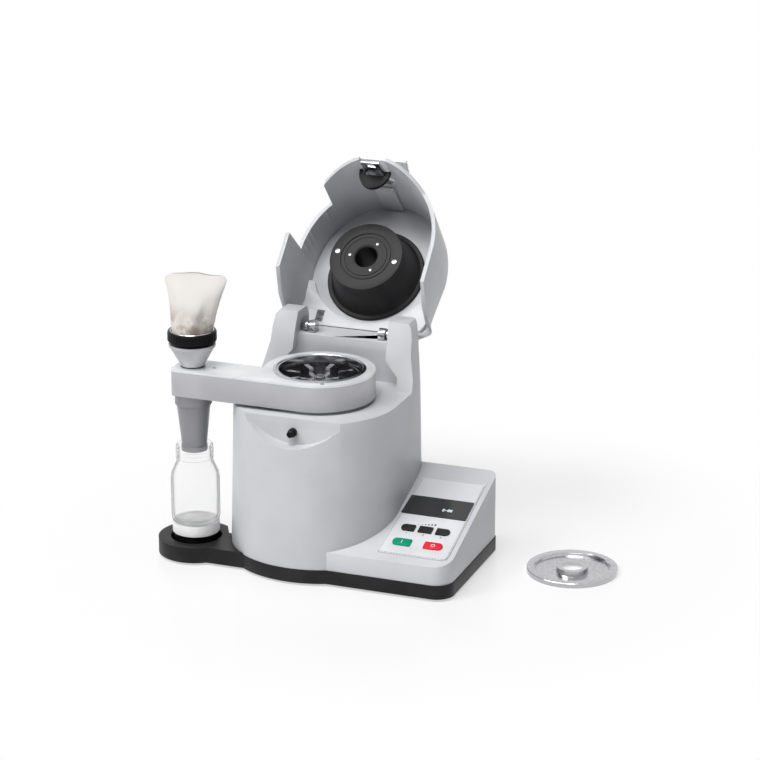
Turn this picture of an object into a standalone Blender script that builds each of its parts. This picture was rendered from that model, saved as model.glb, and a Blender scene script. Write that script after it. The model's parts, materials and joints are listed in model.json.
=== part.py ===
"""Cyclone mill: housing with a motor, an open hood, a milling cassette, a cyclone with a jar, and a console."""

import math

import bmesh
import bpy
from mathutils import Matrix, Vector

# Driving sizes, in metres. The rotor axis is X 0, Y 0 and the table is Z 0 while the pieces are made.
GAP = 0.0003
FOOT_HEIGHT = 0.003
BASE_TOP = 0.0230
ARM_TOP = 0.026
DECK_TOP = 0.236
HOUSING_FOOT_RADIUS = 0.1245
HOUSING_TAPER = 0.0075
HOUSING_X = -0.0040
FIN_X = -0.0020
FIN_GAP_X = -0.0030
HINGE_X = -0.0015
HOUSING_BACK = 0.161
HOUSING_CORNER = 0.064
HOUSING_FOOT_CORNER = 0.084
HOUSING_SQUASH = 0.076
HOUSING_WALL = 0.007
JAR_CLEARANCE = 0.0465
CYCLONE_X = -HOUSING_FOOT_RADIUS - JAR_CLEARANCE
CYCLONE_Y = -0.050
ARM_END_RADIUS = 0.054
CASSETTE_BORE = 0.0623
CASSETTE_WALL = 0.0157
CASSETTE_RADIUS = CASSETTE_BORE + CASSETTE_WALL
CASSETTE_HEIGHT = 0.0385
HINGE_Y = 0.1125
HINGE_Z = 0.3025
LID_OPEN = math.radians(134.0)
CONSOLE_RIGHT = 0.2280
CONSOLE_FRONT = -0.104
CONSOLE_BACK = 0.110
CONSOLE_FRONT_TOP = 0.050
CONSOLE_BACK_TOP = 0.119
ROTOR_RADIUS = 0.050
DISC_X = 0.3520
DISC_Y = 0.0700
DISC_RADIUS = 0.0640

# Facets of the round shapes.
FINE = 36
MEDIUM = 24
COARSE = 16
SMALL = 12
CORNER_FACETS = 5
FRONT_FACETS = 32
HALF = 0.5
TWICE = 2.0
FOUR = 4
TWICE_COUNT = 2
QUARTER_TURN = math.pi / TWICE
MERGE = 0.00001

# Deck, fins beside the hinge and the bar between them.
FIN_TOP = 0.327
FIN_FRONT_LOW = 0.066
FIN_FRONT_HIGH = 0.096
FIN_TOE = 0.0915
FIN_WAIST = 0.071
FIN_INSIDE = 0.0690
FIN_TOE_Z = 0.254
FIN_WAIST_Z = 0.275
FIN_SHOULDER_Z = 0.284
FIN_SHOULDER = 0.1070
FIN_CROWN_Z = 0.306
FIN_CROWN = 0.1060
FIN_CHEEK_Z = 0.321
FIN_CHEEK = 0.1030
FIN_BROW = 0.0985
HINGE_SWEEP = 0.0290
SWEEP_START = math.radians(72.0)
SWEEP_END = math.radians(-20.0)
BACK_SLOPE_Y = 0.172
BACK_SLOPE_Z = 0.260
BAR_FRONT = 0.098
BAR_TOP = 0.295
DECK_THICK = 0.004
FAR = 0.300
CHAMBER_HOLE_RADIUS = 0.034

# Curved seat of the hood on the front of the housing.
SMILE_LOW = 0.1985
SMILE_HALF_WIDTH = 0.0910
SMILE_RISE = 0.050
SMILE_FACETS = 16
SMILE_FRONT = -0.150
SMILE_REAR = -0.0930

# Milling chamber.
CASSETTE_LOW = DECK_TOP + 0.005
CASSETTE_TOP = CASSETTE_LOW + CASSETTE_HEIGHT
COVER_THICK = 0.0035
CASSETTE_LEFT = CYCLONE_X - 0.024
CASSETTE_ARM_HALF = CASSETTE_RADIUS + CYCLONE_Y
CASSETTE_CORNER = 0.010
CHANNEL_HALF_WIDTH = 0.009
CHANNEL_LOW = CASSETTE_LOW + 0.008
CHANNEL_HIGH = CASSETTE_TOP - 0.009
CHANNEL_RIGHT = -0.030
CYCLONE_BORE = 0.0200
RING_FLANGE_RADIUS = CASSETTE_BORE + 0.0029
RING_FLANGE_THICK = 0.0016
RING_BODY_RADIUS = CASSETTE_BORE - GAP
RING_STEP_RADIUS = CASSETTE_BORE - 0.0013
RING_BORE = CASSETTE_BORE - 0.0048
RING_STEP = 0.0008
SIEVE_RADIUS = RING_BORE - 0.0020
SIEVE_WALL = 0.0010
SIEVE_BEAD = 0.0008
FLOOR_RADIUS = 0.0700
FLOOR_BORE = 0.0080

# Rotor, shaft and motor.
ROTOR_DISC_THICK = 0.0040
ROTOR_LOW = CASSETTE_LOW + 0.0022
ROTOR_HUB_RADIUS = 0.0150
ROTOR_HUB_TOP = ROTOR_LOW + 0.0190
BLADE_COUNT = 8
BLADE_HALF_WIDTH = 0.0034
BLADE_INNER = 0.0300
BLADE_TOP = CASSETTE_TOP - 0.0085
SHAFT_RADIUS = 0.0060
STUD_RADIUS = 0.0040
STUD_TOP = ROTOR_HUB_TOP + 0.0080
NUT_RADIUS = 0.0085
NUT_HEIGHT = 0.0060
HEX = 6
ARMATURE_RADIUS = 0.0290
ARMATURE_LOW = 0.085
ARMATURE_HIGH = 0.145
COMMUTATOR_RADIUS = 0.0150
COMMUTATOR_LOW = 0.066
SHAFT_LOW = 0.034
STATOR_INNER = 0.0302
STATOR_OUTER = 0.0480
STATOR_LOW = 0.080
STATOR_HIGH = 0.150
FAN_RADIUS = 0.0400
FAN_LOW = 0.176
FAN_DISC = 0.003
FAN_HIGH = 0.192
FAN_BLADES = 9
FAN_BLADE_HALF = 0.0012
FAN_BLADE_INNER = 0.0115
SHIELD_RADIUS = 0.0580
SHIELD_THICK = 0.0080
SHIELD_TOP = DECK_TOP - DECK_THICK - GAP
BEARING_RADIUS = 0.0160
BEARING_HEIGHT = 0.0100

# Cyclone, outlet and jar.
COLLAR_RADIUS = 0.0262
COLLAR_LOW = 0.2245
CONE_TOP_RADIUS = 0.0240
CONE_LOW_RADIUS = 0.0176
CONE_LOW = 0.1640
CONE_WALL = 0.0015
CONE_RIB = 0.0007
END_RING_RADIUS = 0.0185
END_RING_LOW = 0.1560
VORTEX_RADIUS = 0.0110
VORTEX_LOW = 0.2100
SEAL_THICK = 0.0012
SEAL_RADIUS = 0.0170
SEAL_BORE = 0.0140
FUNNEL_LOW_RADIUS = 0.0173
FUNNEL_TOP_RADIUS = 0.0328
FUNNEL_TOP = 0.3130
FUNNEL_LIP = 0.0040
CLAMP_RADIUS = 0.0345
CLAMP_LOW = 0.3135
CLAMP_CHAMFER = 0.0045
CLAMP_TOP = 0.3315
CLAMP_TEETH = 40
CLAMP_TOOTH_DEPTH = 0.0007
CLAMP_BORE = 0.0314
SOCK_COLLAR_BORE = 0.0292
SOCK_COLLAR_TOP = 0.3325
JAR_LOW = 0.0495
JAR_RADIUS = 0.0348
JAR_TOP = 0.1640
JAR_RIM_RADIUS = 0.0262
JAR_NECK_RADIUS = 0.0250
JAR_WALL = 0.0022
JAR_NECK_WALL = 0.0016
REST_RADIUS = 0.0335
REST_TOP = 0.0498
REST_LOW = 0.0215
REST_RIM = 0.0015
REST_DISH = 0.0006
REST_SKIRT = 0.0340
REST_SLEEVE = 0.0300
REST_BORE = 0.0180
REST_CEILING = 0.0440
REST_WELL_RADIUS = 0.0365
REST_WELL_FLOOR = 0.0080
SPRING_RADIUS = 0.0120
SPRING_WIRE = 0.0011
SPRING_TURNS = 5
SPRING_POINTS = 12

# Hood, in its closed place.
LID_RIM = 0.2450
LID_TOP = 0.3680
LID_CEILING = 0.3500
LID_RADIUS = 0.1125
LID_TOP_RADIUS = 0.1025
LID_WALL = 0.0055
LID_REAR = 0.0960
LID_CORNER = 0.0080
LID_TOP_CORNER = 0.0340
LID_BULGE = 0.0120
LID_TOP_BULGE = 0.0200
LID_SIDE_START = 0.0530
LID_SIDE_KNEE = 0.0780
LID_KNEE_RIM = 0.2820
LID_SIDE_END = 0.0880
LID_END_RIM = 0.3215
LID_TIP_RIM = 0.2120
LID_TIP_HALF_WIDTH = 0.0780
LID_REAR_PINCH = 0.0060
LID_REAR_RIM = 0.3300
LID_SHOULDER = 0.0120
NOTCH_TOP = CASSETTE_TOP + 0.0130
NOTCH_BACK = -0.0040
NOTCH_RIGHT = -0.0755
PLATE_RADIUS = 0.0955
PLATE_Y = -0.0140
PLATE_THICK = 0.0030
DECK_UNDER = 0.3375
DECK_HALF_WIDTH = 0.0972
DECK_FRONT = 0.0220
DECK_BACK = 0.0930
DECK_CORNER = 0.0280
BOSS_Y = 0.0
BOSS_FLANGE_RADIUS = 0.0730
BOSS_FLANGE_THICK = 0.0040
BOSS_NECK_RADIUS = 0.0660
BOSS_FACE_RADIUS = 0.0545
BOSS_FACE_Z = 0.2870
BOSS_CHAMFER = 0.0030
BOSS_GROOVE = 0.0012
BOSS_BORE = 0.0165
FEED_TUBE_RADIUS = 0.0230
FEED_TOP = 0.3800
SMALL_SCREW_CIRCLE = 0.0235
SMALL_SCREW_RADIUS = 0.0022
LARGE_SCREW_X = 0.0445
LARGE_SCREW_RADIUS = 0.0048
SCREW_PROUD = 0.0012
SCREW_DEPTH = 0.0060
SCREW_SLOT = 0.0008
RIB_HALF_WIDTH = 0.0150
RIB_FRONT = -0.1155
RIB_REAR = -0.1116
RIB_LOW = 0.2860

# Latch of the hood.
LATCH_X = -0.0020
LATCH_AXLE_Y = -0.1199
LATCH_AXLE_Z = 0.2760
LATCH_AXLE_RADIUS = 0.0016
LATCH_AXLE_HALF = 0.0225
WINDOW_HALF_WIDTH = 0.0200
WINDOW_LOW = 0.2050
WINDOW_HIGH = 0.2820
POCKET_RADIUS = 0.0235
POCKET_Z = 0.2368
POCKET_THICK = 0.0050
POCKET_Y = -0.1140
HOOK_HALF_WIDTH = 0.0140
HOOK_THICK = 0.0025
HOOK_RING = 0.0040
HOOK_TIP_Y = -0.1110
HOOK_LOW = 0.2070
HOOK_EYE_HALF = 0.0062
HOOK_EYE_LOW = 0.2110
HOOK_EYE_HIGH = 0.2215
HANDLE_HALF_WIDTH = 0.0410
HANDLE_LOW = 0.2420
HANDLE_HIGH = 0.2840
HANDLE_THICK = 0.0035
HANDLE_Y = -0.1282
HANDLE_FLARE = 0.0060
PIN_RADIUS = 0.0062
PIN_NECK_RADIUS = 0.0045
PIN_Z = 0.2160
PIN_COLLAR = 0.0060
PIN_REACH = 0.0135

# Hinge.
HINGE_PIN_RADIUS = 0.0035
HINGE_ARM_X = 0.0635
HINGE_ARM_HALF = 0.0030
HINGE_ARM_ROUND = 0.0070
HINGE_ARM_FRONT = 0.0740
HINGE_ARM_REAR = 0.0945
HINGE_SLOT_HALF = 0.0060
HINGE_SLOT_LOW = 0.2640
LUG_X = 0.0535
LUG_HALF = 0.0050
LUG_ROUND = 0.0085

# Console.
CONSOLE_LEFT = 0.0300
CONSOLE_FRONT_CORNER = 0.0260
CONSOLE_BACK_CORNER = 0.0140
CONSOLE_WALL = 0.0030
CONSOLE_EDGE = 0.0015
LABEL_LEFT = 0.1270
LABEL_LEAN = 0.0080
LABEL_RIGHT = 0.2205
LABEL_START = 0.0160
LABEL_END = 0.1900
LABEL_THICK = 0.0012
LABEL_CORNER = 0.0120
DISPLAY_LEFT = 0.1275
DISPLAY_RIGHT = 0.2185
DISPLAY_START = 0.1040
DISPLAY_END = 0.1450
DISPLAY_THICK = 0.0010
DISPLAY_CORNER = 0.0015
KEY_LIFT = 0.0012
KEY_THICK = 0.0022
SPEED_KEY_START = 0.0670
SPEED_KEY_END = 0.0800
SPEED_KEYS_LEFT = 0.1352
SPEED_KEY_WIDTH = 0.0198
SPEED_KEY_PITCH = 0.0255
SPEED_KEY_ROUND = 0.0060
RUN_KEY_START = 0.0346
RUN_KEY_END = 0.0486
RUN_KEY_WIDTH = 0.0264
START_KEY_LEFT = 0.1337
STOP_KEY_LEFT = 0.1793
KEY_SHARP = 0.0010
BOARD_LEFT = 0.140
BOARD_RIGHT = 0.215
BOARD_FRONT = -0.080
BOARD_BACK = 0.060
BOARD_THICK = 0.0016
BOARD_LIFT = 0.0080
STANDOFF_RADIUS = 0.0030
STANDOFF_INSET = 0.0060

# Base, feet and the back of the housing.
BASE_OVERHANG = 0.0010
BASE_EDGE = 0.0015
FOOT_RADIUS = 0.0100
FOOT_INSET = 0.0280
ARM_NECK_FRONT = -0.092
ARM_NECK_BACK = -0.028
ARM_NECK_LEFT = -0.130
ARM_NECK_RIGHT = -0.070
REAR_HALF_WIDTH = 0.070
REAR_LOW = 0.060
REAR_HIGH = 0.200
REAR_THICK = 0.0020
VENT_COUNT = 7
VENT_HALF_WIDTH = 0.045
VENT_HALF_HEIGHT = 0.0018
VENT_LOW = 0.118
VENT_PITCH = 0.0100
INLET_X = -0.0150
SWITCH_X = 0.0110
SOCKET_Z = 0.085
INLET_HALF_WIDTH = 0.0140
INLET_HALF_HEIGHT = 0.0110
INLET_PROUD = 0.0020
INLET_DEPTH = 0.0180
INLET_PIN_RADIUS = 0.0018
INLET_PIN_PITCH = 0.0060
SWITCH_HALF_WIDTH = 0.0100
SWITCH_HALF_HEIGHT = 0.0070
SWITCH_TILT = math.radians(8.0)
SWITCH_DEPTH = 0.0070
REAR_SCREW_RADIUS = 0.0030
REAR_SCREW_INSET = 0.0070

# Steel cover disc lying on the table.
DISC_RIM_HEIGHT = 0.0070
DISC_WALL = 0.0016
DISC_STEP_RADIUS = 0.0520
DISC_STEP_DROP = 0.0045
DISC_DISH_RADIUS = 0.0300
DISC_BOSS_RADIUS = 0.0200
DISC_BOSS_RISE = 0.0065
DISC_HOLE = 0.0155

LOOKS = {
    "paint": ((0.62, 0.63, 0.66, 1.0), 0.0, 0.45),
    "black_plastic": ((0.03, 0.03, 0.035, 1.0), 0.0, 0.5),
    "rubber": ((0.02, 0.02, 0.02, 1.0), 0.0, 0.8),
    "white_plastic": ((0.85, 0.85, 0.85, 1.0), 0.0, 0.5),
    "aluminium": ((0.70, 0.71, 0.73, 1.0), 1.0, 0.35),
    "steel": ((0.60, 0.61, 0.63, 1.0), 1.0, 0.25),
    "glass": ((0.90, 0.93, 0.93, 0.3), 0.0, 0.05),
    "cloth": ((0.86, 0.85, 0.82, 1.0), 0.0, 0.9),
    "green_plastic": ((0.05, 0.60, 0.35, 1.0), 0.0, 0.5),
    "red_plastic": ((0.80, 0.10, 0.10, 1.0), 0.0, 0.5),
    "board": ((0.05, 0.30, 0.15, 1.0), 0.0, 0.6),
    "copper": ((0.80, 0.45, 0.30, 1.0), 1.0, 0.4),
}


def clear_scene():
    """Start from nothing, with one collection for the mill and one for its cutters."""
    for obj in list(bpy.data.objects):
        bpy.data.objects.remove(obj, do_unlink=True)
    for name in ("cyclone_mill", "cutters"):
        group = bpy.data.collections.new(name)
        bpy.context.scene.collection.children.link(group)


def link(obj, group="cyclone_mill"):
    """Move an object into one collection."""
    for old in list(obj.users_collection):
        old.objects.unlink(obj)
    bpy.data.collections[group].objects.link(obj)
    return obj


def paint(obj, look):
    """Give an object a Principled material of its own."""
    colour, metallic, roughness = LOOKS[look]
    skin = bpy.data.materials.new(obj.name + "_" + look)
    skin.use_nodes = True
    shader = skin.node_tree.nodes["Principled BSDF"]
    shader.inputs["Base Color"].default_value = colour
    shader.inputs["Metallic"].default_value = metallic
    shader.inputs["Roughness"].default_value = roughness
    shader.inputs["Alpha"].default_value = colour[-1]
    skin.diffuse_color = colour
    obj.data.materials.clear()
    obj.data.materials.append(skin)
    return obj


def from_mesh(name, points, faces, look, origin=(0.0, 0.0, 0.0)):
    """Make an object from points given in the common frame, its origin where asked."""
    base = Vector(origin)
    mesh = bpy.data.meshes.new(name)
    mesh.from_pydata([Vector(point) - base for point in points], [], faces)
    mesh.update()
    obj = bpy.data.objects.new(name, mesh)
    obj.location = base
    link(obj)
    return paint(obj, look)


def tube_faces(count, levels, closed):
    """Faces between rings of the same count: capped at both ends, or joined into a closed tube."""
    faces = []
    last = levels if closed else levels - 1
    for level in range(last):
        upper = (level + 1) % levels
        for k in range(count):
            after = (k + 1) % count
            faces.append((level * count + k, level * count + after, upper * count + after, upper * count + k))
    if not closed:
        faces.append(tuple(reversed(range(count))))
        faces.append(tuple(range((levels - 1) * count, levels * count)))
    return faces


def loft(name, rings, look, closed=False, origin=(0.0, 0.0, 0.0)):
    """Skin a row of rings, each running anticlockwise seen from above."""
    points = [point for ring in rings for point in ring]
    return from_mesh(name, points, tube_faces(len(rings[0]), len(rings), closed), look, origin)


def flat(name, outline, thick, frame, look, origin=(0.0, 0.0, 0.0)):
    """Plate cut from a flat outline: a filled curve, made a mesh and placed by a frame."""
    curve = bpy.data.curves.new(name, "CURVE")
    curve.dimensions = "2D"
    curve.fill_mode = "BOTH"
    curve.extrude = thick * HALF
    line = curve.splines.new("POLY")
    line.points.add(len(outline) - 1)
    for point, (x, y) in zip(line.points, outline):
        point.co = (x, y, 0.0, 1.0)
    line.use_cyclic_u = True
    drawn = bpy.data.objects.new(name, curve)
    link(drawn)
    bpy.context.view_layer.update()
    graph = bpy.context.evaluated_depsgraph_get()
    mesh = bpy.data.meshes.new_from_object(drawn.evaluated_get(graph))
    bpy.data.objects.remove(drawn, do_unlink=True)
    bpy.data.curves.remove(curve)
    sewn = bmesh.new()
    sewn.from_mesh(mesh)
    bmesh.ops.remove_doubles(sewn, verts=sewn.verts, dist=MERGE)
    bmesh.ops.recalc_face_normals(sewn, faces=sewn.faces)
    sewn.to_mesh(mesh)
    sewn.free()
    mesh.transform(Matrix.Translation(-Vector(origin)) @ frame)
    obj = bpy.data.objects.new(name, mesh)
    obj.location = origin
    link(obj)
    return paint(obj, look)


def slab(name, outline, low, high, look, origin=(0.0, 0.0, 0.0)):
    """Flat plate with the given plan, between two heights."""
    frame = Matrix.Translation((0.0, 0.0, (low + high) * HALF))
    return flat(name, outline, high - low, frame, look, origin)


def turned(name, profile, look, centre=(0.0, 0.0), steps=MEDIUM, ring=False):
    """Turn a profile of (radius, height), given down its outer side, about an upright axis."""
    mesh = bpy.data.meshes.new(name)
    edges = [(k, k + 1) for k in range(len(profile) - 1)]
    if ring:
        edges.append((len(profile) - 1, 0))
    mesh.from_pydata([(radius, 0.0, height) for radius, height in profile], edges, [])
    mesh.update()
    obj = bpy.data.objects.new(name, mesh)
    obj.location = (centre[0], centre[1], 0.0)
    link(obj)
    screw = obj.modifiers.new("turn", "SCREW")
    screw.axis = "Z"
    screw.steps = steps
    screw.render_steps = steps
    screw.use_merge_vertices = True
    screw.merge_threshold = MERGE
    screw.use_smooth_shade = False
    return paint(obj, look)


def bead(profile_radius, low, high, inner):
    """Profile of a plain ring."""
    return [(profile_radius, high), (profile_radius, low), (inner, low), (inner, high)]


def arc(x, y, radius, start, end, facets):
    """Points of an arc, its ends included."""
    span = end - start
    angles = [start + span * k / facets for k in range(facets + 1)]
    return [(x + radius * math.cos(a), y + radius * math.sin(a)) for a in angles]


def rounded(left, right, front, back, corners, facets=CORNER_FACETS):
    """Rectangle with its own radius at front left, front right, back right and back left."""
    places = (
        (left, front, 1, 1, TWICE),
        (right, front, -1, 1, TWICE + 1),
        (right, back, -1, -1, 0.0),
        (left, back, 1, -1, 1),
    )
    points = []
    for (x, y, side, rise, turn), radius in zip(places, corners):
        begin = turn * QUARTER_TURN
        points += arc(x + side * radius, y + rise * radius, radius, begin, begin + QUARTER_TURN, facets)
    return points


def horseshoe(radius, back, corner, facets=FRONT_FACETS):
    """Half circle at the front with straight sides to a rounded back, anticlockwise from the left."""
    points = arc(0.0, 0.0, radius, math.pi, TWICE * math.pi, facets)
    points += arc(radius - corner, back - corner, corner, 0.0, QUARTER_TURN, CORNER_FACETS)
    points += arc(corner - radius, back - corner, corner, QUARTER_TURN, math.pi, CORNER_FACETS)
    return points


def cutter(obj):
    """Turn an object into a hidden cutter."""
    link(obj, "cutters")
    obj.hide_render = True
    obj.display_type = "WIRE"
    return obj


def cut(obj, *tools, kind="DIFFERENCE"):
    """Cut an object with hidden cutters."""
    for tool in tools:
        change = obj.modifiers.new(tool.name, "BOOLEAN")
        change.operation = kind
        change.solver = "EXACT"
        change.object = cutter(tool)
    return obj


def block(name, left, right, front, back, low, high, look="steel"):
    """Plain block between six planes."""
    size = (right - left, back - front, high - low)
    middle = Vector((left + right, front + back, low + high)) * HALF
    cube = bmesh.new()
    bmesh.ops.create_cube(cube, size=1.0, matrix=Matrix.Translation(middle) @ Matrix.Diagonal((*size, 1.0)))
    mesh = bpy.data.meshes.new(name)
    cube.to_mesh(mesh)
    cube.free()
    obj = bpy.data.objects.new(name, mesh)
    link(obj)
    return paint(obj, look)


def prism_x(name, outline, left, right, look="steel"):
    """Plate whose outline of (y, z) runs along X."""
    turn = Matrix(((0.0, 0.0, 1.0, 0.0), (1.0, 0.0, 0.0, 0.0), (0.0, 1.0, 0.0, 0.0), (0.0, 0.0, 0.0, 1.0)))
    return flat(name, outline, right - left, Matrix.Translation(((left + right) * HALF, 0.0, 0.0)) @ turn, look)


def prism_y(name, outline, front, back, look="steel"):
    """Plate whose outline of (x, z) runs along Y."""
    turn = Matrix(((1.0, 0.0, 0.0, 0.0), (0.0, 0.0, -1.0, 0.0), (0.0, 1.0, 0.0, 0.0), (0.0, 0.0, 0.0, 1.0)))
    return flat(name, outline, back - front, Matrix.Translation((0.0, (front + back) * HALF, 0.0)) @ turn, look)


def soften(obj, width, segments=1):
    """Small bevel along the sharp edges."""
    bevel = obj.modifiers.new("edges", "BEVEL")
    bevel.width = width
    bevel.segments = segments
    bevel.limit_method = "ANGLE"
    bevel.angle_limit = math.radians(40.0)
    return obj


def housing_radius(height):
    """Radius of the tapering housing at a height."""
    return HOUSING_FOOT_RADIUS - HOUSING_TAPER * (height - BASE_TOP) / (DECK_TOP - BASE_TOP)


def housing_ring(height, outward=0.0):
    """Plan of the housing at a height, grown or shrunk: at the foot its front is flatter and its back rounder."""
    radius = housing_radius(height)
    foot = (DECK_TOP - height) / (DECK_TOP - BASE_TOP)
    back = HOUSING_BACK - HOUSING_FOOT_RADIUS + radius
    corner = HOUSING_CORNER + (HOUSING_FOOT_CORNER - HOUSING_CORNER) * max(0.0, foot)
    ring = []
    for x, y in horseshoe(radius + outward, back + outward, corner + outward):
        flatter = HOUSING_SQUASH * foot * radius / (radius + outward) if y < 0.0 and foot > 0.0 else 0.0
        ring.append((x + HOUSING_X, y - y * flatter, height))
    return ring


def smile(extra=0.0):
    """Outline of (x, z) of the curved seat, anticlockwise seen from the front."""
    low = SMILE_LOW - extra
    half_width = SMILE_HALF_WIDTH + extra
    points = []
    for k in range(SMILE_FACETS + 1):
        share = TWICE * k / SMILE_FACETS - 1
        points.append((half_width * share, low + SMILE_RISE * share * share))
    points.append((half_width, FAR))
    points.append((-half_width, FAR))
    return points


def fin_front():
    """Outline of (y, z) of what is taken away in front of the fins."""
    slope = (FIN_FRONT_HIGH - FIN_FRONT_LOW) / (FIN_TOP - DECK_TOP)
    beyond = FIN_FRONT_LOW + slope * (FAR * TWICE - DECK_TOP)
    return [(-FAR, DECK_TOP), (FIN_FRONT_LOW, DECK_TOP), (beyond, FAR * TWICE), (-FAR, FAR * TWICE)]


def fin_gap(low):
    """Outline of (x, z) of the gap between the fins, above a height."""
    toe = FIN_TOE if low < FIN_TOE_Z else FIN_WAIST
    points = [(-toe, low), (toe, low)]
    if low < FIN_TOE_Z:
        points += [(FIN_TOE, FIN_TOE_Z), (FIN_WAIST, FIN_WAIST_Z)]
    points += [(FIN_INSIDE, FIN_TOP), (FIN_INSIDE, FAR * TWICE), (-FIN_INSIDE, FAR * TWICE), (-FIN_INSIDE, FIN_TOP)]
    if low < FIN_TOE_Z:
        points += [(-FIN_WAIST, FIN_WAIST_Z), (-FIN_TOE, FIN_TOE_Z)]
    return [(x + FIN_GAP_X, z) for x, z in points]


def fin_side(sign):
    """Outline of (x, z) taken away beside one fin, where it leans in and rounds over."""
    points = [
        (HOUSING_FOOT_RADIUS, DECK_TOP + HOUSING_WALL),
        (HOUSING_FOOT_RADIUS, FAR * TWICE),
        (FIN_BROW, FAR * TWICE),
        (FIN_BROW, FIN_TOP),
        (FIN_CHEEK, FIN_CHEEK_Z),
        (FIN_CROWN, FIN_CROWN_Z),
        (FIN_SHOULDER, FIN_SHOULDER_Z),
        (HOUSING_FOOT_RADIUS - HOUSING_TAPER - GAP, DECK_TOP + HOUSING_WALL),
    ]
    return [(sign * x + FIN_X, z) for x, z in points]


def rear_top():
    """Outline of (y, z) taken away behind the hinge, where the hood swings down."""
    points = arc(HINGE_Y, HINGE_Z, HINGE_SWEEP, SWEEP_START, SWEEP_END, CORNER_FACETS * TWICE_COUNT)
    points += [(BACK_SLOPE_Y, BACK_SLOPE_Z), (FAR, BACK_SLOPE_Z), (FAR, FAR * TWICE)]
    points.append((HINGE_Y + HINGE_SWEEP * math.cos(SWEEP_START), FAR * TWICE))
    return points


def make_housing():
    """Main housing: tapering shell, deck, two fins and the bar between them."""
    rings = [housing_ring(BASE_TOP + GAP), housing_ring(DECK_TOP), housing_ring(FIN_TOP)]
    shell = loft("main_housing", rings, "paint")
    cavity_high = DECK_TOP - DECK_THICK
    cavity = loft(
        "housing_cavity",
        [housing_ring(BASE_TOP - HOUSING_WALL, -HOUSING_WALL), housing_ring(cavity_high, -HOUSING_WALL)],
        "paint",
    )
    front = prism_x("fin_front_cut", fin_front(), -FAR, FAR)
    between = prism_y("between_fins", fin_gap(DECK_TOP), 0.0, BAR_FRONT)
    above = prism_y("above_bar", fin_gap(BAR_TOP), 0.0, FAR)
    right = prism_y("fin_side_right", fin_side(1), -FAR, FAR)
    left = prism_y("fin_side_left", fin_side(-1), -FAR, FAR)
    rear = prism_x("rear_top_cut", rear_top(), -FAR, FAR)
    seat = prism_y("smile_cut", smile(), SMILE_FRONT, SMILE_REAR)
    cut(cavity, prism_y("smile_keep", smile(HOUSING_WALL), SMILE_FRONT, SMILE_REAR + HOUSING_WALL))
    hole = turned("chamber_hole", [(0.0, FAR), (CHAMBER_HOLE_RADIUS, FAR), (CHAMBER_HOLE_RADIUS, REAR_HIGH), (0.0, REAR_HIGH)], "steel")
    slots = [
        block(
            "hinge_slot_" + side,
            HINGE_X + sign * HINGE_ARM_X - HINGE_SLOT_HALF,
            HINGE_X + sign * HINGE_ARM_X + HINGE_SLOT_HALF,
            HINGE_Y,
            FAR,
            HINGE_SLOT_LOW,
            FAR,
        )
        for side, sign in (("left", -1), ("right", 1))
    ]
    cut(shell, cavity, front, between, above, right, left, rear, seat, hole, *slots)
    return shell


def rod_outline(radius, y, z, facets=SMALL):
    """Circle of (y, z) about an axis along X."""
    return arc(y, z, radius, 0.0, TWICE * math.pi * (facets - 1) / facets, facets - 1)


def make_hinge(shell):
    """Arms on the hood, and the chromed lugs on the bar with their pins into the fins."""
    reach = FIN_WAIST + HOUSING_WALL
    bore = prism_x("pin_bore", rod_outline(HINGE_PIN_RADIUS + GAP, HINGE_Y, HINGE_Z), -reach - GAP, reach + GAP)
    cut(shell, bore)
    plan = arc(HINGE_Y, HINGE_Z, HINGE_ARM_ROUND, -QUARTER_TURN * TWICE, QUARTER_TURN * HALF, SMALL)
    plan += [(HINGE_ARM_REAR - LID_WALL, LID_REAR_RIM), (HINGE_ARM_REAR - LID_WALL, LID_CEILING - GAP)]
    plan += [(HINGE_ARM_FRONT, LID_CEILING - GAP)]
    for side, sign in (("left", -1), ("right", 1)):
        middle = HINGE_X + sign * HINGE_ARM_X
        arm = prism_x("hinge_arm_" + side, plan, middle - HINGE_ARM_HALF, middle + HINGE_ARM_HALF, "steel")
        cut(arm, prism_x("arm_bore_" + side, rod_outline(HINGE_PIN_RADIUS + GAP, HINGE_Y, HINGE_Z), -FAR, FAR))
        lug_plan = arc(HINGE_Y, HINGE_Z, LUG_ROUND, 0.0, math.pi, SMALL)
        lug_plan += [(HINGE_Y - LUG_ROUND, BAR_TOP + GAP), (HINGE_Y + LUG_ROUND, BAR_TOP + GAP)]
        place = HINGE_X + sign * LUG_X
        lug = prism_x("hinge_lug_" + side, lug_plan, place - LUG_HALF, place + LUG_HALF, "steel")
        ends = sorted((place, sign * reach))
        cut(lug, prism_x("lug_pin_" + side, rod_outline(HINGE_PIN_RADIUS, HINGE_Y, HINGE_Z), *ends), kind="UNION")


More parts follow.
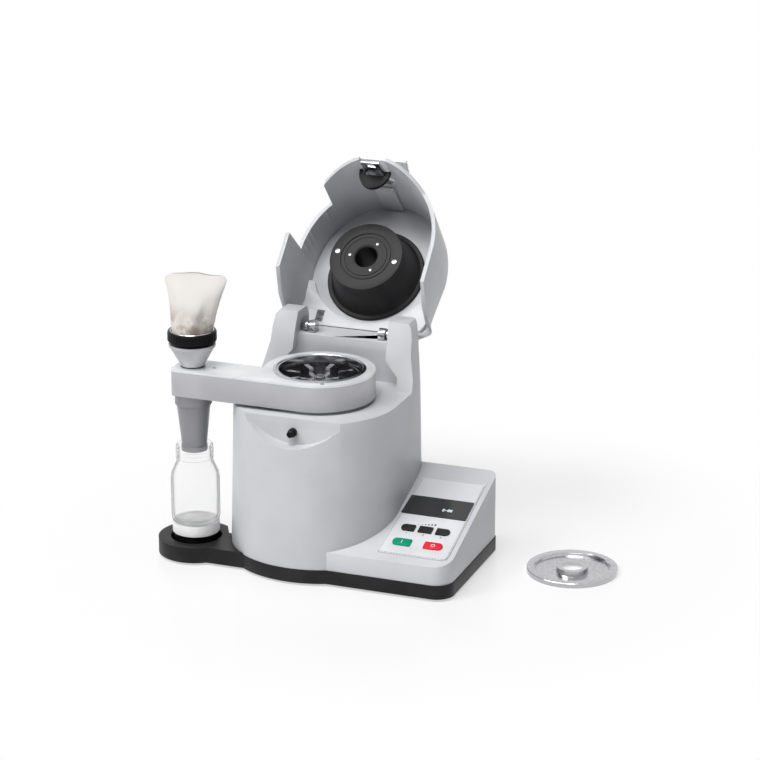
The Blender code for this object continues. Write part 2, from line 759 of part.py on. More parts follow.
def make_base():
    """Black tray under the housing and the console, the arm under the jar, and the feet."""
    ring = [(x, y) for x, y, _ in housing_ring(BASE_TOP, BASE_OVERHANG)]
    tray = slab("base_tray", ring, FOOT_HEIGHT + GAP, BASE_TOP, "black_plastic")
    corners = (BASE_EDGE, CONSOLE_FRONT_CORNER, CONSOLE_BACK_CORNER, BASE_EDGE)
    wing_plan = rounded(
        CONSOLE_LEFT,
        CONSOLE_RIGHT + BASE_OVERHANG,
        CONSOLE_FRONT - BASE_OVERHANG,
        CONSOLE_BACK + BASE_OVERHANG,
        corners,
    )
    wing = slab("tray_wing", wing_plan, FOOT_HEIGHT + GAP, BASE_TOP, "black_plastic")
    cut(tray, wing, kind="UNION")
    soften(tray, BASE_EDGE)
    end = arc(CYCLONE_X, CYCLONE_Y, ARM_END_RADIUS, math.radians(58.0), math.radians(308.0), MEDIUM)
    plan = end + [(ARM_NECK_LEFT, ARM_NECK_FRONT), (ARM_NECK_RIGHT, ARM_NECK_FRONT)]
    plan += [(ARM_NECK_RIGHT, ARM_NECK_BACK), (ARM_NECK_LEFT, ARM_NECK_BACK)]
    arm = slab("base_arm", plan, FOOT_HEIGHT + GAP, ARM_TOP, "black_plastic")
    keep_out = slab(
        "arm_keep_out",
        [(x, y) for x, y, _ in housing_ring(BASE_TOP, BASE_OVERHANG + GAP)],
        -BASE_TOP,
        ARM_TOP * TWICE,
        "steel",
    )
    well = turned(
        "rest_well",
        [(0.0, ARM_TOP * TWICE), (REST_WELL_RADIUS, ARM_TOP * TWICE), (REST_WELL_RADIUS, REST_WELL_FLOOR), (0.0, REST_WELL_FLOOR)],
        "steel",
        (CYCLONE_X, CYCLONE_Y),
        FINE,
    )
    cut(arm, keep_out, well)
    soften(arm, BASE_EDGE)
    foot = [(0.0, FOOT_HEIGHT), (FOOT_RADIUS, FOOT_HEIGHT), (FOOT_RADIUS - BASE_EDGE, 0.0), (0.0, 0.0)]
    side = CONSOLE_RIGHT - FOOT_INSET
    places = (
        ("foot_back_left", FOOT_INSET - HOUSING_FOOT_RADIUS, HOUSING_BACK - HOUSING_CORNER),
        ("foot_front_right", side, CONSOLE_FRONT + FOOT_INSET),
        ("foot_back_right", side, CONSOLE_BACK - FOOT_INSET),
        ("foot_arm", CYCLONE_X, CYCLONE_Y),
    )
    for name, x, y in places:
        turned(name, foot, "rubber", (x, y), COARSE)
    return tray


def panel_matrix():
    """Frame of the sloping panel: X to the right, Y up the slope, Z out of it."""
    slope = math.atan2(CONSOLE_BACK_TOP - CONSOLE_FRONT_TOP, CONSOLE_BACK - CONSOLE_FRONT)
    return Matrix.Translation((0.0, CONSOLE_FRONT, CONSOLE_FRONT_TOP)) @ Matrix.Rotation(slope, FOUR, "X")


def on_panel(name, outline, low, high, look, base=None):
    """Flat piece on the sloping panel, its origin at the middle of its underside."""
    xs = [x for x, _ in outline]
    ys = [y for _, y in outline]
    middle = Vector(((min(xs) + max(xs)) * HALF, (min(ys) + max(ys)) * HALF, low))
    plan = [(x - middle.x, y - middle.y) for x, y in outline]
    piece = slab(name, plan, 0.0, high - low, look)
    piece.matrix_world = panel_matrix() @ Matrix.Translation(middle)
    return piece


def leaned(outline):
    """Outline on the panel whose left side runs outward towards the front, as the label's does."""
    points = []
    for x, y in outline:
        share = (LABEL_RIGHT - x) / (LABEL_RIGHT - LABEL_LEFT) * (LABEL_END - y) / (LABEL_END - LABEL_START)
        points.append((x - LABEL_LEAN * share, y))
    return points


def key_plans():
    """Name, outline and look of each key."""
    round_end = SPEED_KEY_ROUND
    square = KEY_SHARP
    plans = []
    corner_sets = (
        (round_end, square, square, round_end),
        (square, square, square, square),
        (square, round_end, round_end, square),
    )
    for k, (name, corners) in enumerate(zip(("speed_key_low", "speed_key_middle", "speed_key_high"), corner_sets)):
        left = SPEED_KEYS_LEFT + k * SPEED_KEY_PITCH
        plan = rounded(left, left + SPEED_KEY_WIDTH, SPEED_KEY_START, SPEED_KEY_END, corners)
        plans.append((name, plan, "black_plastic"))
    plan = rounded(START_KEY_LEFT, START_KEY_LEFT + RUN_KEY_WIDTH, RUN_KEY_START, RUN_KEY_END, corner_sets[0])
    plans.append(("start_key", plan, "green_plastic"))
    plan = rounded(STOP_KEY_LEFT, STOP_KEY_LEFT + RUN_KEY_WIDTH, RUN_KEY_START, RUN_KEY_END, corner_sets[-1])
    plans.append(("stop_key", plan, "red_plastic"))
    return plans


def grown(outline, by):
    """Outline pushed outwards from its middle box by a small distance."""
    xs = [x for x, _ in outline]
    ys = [y for _, y in outline]
    mid_x = (min(xs) + max(xs)) * HALF
    mid_y = (min(ys) + max(ys)) * HALF
    wide = (max(xs) - min(xs)) * HALF
    deep = (max(ys) - min(ys)) * HALF
    return [(mid_x + (x - mid_x) * (wide + by) / wide, mid_y + (y - mid_y) * (deep + by) / deep) for x, y in outline]


def make_console():
    """Wedge beside the housing with its label, window and keys."""
    corners = (CONSOLE_EDGE, CONSOLE_FRONT_CORNER, CONSOLE_BACK_CORNER, CONSOLE_EDGE)
    plan = rounded(CONSOLE_LEFT, CONSOLE_RIGHT, CONSOLE_FRONT, CONSOLE_BACK, corners)
    body = slab("console_housing", plan, BASE_TOP + GAP, CONSOLE_BACK_TOP + HOUSING_WALL, "paint")
    slope = (CONSOLE_BACK_TOP - CONSOLE_FRONT_TOP) / (CONSOLE_BACK - CONSOLE_FRONT)
    near = CONSOLE_FRONT_TOP - slope * CONSOLE_WALL
    low_edge = (CONSOLE_FRONT - CONSOLE_WALL, near)
    high_edge = (CONSOLE_BACK + CONSOLE_WALL, CONSOLE_BACK_TOP + slope * CONSOLE_WALL)
    top_cut = prism_x(
        "console_top_cut",
        [low_edge, high_edge, (high_edge[0], FAR), (low_edge[0], FAR)],
        -FAR,
        FAR * TWICE,
    )
    keep_out = loft(
        "console_keep_out",
        [housing_ring(BASE_TOP - HOUSING_WALL, GAP), housing_ring(CONSOLE_BACK_TOP * TWICE, GAP)],
        "steel",
    )
    inner_plan = rounded(
        CONSOLE_LEFT + CONSOLE_WALL,
        CONSOLE_RIGHT - CONSOLE_WALL,
        CONSOLE_FRONT + CONSOLE_WALL,
        CONSOLE_BACK - CONSOLE_WALL,
        (CONSOLE_EDGE, CONSOLE_FRONT_CORNER - CONSOLE_WALL, CONSOLE_BACK_CORNER - CONSOLE_WALL, CONSOLE_EDGE),
    )
    cavity = slab("console_cavity", inner_plan, 0.0, CONSOLE_BACK_TOP * TWICE, "steel")
    roof = prism_x(
        "console_roof",
        [
            (low_edge[0], low_edge[1] - CONSOLE_WALL),
            (high_edge[0], high_edge[1] - CONSOLE_WALL),
            (high_edge[0], FAR),
            (low_edge[0], FAR),
        ],
        -FAR,
        FAR * TWICE,
    )
    inner_keep = loft(
        "console_inner_keep",
        [
            housing_ring(-HOUSING_WALL, CONSOLE_WALL + GAP),
            housing_ring(CONSOLE_BACK_TOP * TWICE + HOUSING_WALL, CONSOLE_WALL + GAP),
        ],
        "steel",
    )
    cut(cavity, roof, inner_keep)
    cut(body, top_cut, keep_out, cavity)
    label_plan = rounded(
        LABEL_LEFT,
        LABEL_RIGHT,
        LABEL_START,
        LABEL_END,
        (DISPLAY_CORNER, LABEL_CORNER, DISPLAY_CORNER, DISPLAY_CORNER),
    )
    label = on_panel("panel_label", leaned(label_plan), GAP, GAP + LABEL_THICK, "paint")
    for name, plan, look in key_plans():
        hole = on_panel(name + "_hole", grown(plan, GAP), -LABEL_THICK, LABEL_THICK * TWICE * TWICE, "steel")
        cut(label, hole)
        on_panel(name, plan, KEY_LIFT, KEY_LIFT + KEY_THICK, look)
    window_plan = rounded(DISPLAY_LEFT, DISPLAY_RIGHT, DISPLAY_START, DISPLAY_END, (DISPLAY_CORNER,) * FOUR)
    low = GAP + LABEL_THICK + GAP
    on_panel("display_window", leaned(window_plan), low, low + DISPLAY_THICK, "black_plastic")
    board_low = BASE_TOP + BOARD_LIFT
    board = block(
        "control_board",
        BOARD_LEFT,
        BOARD_RIGHT,
        BOARD_FRONT,
        BOARD_BACK,
        board_low,
        board_low + BOARD_THICK,
        "board",
    )
    for k, x in enumerate((BOARD_LEFT + STANDOFF_INSET, BOARD_RIGHT - STANDOFF_INSET)):
        for side, y in (("front", BOARD_FRONT + STANDOFF_INSET), ("back", BOARD_BACK - STANDOFF_INSET)):
            name = "standoff_" + side + str(k)
            low = BASE_TOP + GAP
            leg = block(
                name,
                x - STANDOFF_RADIUS,
                x + STANDOFF_RADIUS,
                y - STANDOFF_RADIUS,
                y + STANDOFF_RADIUS,
                low,
                board_low + BOARD_THICK * HALF,
                "board",
            )
            cut(board, leg, kind="UNION")
    return body


def star(radius, hub, half_width, count, twist=0.0):
    """Outline of a hub with radial blades."""
    points = []
    for k in range(count):
        angle = TWICE * math.pi * k / count + twist
        along = Vector((math.cos(angle), math.sin(angle)))
        across = Vector((-along.y, along.x))
        root = math.sqrt(hub * hub - half_width * half_width)
        tip = math.sqrt(radius * radius - half_width * half_width)
        for reach, side in ((root, -1), (tip, -1), (tip, 1), (root, 1)):
            place = along * reach + across * half_width * side
            points.append((place.x, place.y))
    return points


def make_rotor():
    """Rotor with its nut, and the shaft with the armature and the fan."""
    plan = star(ROTOR_RADIUS, ROTOR_HUB_RADIUS, BLADE_HALF_WIDTH, BLADE_COUNT)
    blades = slab("rotor_blades", plan, ROTOR_LOW + ROTOR_DISC_THICK * HALF, BLADE_TOP, "steel")
    inner = turned(
        "rotor_inner_cut",
        [(0.0, FAR), (BLADE_INNER, FAR), (BLADE_INNER, ROTOR_HUB_TOP), (0.0, ROTOR_HUB_TOP)],
        "steel",
    )
    cut(blades, inner)
    disc = [(ROTOR_RADIUS, ROTOR_LOW + ROTOR_DISC_THICK), (ROTOR_RADIUS, ROTOR_LOW)]
    disc += [(0.0, ROTOR_LOW)]
    rotor = turned("rotor", [(0.0, ROTOR_LOW + ROTOR_DISC_THICK)] + disc, "steel", steps=FINE)
    cut(rotor, blades, kind="UNION")
    hub = turned(
        "rotor_hub",
        [
            (0.0, ROTOR_HUB_TOP - GAP),
            (ROTOR_HUB_RADIUS + BLADE_HALF_WIDTH * HALF, ROTOR_HUB_TOP - GAP),
            (ROTOR_HUB_RADIUS + BLADE_HALF_WIDTH * HALF, ROTOR_LOW + ROTOR_DISC_THICK * HALF),
            (0.0, ROTOR_LOW + ROTOR_DISC_THICK * HALF),
        ],
        "steel",
    )
    cut(rotor, hub, kind="UNION")
    bore = turned(
        "rotor_bore",
        [(0.0, FAR), (SHAFT_RADIUS + GAP, FAR), (SHAFT_RADIUS + GAP, 0.0), (0.0, 0.0)],
        "steel",
        steps=COARSE,
    )
    cut(rotor, bore)
    flats = arc(0.0, 0.0, NUT_RADIUS, 0.0, TWICE * math.pi - TWICE * math.pi / HEX, HEX - 1)
    nut = slab("rotor_nut", flats, ROTOR_HUB_TOP, ROTOR_HUB_TOP + NUT_HEIGHT, "steel")
    nut_bore = turned(
        "nut_bore",
        [(0.0, FAR), (STUD_RADIUS + GAP, FAR), (STUD_RADIUS + GAP, 0.0), (0.0, 0.0)],
        "steel",
        steps=COARSE,
    )
    cut(nut, nut_bore)
    shaft = [
        (0.0, STUD_TOP),
        (STUD_RADIUS, STUD_TOP),
        (STUD_RADIUS, ROTOR_HUB_TOP - GAP),
        (SHAFT_RADIUS, ROTOR_HUB_TOP - GAP),
        (SHAFT_RADIUS, ARMATURE_HIGH),
        (ARMATURE_RADIUS, ARMATURE_HIGH),
        (ARMATURE_RADIUS, ARMATURE_LOW),
        (COMMUTATOR_RADIUS, ARMATURE_LOW),
        (COMMUTATOR_RADIUS, COMMUTATOR_LOW),
        (SHAFT_RADIUS, COMMUTATOR_LOW),
        (SHAFT_RADIUS, SHAFT_LOW),
        (0.0, SHAFT_LOW),
    ]
    turned("motor_armature", shaft, "steel", steps=COARSE)
    plan = star(FAN_RADIUS, FAN_BLADE_INNER, FAN_BLADE_HALF, FAN_BLADES)
    vanes = slab("fan_vanes", plan, FAN_LOW + FAN_DISC * HALF, FAN_HIGH, "black_plastic")
    fan = turned(
        "motor_fan",
        [(0.0, FAN_LOW + FAN_DISC), (FAN_RADIUS, FAN_LOW + FAN_DISC), (FAN_RADIUS, FAN_LOW), (0.0, FAN_LOW)],
        "black_plastic",
    )
    cut(fan, vanes, kind="UNION")
    fan_bore = turned(
        "fan_bore",
        [(0.0, FAR), (SHAFT_RADIUS + GAP, FAR), (SHAFT_RADIUS + GAP, 0.0), (0.0, 0.0)],
        "steel",
        steps=COARSE,
    )
    cut(fan, fan_bore)
    return rotor


def make_motor():
    """Fixed pieces of the motor under the deck."""
    turned("motor_stator", bead(STATOR_OUTER, STATOR_LOW, STATOR_HIGH, STATOR_INNER), "copper", ring=True)
    seat = BEARING_RADIUS + GAP
    low = SHIELD_TOP - SHIELD_THICK - BEARING_HEIGHT
    mouth = SHAFT_RADIUS + GAP * TWICE
    top_shield = [
        (SHIELD_RADIUS, SHIELD_TOP),
        (SHIELD_RADIUS, SHIELD_TOP - SHIELD_THICK),
        (seat + SHIELD_THICK * HALF, SHIELD_TOP - SHIELD_THICK),
        (seat + SHIELD_THICK * HALF, low),
        (seat, low),
        (seat, SHIELD_TOP - SHIELD_THICK * HALF),
        (mouth, SHIELD_TOP - SHIELD_THICK * HALF),
        (mouth, SHIELD_TOP),
    ]
    turned("motor_top_shield", top_shield, "aluminium", ring=True)
    bottom = BASE_TOP + GAP
    bottom_shield = [
        (0.0, bottom + SHIELD_THICK * HALF),
        (seat, bottom + SHIELD_THICK * HALF),
        (seat, bottom + BEARING_HEIGHT * TWICE),
        (seat + SHIELD_THICK * HALF, bottom + BEARING_HEIGHT * TWICE),
        (seat + SHIELD_THICK * HALF, bottom + SHIELD_THICK),
        (SHIELD_RADIUS, bottom + SHIELD_THICK),
        (SHIELD_RADIUS, bottom),
        (0.0, bottom),
    ]
    turned("motor_bottom_shield", bottom_shield, "aluminium")
    tops = (
        ("shaft_bearing_top", SHIELD_TOP - SHIELD_THICK * HALF - GAP),
        ("shaft_bearing_bottom", bottom + BEARING_HEIGHT * TWICE - GAP),
    )
    for name, high in tops:
        section = bead(BEARING_RADIUS, high - BEARING_HEIGHT, high, SHAFT_RADIUS + GAP)
        turned(name, section, "steel", steps=COARSE, ring=True)
    floor = [
        (FLOOR_RADIUS, CASSETTE_LOW - GAP),
        (FLOOR_RADIUS, DECK_TOP + GAP),
        (FLOOR_BORE, DECK_TOP + GAP),
        (FLOOR_BORE, CASSETTE_LOW - GAP),
    ]
    turned("chamber_floor", floor, "steel", ring=True, steps=FINE)


def ring_points(radius, count):
    """Points of a circle about the rotor axis."""
    return arc(0.0, 0.0, radius, 0.0, TWICE * math.pi - TWICE * math.pi / count, count - 1)


def cassette_plan():
    """Round chamber with the arm that runs left to the cyclone."""
    left = CASSETTE_LEFT
    front = -CASSETTE_RADIUS
    back = CYCLONE_Y + CASSETTE_ARM_HALF
    meet = math.asin(back / CASSETTE_RADIUS)
    points = arc(left + CASSETTE_CORNER, back - CASSETTE_CORNER, CASSETTE_CORNER, QUARTER_TURN, math.pi, CORNER_FACETS)
    points += arc(
        left + CASSETTE_CORNER,
        front + CASSETTE_CORNER,
        CASSETTE_CORNER,
        math.pi,
        QUARTER_TURN * (TWICE + 1),
        CORNER_FACETS,
    )
    points += arc(0.0, 0.0, CASSETTE_RADIUS, -QUARTER_TURN, math.pi - meet, FRONT_FACETS)
    return points


def make_cassette():
    """Milling cassette: body, screwed cover, chamber ring and ring sieve."""
    seam = CASSETTE_TOP - COVER_THICK
    body = slab("cassette_body", cassette_plan(), CASSETTE_LOW, seam - GAP, "aluminium")
    cover = slab("cassette_cover", cassette_plan(), seam, CASSETTE_TOP, "aluminium")
    bore = [(0.0, FAR), (CASSETTE_BORE, FAR), (CASSETTE_BORE, REAR_HIGH), (0.0, REAR_HIGH)]
    well = [(0.0, FAR), (CYCLONE_BORE, FAR), (CYCLONE_BORE, REAR_HIGH), (0.0, REAR_HIGH)]
    channel = dict(
        left=CYCLONE_X,
        right=CHANNEL_RIGHT,
        front=CYCLONE_Y - CHANNEL_HALF_WIDTH,
        back=CYCLONE_Y + CHANNEL_HALF_WIDTH,
        low=CHANNEL_LOW,
        high=CHANNEL_HIGH,
    )
    cut(body, turned("body_bore", bore, "steel", steps=FINE))
    cut(body, turned("body_well", well, "steel", (CYCLONE_X, CYCLONE_Y)))
    cut(body, block("body_channel", **channel))
    cut(cover, turned("cover_bore", bore, "steel", steps=FINE))
    outlet = VORTEX_RADIUS + GAP
    mouth = [(0.0, FAR), (outlet, FAR), (outlet, REAR_HIGH), (0.0, REAR_HIGH)]
    cut(cover, turned("cover_outlet", mouth, "steel", (CYCLONE_X, CYCLONE_Y), COARSE))
    ring = [
        (RING_STEP_RADIUS, CASSETTE_TOP + RING_FLANGE_THICK),
        (RING_FLANGE_RADIUS, CASSETTE_TOP + RING_FLANGE_THICK - RING_STEP),
        (RING_FLANGE_RADIUS, CASSETTE_TOP + GAP),
        (RING_BODY_RADIUS, CASSETTE_TOP + GAP),
        (RING_BODY_RADIUS, CASSETTE_LOW + GAP),
        (RING_BORE, CASSETTE_LOW + GAP),
        (RING_BORE, CASSETTE_TOP + RING_FLANGE_THICK - RING_STEP),
        (RING_STEP_RADIUS - RING_STEP, CASSETTE_TOP + RING_FLANGE_THICK - RING_STEP),
    ]
    lining = turned("chamber_ring", ring, "steel", ring=True, steps=FINE)
    cut(lining, block("ring_channel", **channel))
    sieve_low = CASSETTE_LOW + GAP
    sieve_top = CHANNEL_HIGH + SIEVE_BEAD * TWICE
    sieve = [
        (SIEVE_RADIUS, sieve_top),
        (SIEVE_RADIUS, sieve_low),
        (SIEVE_RADIUS - SIEVE_WALL, sieve_low),
        (SIEVE_RADIUS - SIEVE_WALL, sieve_top),
    ]
    turned("ring_sieve", sieve, "steel", ring=True, steps=FINE)


def make_cyclone():
    """Cyclone under the arm of the cassette and the outlet with the filter sock above it."""
    centre = (CYCLONE_X, CYCLONE_Y)
    collar_bore = CONE_TOP_RADIUS + GAP
    collar = [
        (COLLAR_RADIUS, CASSETTE_LOW - GAP),
        (COLLAR_RADIUS, COLLAR_LOW + CONE_RIB),
        (COLLAR_RADIUS - CONE_RIB, COLLAR_LOW),
        (collar_bore, COLLAR_LOW),
        (collar_bore, CASSETTE_LOW - GAP),
    ]
    turned("cyclone_collar", collar, "aluminium", centre, ring=True)
    rib = COLLAR_LOW - CONE_WALL * TWICE
    low_inner = CONE_LOW_RADIUS - CONE_WALL
    cone = [
        (CONE_TOP_RADIUS, CASSETTE_LOW - GAP),
        (CONE_TOP_RADIUS, rib),
        (CONE_TOP_RADIUS - CONE_RIB, rib - CONE_WALL),
        (CONE_LOW_RADIUS, CONE_LOW),
        (END_RING_RADIUS, CONE_LOW - GAP),
        (END_RING_RADIUS, END_RING_LOW),
        (low_inner, END_RING_LOW),
        (low_inner, CONE_LOW),
        (CONE_TOP_RADIUS - CONE_WALL * TWICE, rib - CONE_WALL),
        (CONE_TOP_RADIUS - CONE_WALL * TWICE, CASSETTE_LOW - GAP),
    ]
    turned("cyclone_cone", cone, "steel", centre, ring=True)
    wall = VORTEX_RADIUS - CONE_WALL
    turned("vortex_tube", bead(VORTEX_RADIUS, VORTEX_LOW, CASSETTE_TOP, wall), "steel", centre, COARSE, ring=True)
    seal_low = CASSETTE_TOP + GAP
    turned("funnel_seal", bead(SEAL_RADIUS, seal_low, seal_low + SEAL_THICK, SEAL_BORE), "rubber", centre, ring=True)
    funnel_low = seal_low + SEAL_THICK + GAP
    lip = FUNNEL_TOP - FUNNEL_LIP
    funnel = [
        (FUNNEL_TOP_RADIUS, FUNNEL_TOP),
        (FUNNEL_TOP_RADIUS, lip),
        (FUNNEL_TOP_RADIUS - CONE_RIB, lip),
        (FUNNEL_LOW_RADIUS, funnel_low + CONE_WALL),
        (FUNNEL_LOW_RADIUS, funnel_low),
        (FUNNEL_LOW_RADIUS - CONE_WALL * TWICE, funnel_low),
        (FUNNEL_LOW_RADIUS - CONE_WALL, funnel_low + CONE_WALL),
        (FUNNEL_TOP_RADIUS - CONE_WALL * TWICE, lip),
        (FUNNEL_TOP_RADIUS - CONE_WALL * TWICE, FUNNEL_TOP),
    ]
    turned("outlet_funnel", funnel, "aluminium", centre, ring=True)
    make_clamp(centre)
    make_sock(centre)


def make_clamp(centre):
    """Knurled clamp ring around the steel collar that holds the sock."""
    count = CLAMP_TEETH * TWICE_COUNT
    rings = []
    levels = (
        (CLAMP_RADIUS - CLAMP_CHAMFER, CLAMP_LOW, False),
        (CLAMP_RADIUS, CLAMP_LOW + CLAMP_CHAMFER, True),
        (CLAMP_RADIUS, CLAMP_TOP - CLAMP_TOOTH_DEPTH, True),
        (CLAMP_RADIUS - CLAMP_TOOTH_DEPTH, CLAMP_TOP, False),
        (CLAMP_BORE, CLAMP_TOP, False),
        (CLAMP_BORE, CLAMP_LOW + CLAMP_CHAMFER, False),
        (CLAMP_BORE - CLAMP_TOOTH_DEPTH * TWICE, CLAMP_LOW, False),
    )
    for radius, height, toothed in levels:
        ring = []
        for k in range(count):
            angle = TWICE * math.pi * k / count
            out = radius - (CLAMP_TOOTH_DEPTH if toothed and k % TWICE_COUNT else 0.0)
            ring.append((centre[0] + out * math.cos(angle), centre[1] + out * math.sin(angle), height))
        rings.append(ring)
    loft("sock_clamp_ring", rings, "black_plastic", True, (centre[0], centre[1], 0.0))
    outer = CLAMP_BORE - GAP
    collar = bead(outer, CLAMP_LOW + CLAMP_CHAMFER, SOCK_COLLAR_TOP, SOCK_COLLAR_BORE)
    turned("sock_collar", collar, "steel", centre, ring=True)


SOCK_WALL = 0.0012
SOCK_POINTS = 48
# Height, half width, half depth and shift to the right at each level of the sock, from below.
SOCK_LEVELS = (
    (0.3100, 0.0282, 0.0282, 0.0000),
    (0.3330, 0.0281, 0.0281, 0.0000),
    (0.3380, 0.0300, 0.0288, 0.0010),
    (0.3460, 0.0304, 0.0270, 0.0030),
    (0.3580, 0.0314, 0.0250, 0.0045),
    (0.3700, 0.0350, 0.0215, 0.0057),
    (0.3820, 0.0382, 0.0175, 0.0057),
    (0.3940, 0.0416, 0.0115, 0.0068),
    (0.4040, 0.0452, 0.0050, 0.0074),
    (0.4095, 0.0460, 0.0028, 0.0078),
)
SOCK_WAVE = 0.0010
SOCK_BEND = 0.0030
SOCK_CORNER = 0.4500
SOCK_DROP = 0.0110


def sock_ring(centre, level, inward):
    """One level of the sock: an oval bent into a wave towards the flat seam, its left corner lower."""
    height, wide, deep, shift = level
    bottom = SOCK_LEVELS[0][0]
    top = SOCK_LEVELS[-1][0]
    rise = (height - bottom) / (top - bottom)
    ring = []
    for k in range(SOCK_POINTS):
        angle = TWICE * math.pi * k / SOCK_POINTS
        across = (wide - inward) * math.cos(angle)
        along = (deep - min(inward, deep * HALF)) * math.sin(angle)
        share = across / wide
        bend = SOCK_BEND * rise * rise * math.sin(math.pi * share)
        corner = max(0.0, -share - SOCK_CORNER) / (1 - SOCK_CORNER)
        lift = rise * rise * (SOCK_WAVE * math.cos(TWICE * math.pi * share) - SOCK_DROP * corner * corner)
        inner_drop = SOCK_WALL if inward and level is SOCK_LEVELS[-1] else 0.0
        ring.append((centre[0] + across + shift, centre[1] + along + bend, height + lift - inner_drop))
    return ring


def make_sock(centre):
    """Cloth filter sock, open below and flat at its seam."""
    outer = [sock_ring(centre, level, 0.0) for level in SOCK_LEVELS]
    inner = [sock_ring(centre, level, SOCK_WALL) for level in reversed(SOCK_LEVELS)]
    rings = inner + outer
    loft("filter_sock", rings, "cloth", False, (centre[0], centre[1], 0.0))


def make_jar():
    """Glass jar on its sprung rest."""
    centre = (CYCLONE_X, CYCLONE_Y)
    inner = JAR_RADIUS - JAR_WALL
    neck_inner = JAR_NECK_RADIUS - JAR_NECK_WALL
    thread = JAR_RIM_RADIUS + CONE_RIB
    shoulder = JAR_TOP - 0.0270
    body_top = JAR_TOP - 0.0500
    threads = (
        (JAR_RIM_RADIUS, JAR_TOP),
        (JAR_RIM_RADIUS, JAR_TOP - 0.0020),
        (JAR_NECK_RADIUS, JAR_TOP - 0.0035),
        (JAR_NECK_RADIUS, JAR_TOP - 0.0055),
        (thread, JAR_TOP - 0.0070),
        (JAR_NECK_RADIUS, JAR_TOP - 0.0085),
        (JAR_NECK_RADIUS, JAR_TOP - 0.0105),
        (thread, JAR_TOP - 0.0120),
        (JAR_NECK_RADIUS, JAR_TOP - 0.0135),
        (JAR_NECK_RADIUS, JAR_TOP - 0.0170),
        (thread, JAR_TOP - 0.0185),
        (JAR_NECK_RADIUS, JAR_TOP - 0.0205),
    )
    profile = list(threads) + [
        (JAR_NECK_RADIUS + 0.0020, shoulder),
        (JAR_RADIUS - 0.0045, shoulder - 0.0080),
        (JAR_RADIUS - 0.0012, shoulder - 0.0150),
        (JAR_RADIUS, body_top),
        (JAR_RADIUS, JAR_LOW + 0.0080),
        (JAR_RADIUS - 0.0015, JAR_LOW + 0.0030),
        (JAR_RADIUS - 0.0055, JAR_LOW),
        (0.0, JAR_LOW + 0.0012),
        (0.0, JAR_LOW + 0.0045),
        (inner - 0.0050, JAR_LOW + 0.0040),
        (inner, JAR_LOW + 0.0090),
        (inner, body_top),
        (JAR_RADIUS - 0.0035, shoulder - 0.0145),
        (neck_inner + 0.0035, shoulder - 0.0040),
        (neck_inner, shoulder + 0.0030),
        (neck_inner, JAR_TOP),
    ]
    profile = profile[profile.index((0.0, JAR_LOW + 0.0045)):] + profile[:profile.index((0.0, JAR_LOW + 0.0045))]
    turned("sample_jar", profile, "glass", centre)
    rest = [
        (0.0, REST_TOP - REST_DISH),
        (JAR_RADIUS - 0.0060, REST_TOP - REST_DISH),
        (JAR_RADIUS - 0.0045, REST_TOP - GAP),
        (REST_RADIUS - REST_RIM, REST_TOP - GAP),
        (REST_RADIUS, REST_TOP - REST_RIM),
        (REST_RADIUS, REST_SKIRT),
        (REST_SLEEVE, REST_SKIRT),
        (REST_SLEEVE, REST_LOW),
        (REST_BORE, REST_LOW),
        (REST_BORE, REST_CEILING),
        (0.0, REST_CEILING),
    ]
    turned("jar_rest", rest, "white_plastic", centre)
    make_spring(centre)


def make_spring(centre):
    """Coil spring between the well and the jar rest."""
    low = REST_WELL_FLOOR + GAP + SPRING_WIRE
    high = REST_CEILING - GAP - SPRING_WIRE
    count = SPRING_TURNS * SPRING_POINTS
    curve = bpy.data.curves.new("jar_rest_spring", "CURVE")
    curve.dimensions = "3D"
    curve.bevel_depth = SPRING_WIRE
    curve.bevel_resolution = 1
    curve.use_fill_caps = True
    wire = curve.splines.new("POLY")
    wire.points.add(count)
    for k in range(count + 1):
        angle = TWICE * math.pi * k / SPRING_POINTS
        height = low + (high - low) * k / count
        wire.points[k].co = (SPRING_RADIUS * math.cos(angle), SPRING_RADIUS * math.sin(angle), height, 1.0)
    spring = bpy.data.objects.new("jar_rest_spring", curve)
    spring.location = (centre[0], centre[1], 0.0)
    link(spring)
    return paint(spring, "steel")


def lid_low(x, y):
    """Height of the lower edge of the hood's wall above one point of its plan."""
    if y >= LID_SIDE_END + GAP:
        return LID_REAR_RIM
    if y > LID_SIDE_KNEE:
        return LID_KNEE_RIM + (LID_END_RIM - LID_KNEE_RIM) * (y - LID_SIDE_KNEE) / (LID_SIDE_END - LID_SIDE_KNEE)
    if y > LID_SIDE_START:
        return LID_RIM + (LID_KNEE_RIM - LID_RIM) * (y - LID_SIDE_START) / (LID_SIDE_KNEE - LID_SIDE_START)
    share = min(1.0, abs(x) / LID_TIP_HALF_WIDTH)
    return LID_TIP_RIM + (LID_RIM - LID_TIP_RIM) * share * share if y < 0.0 else LID_RIM


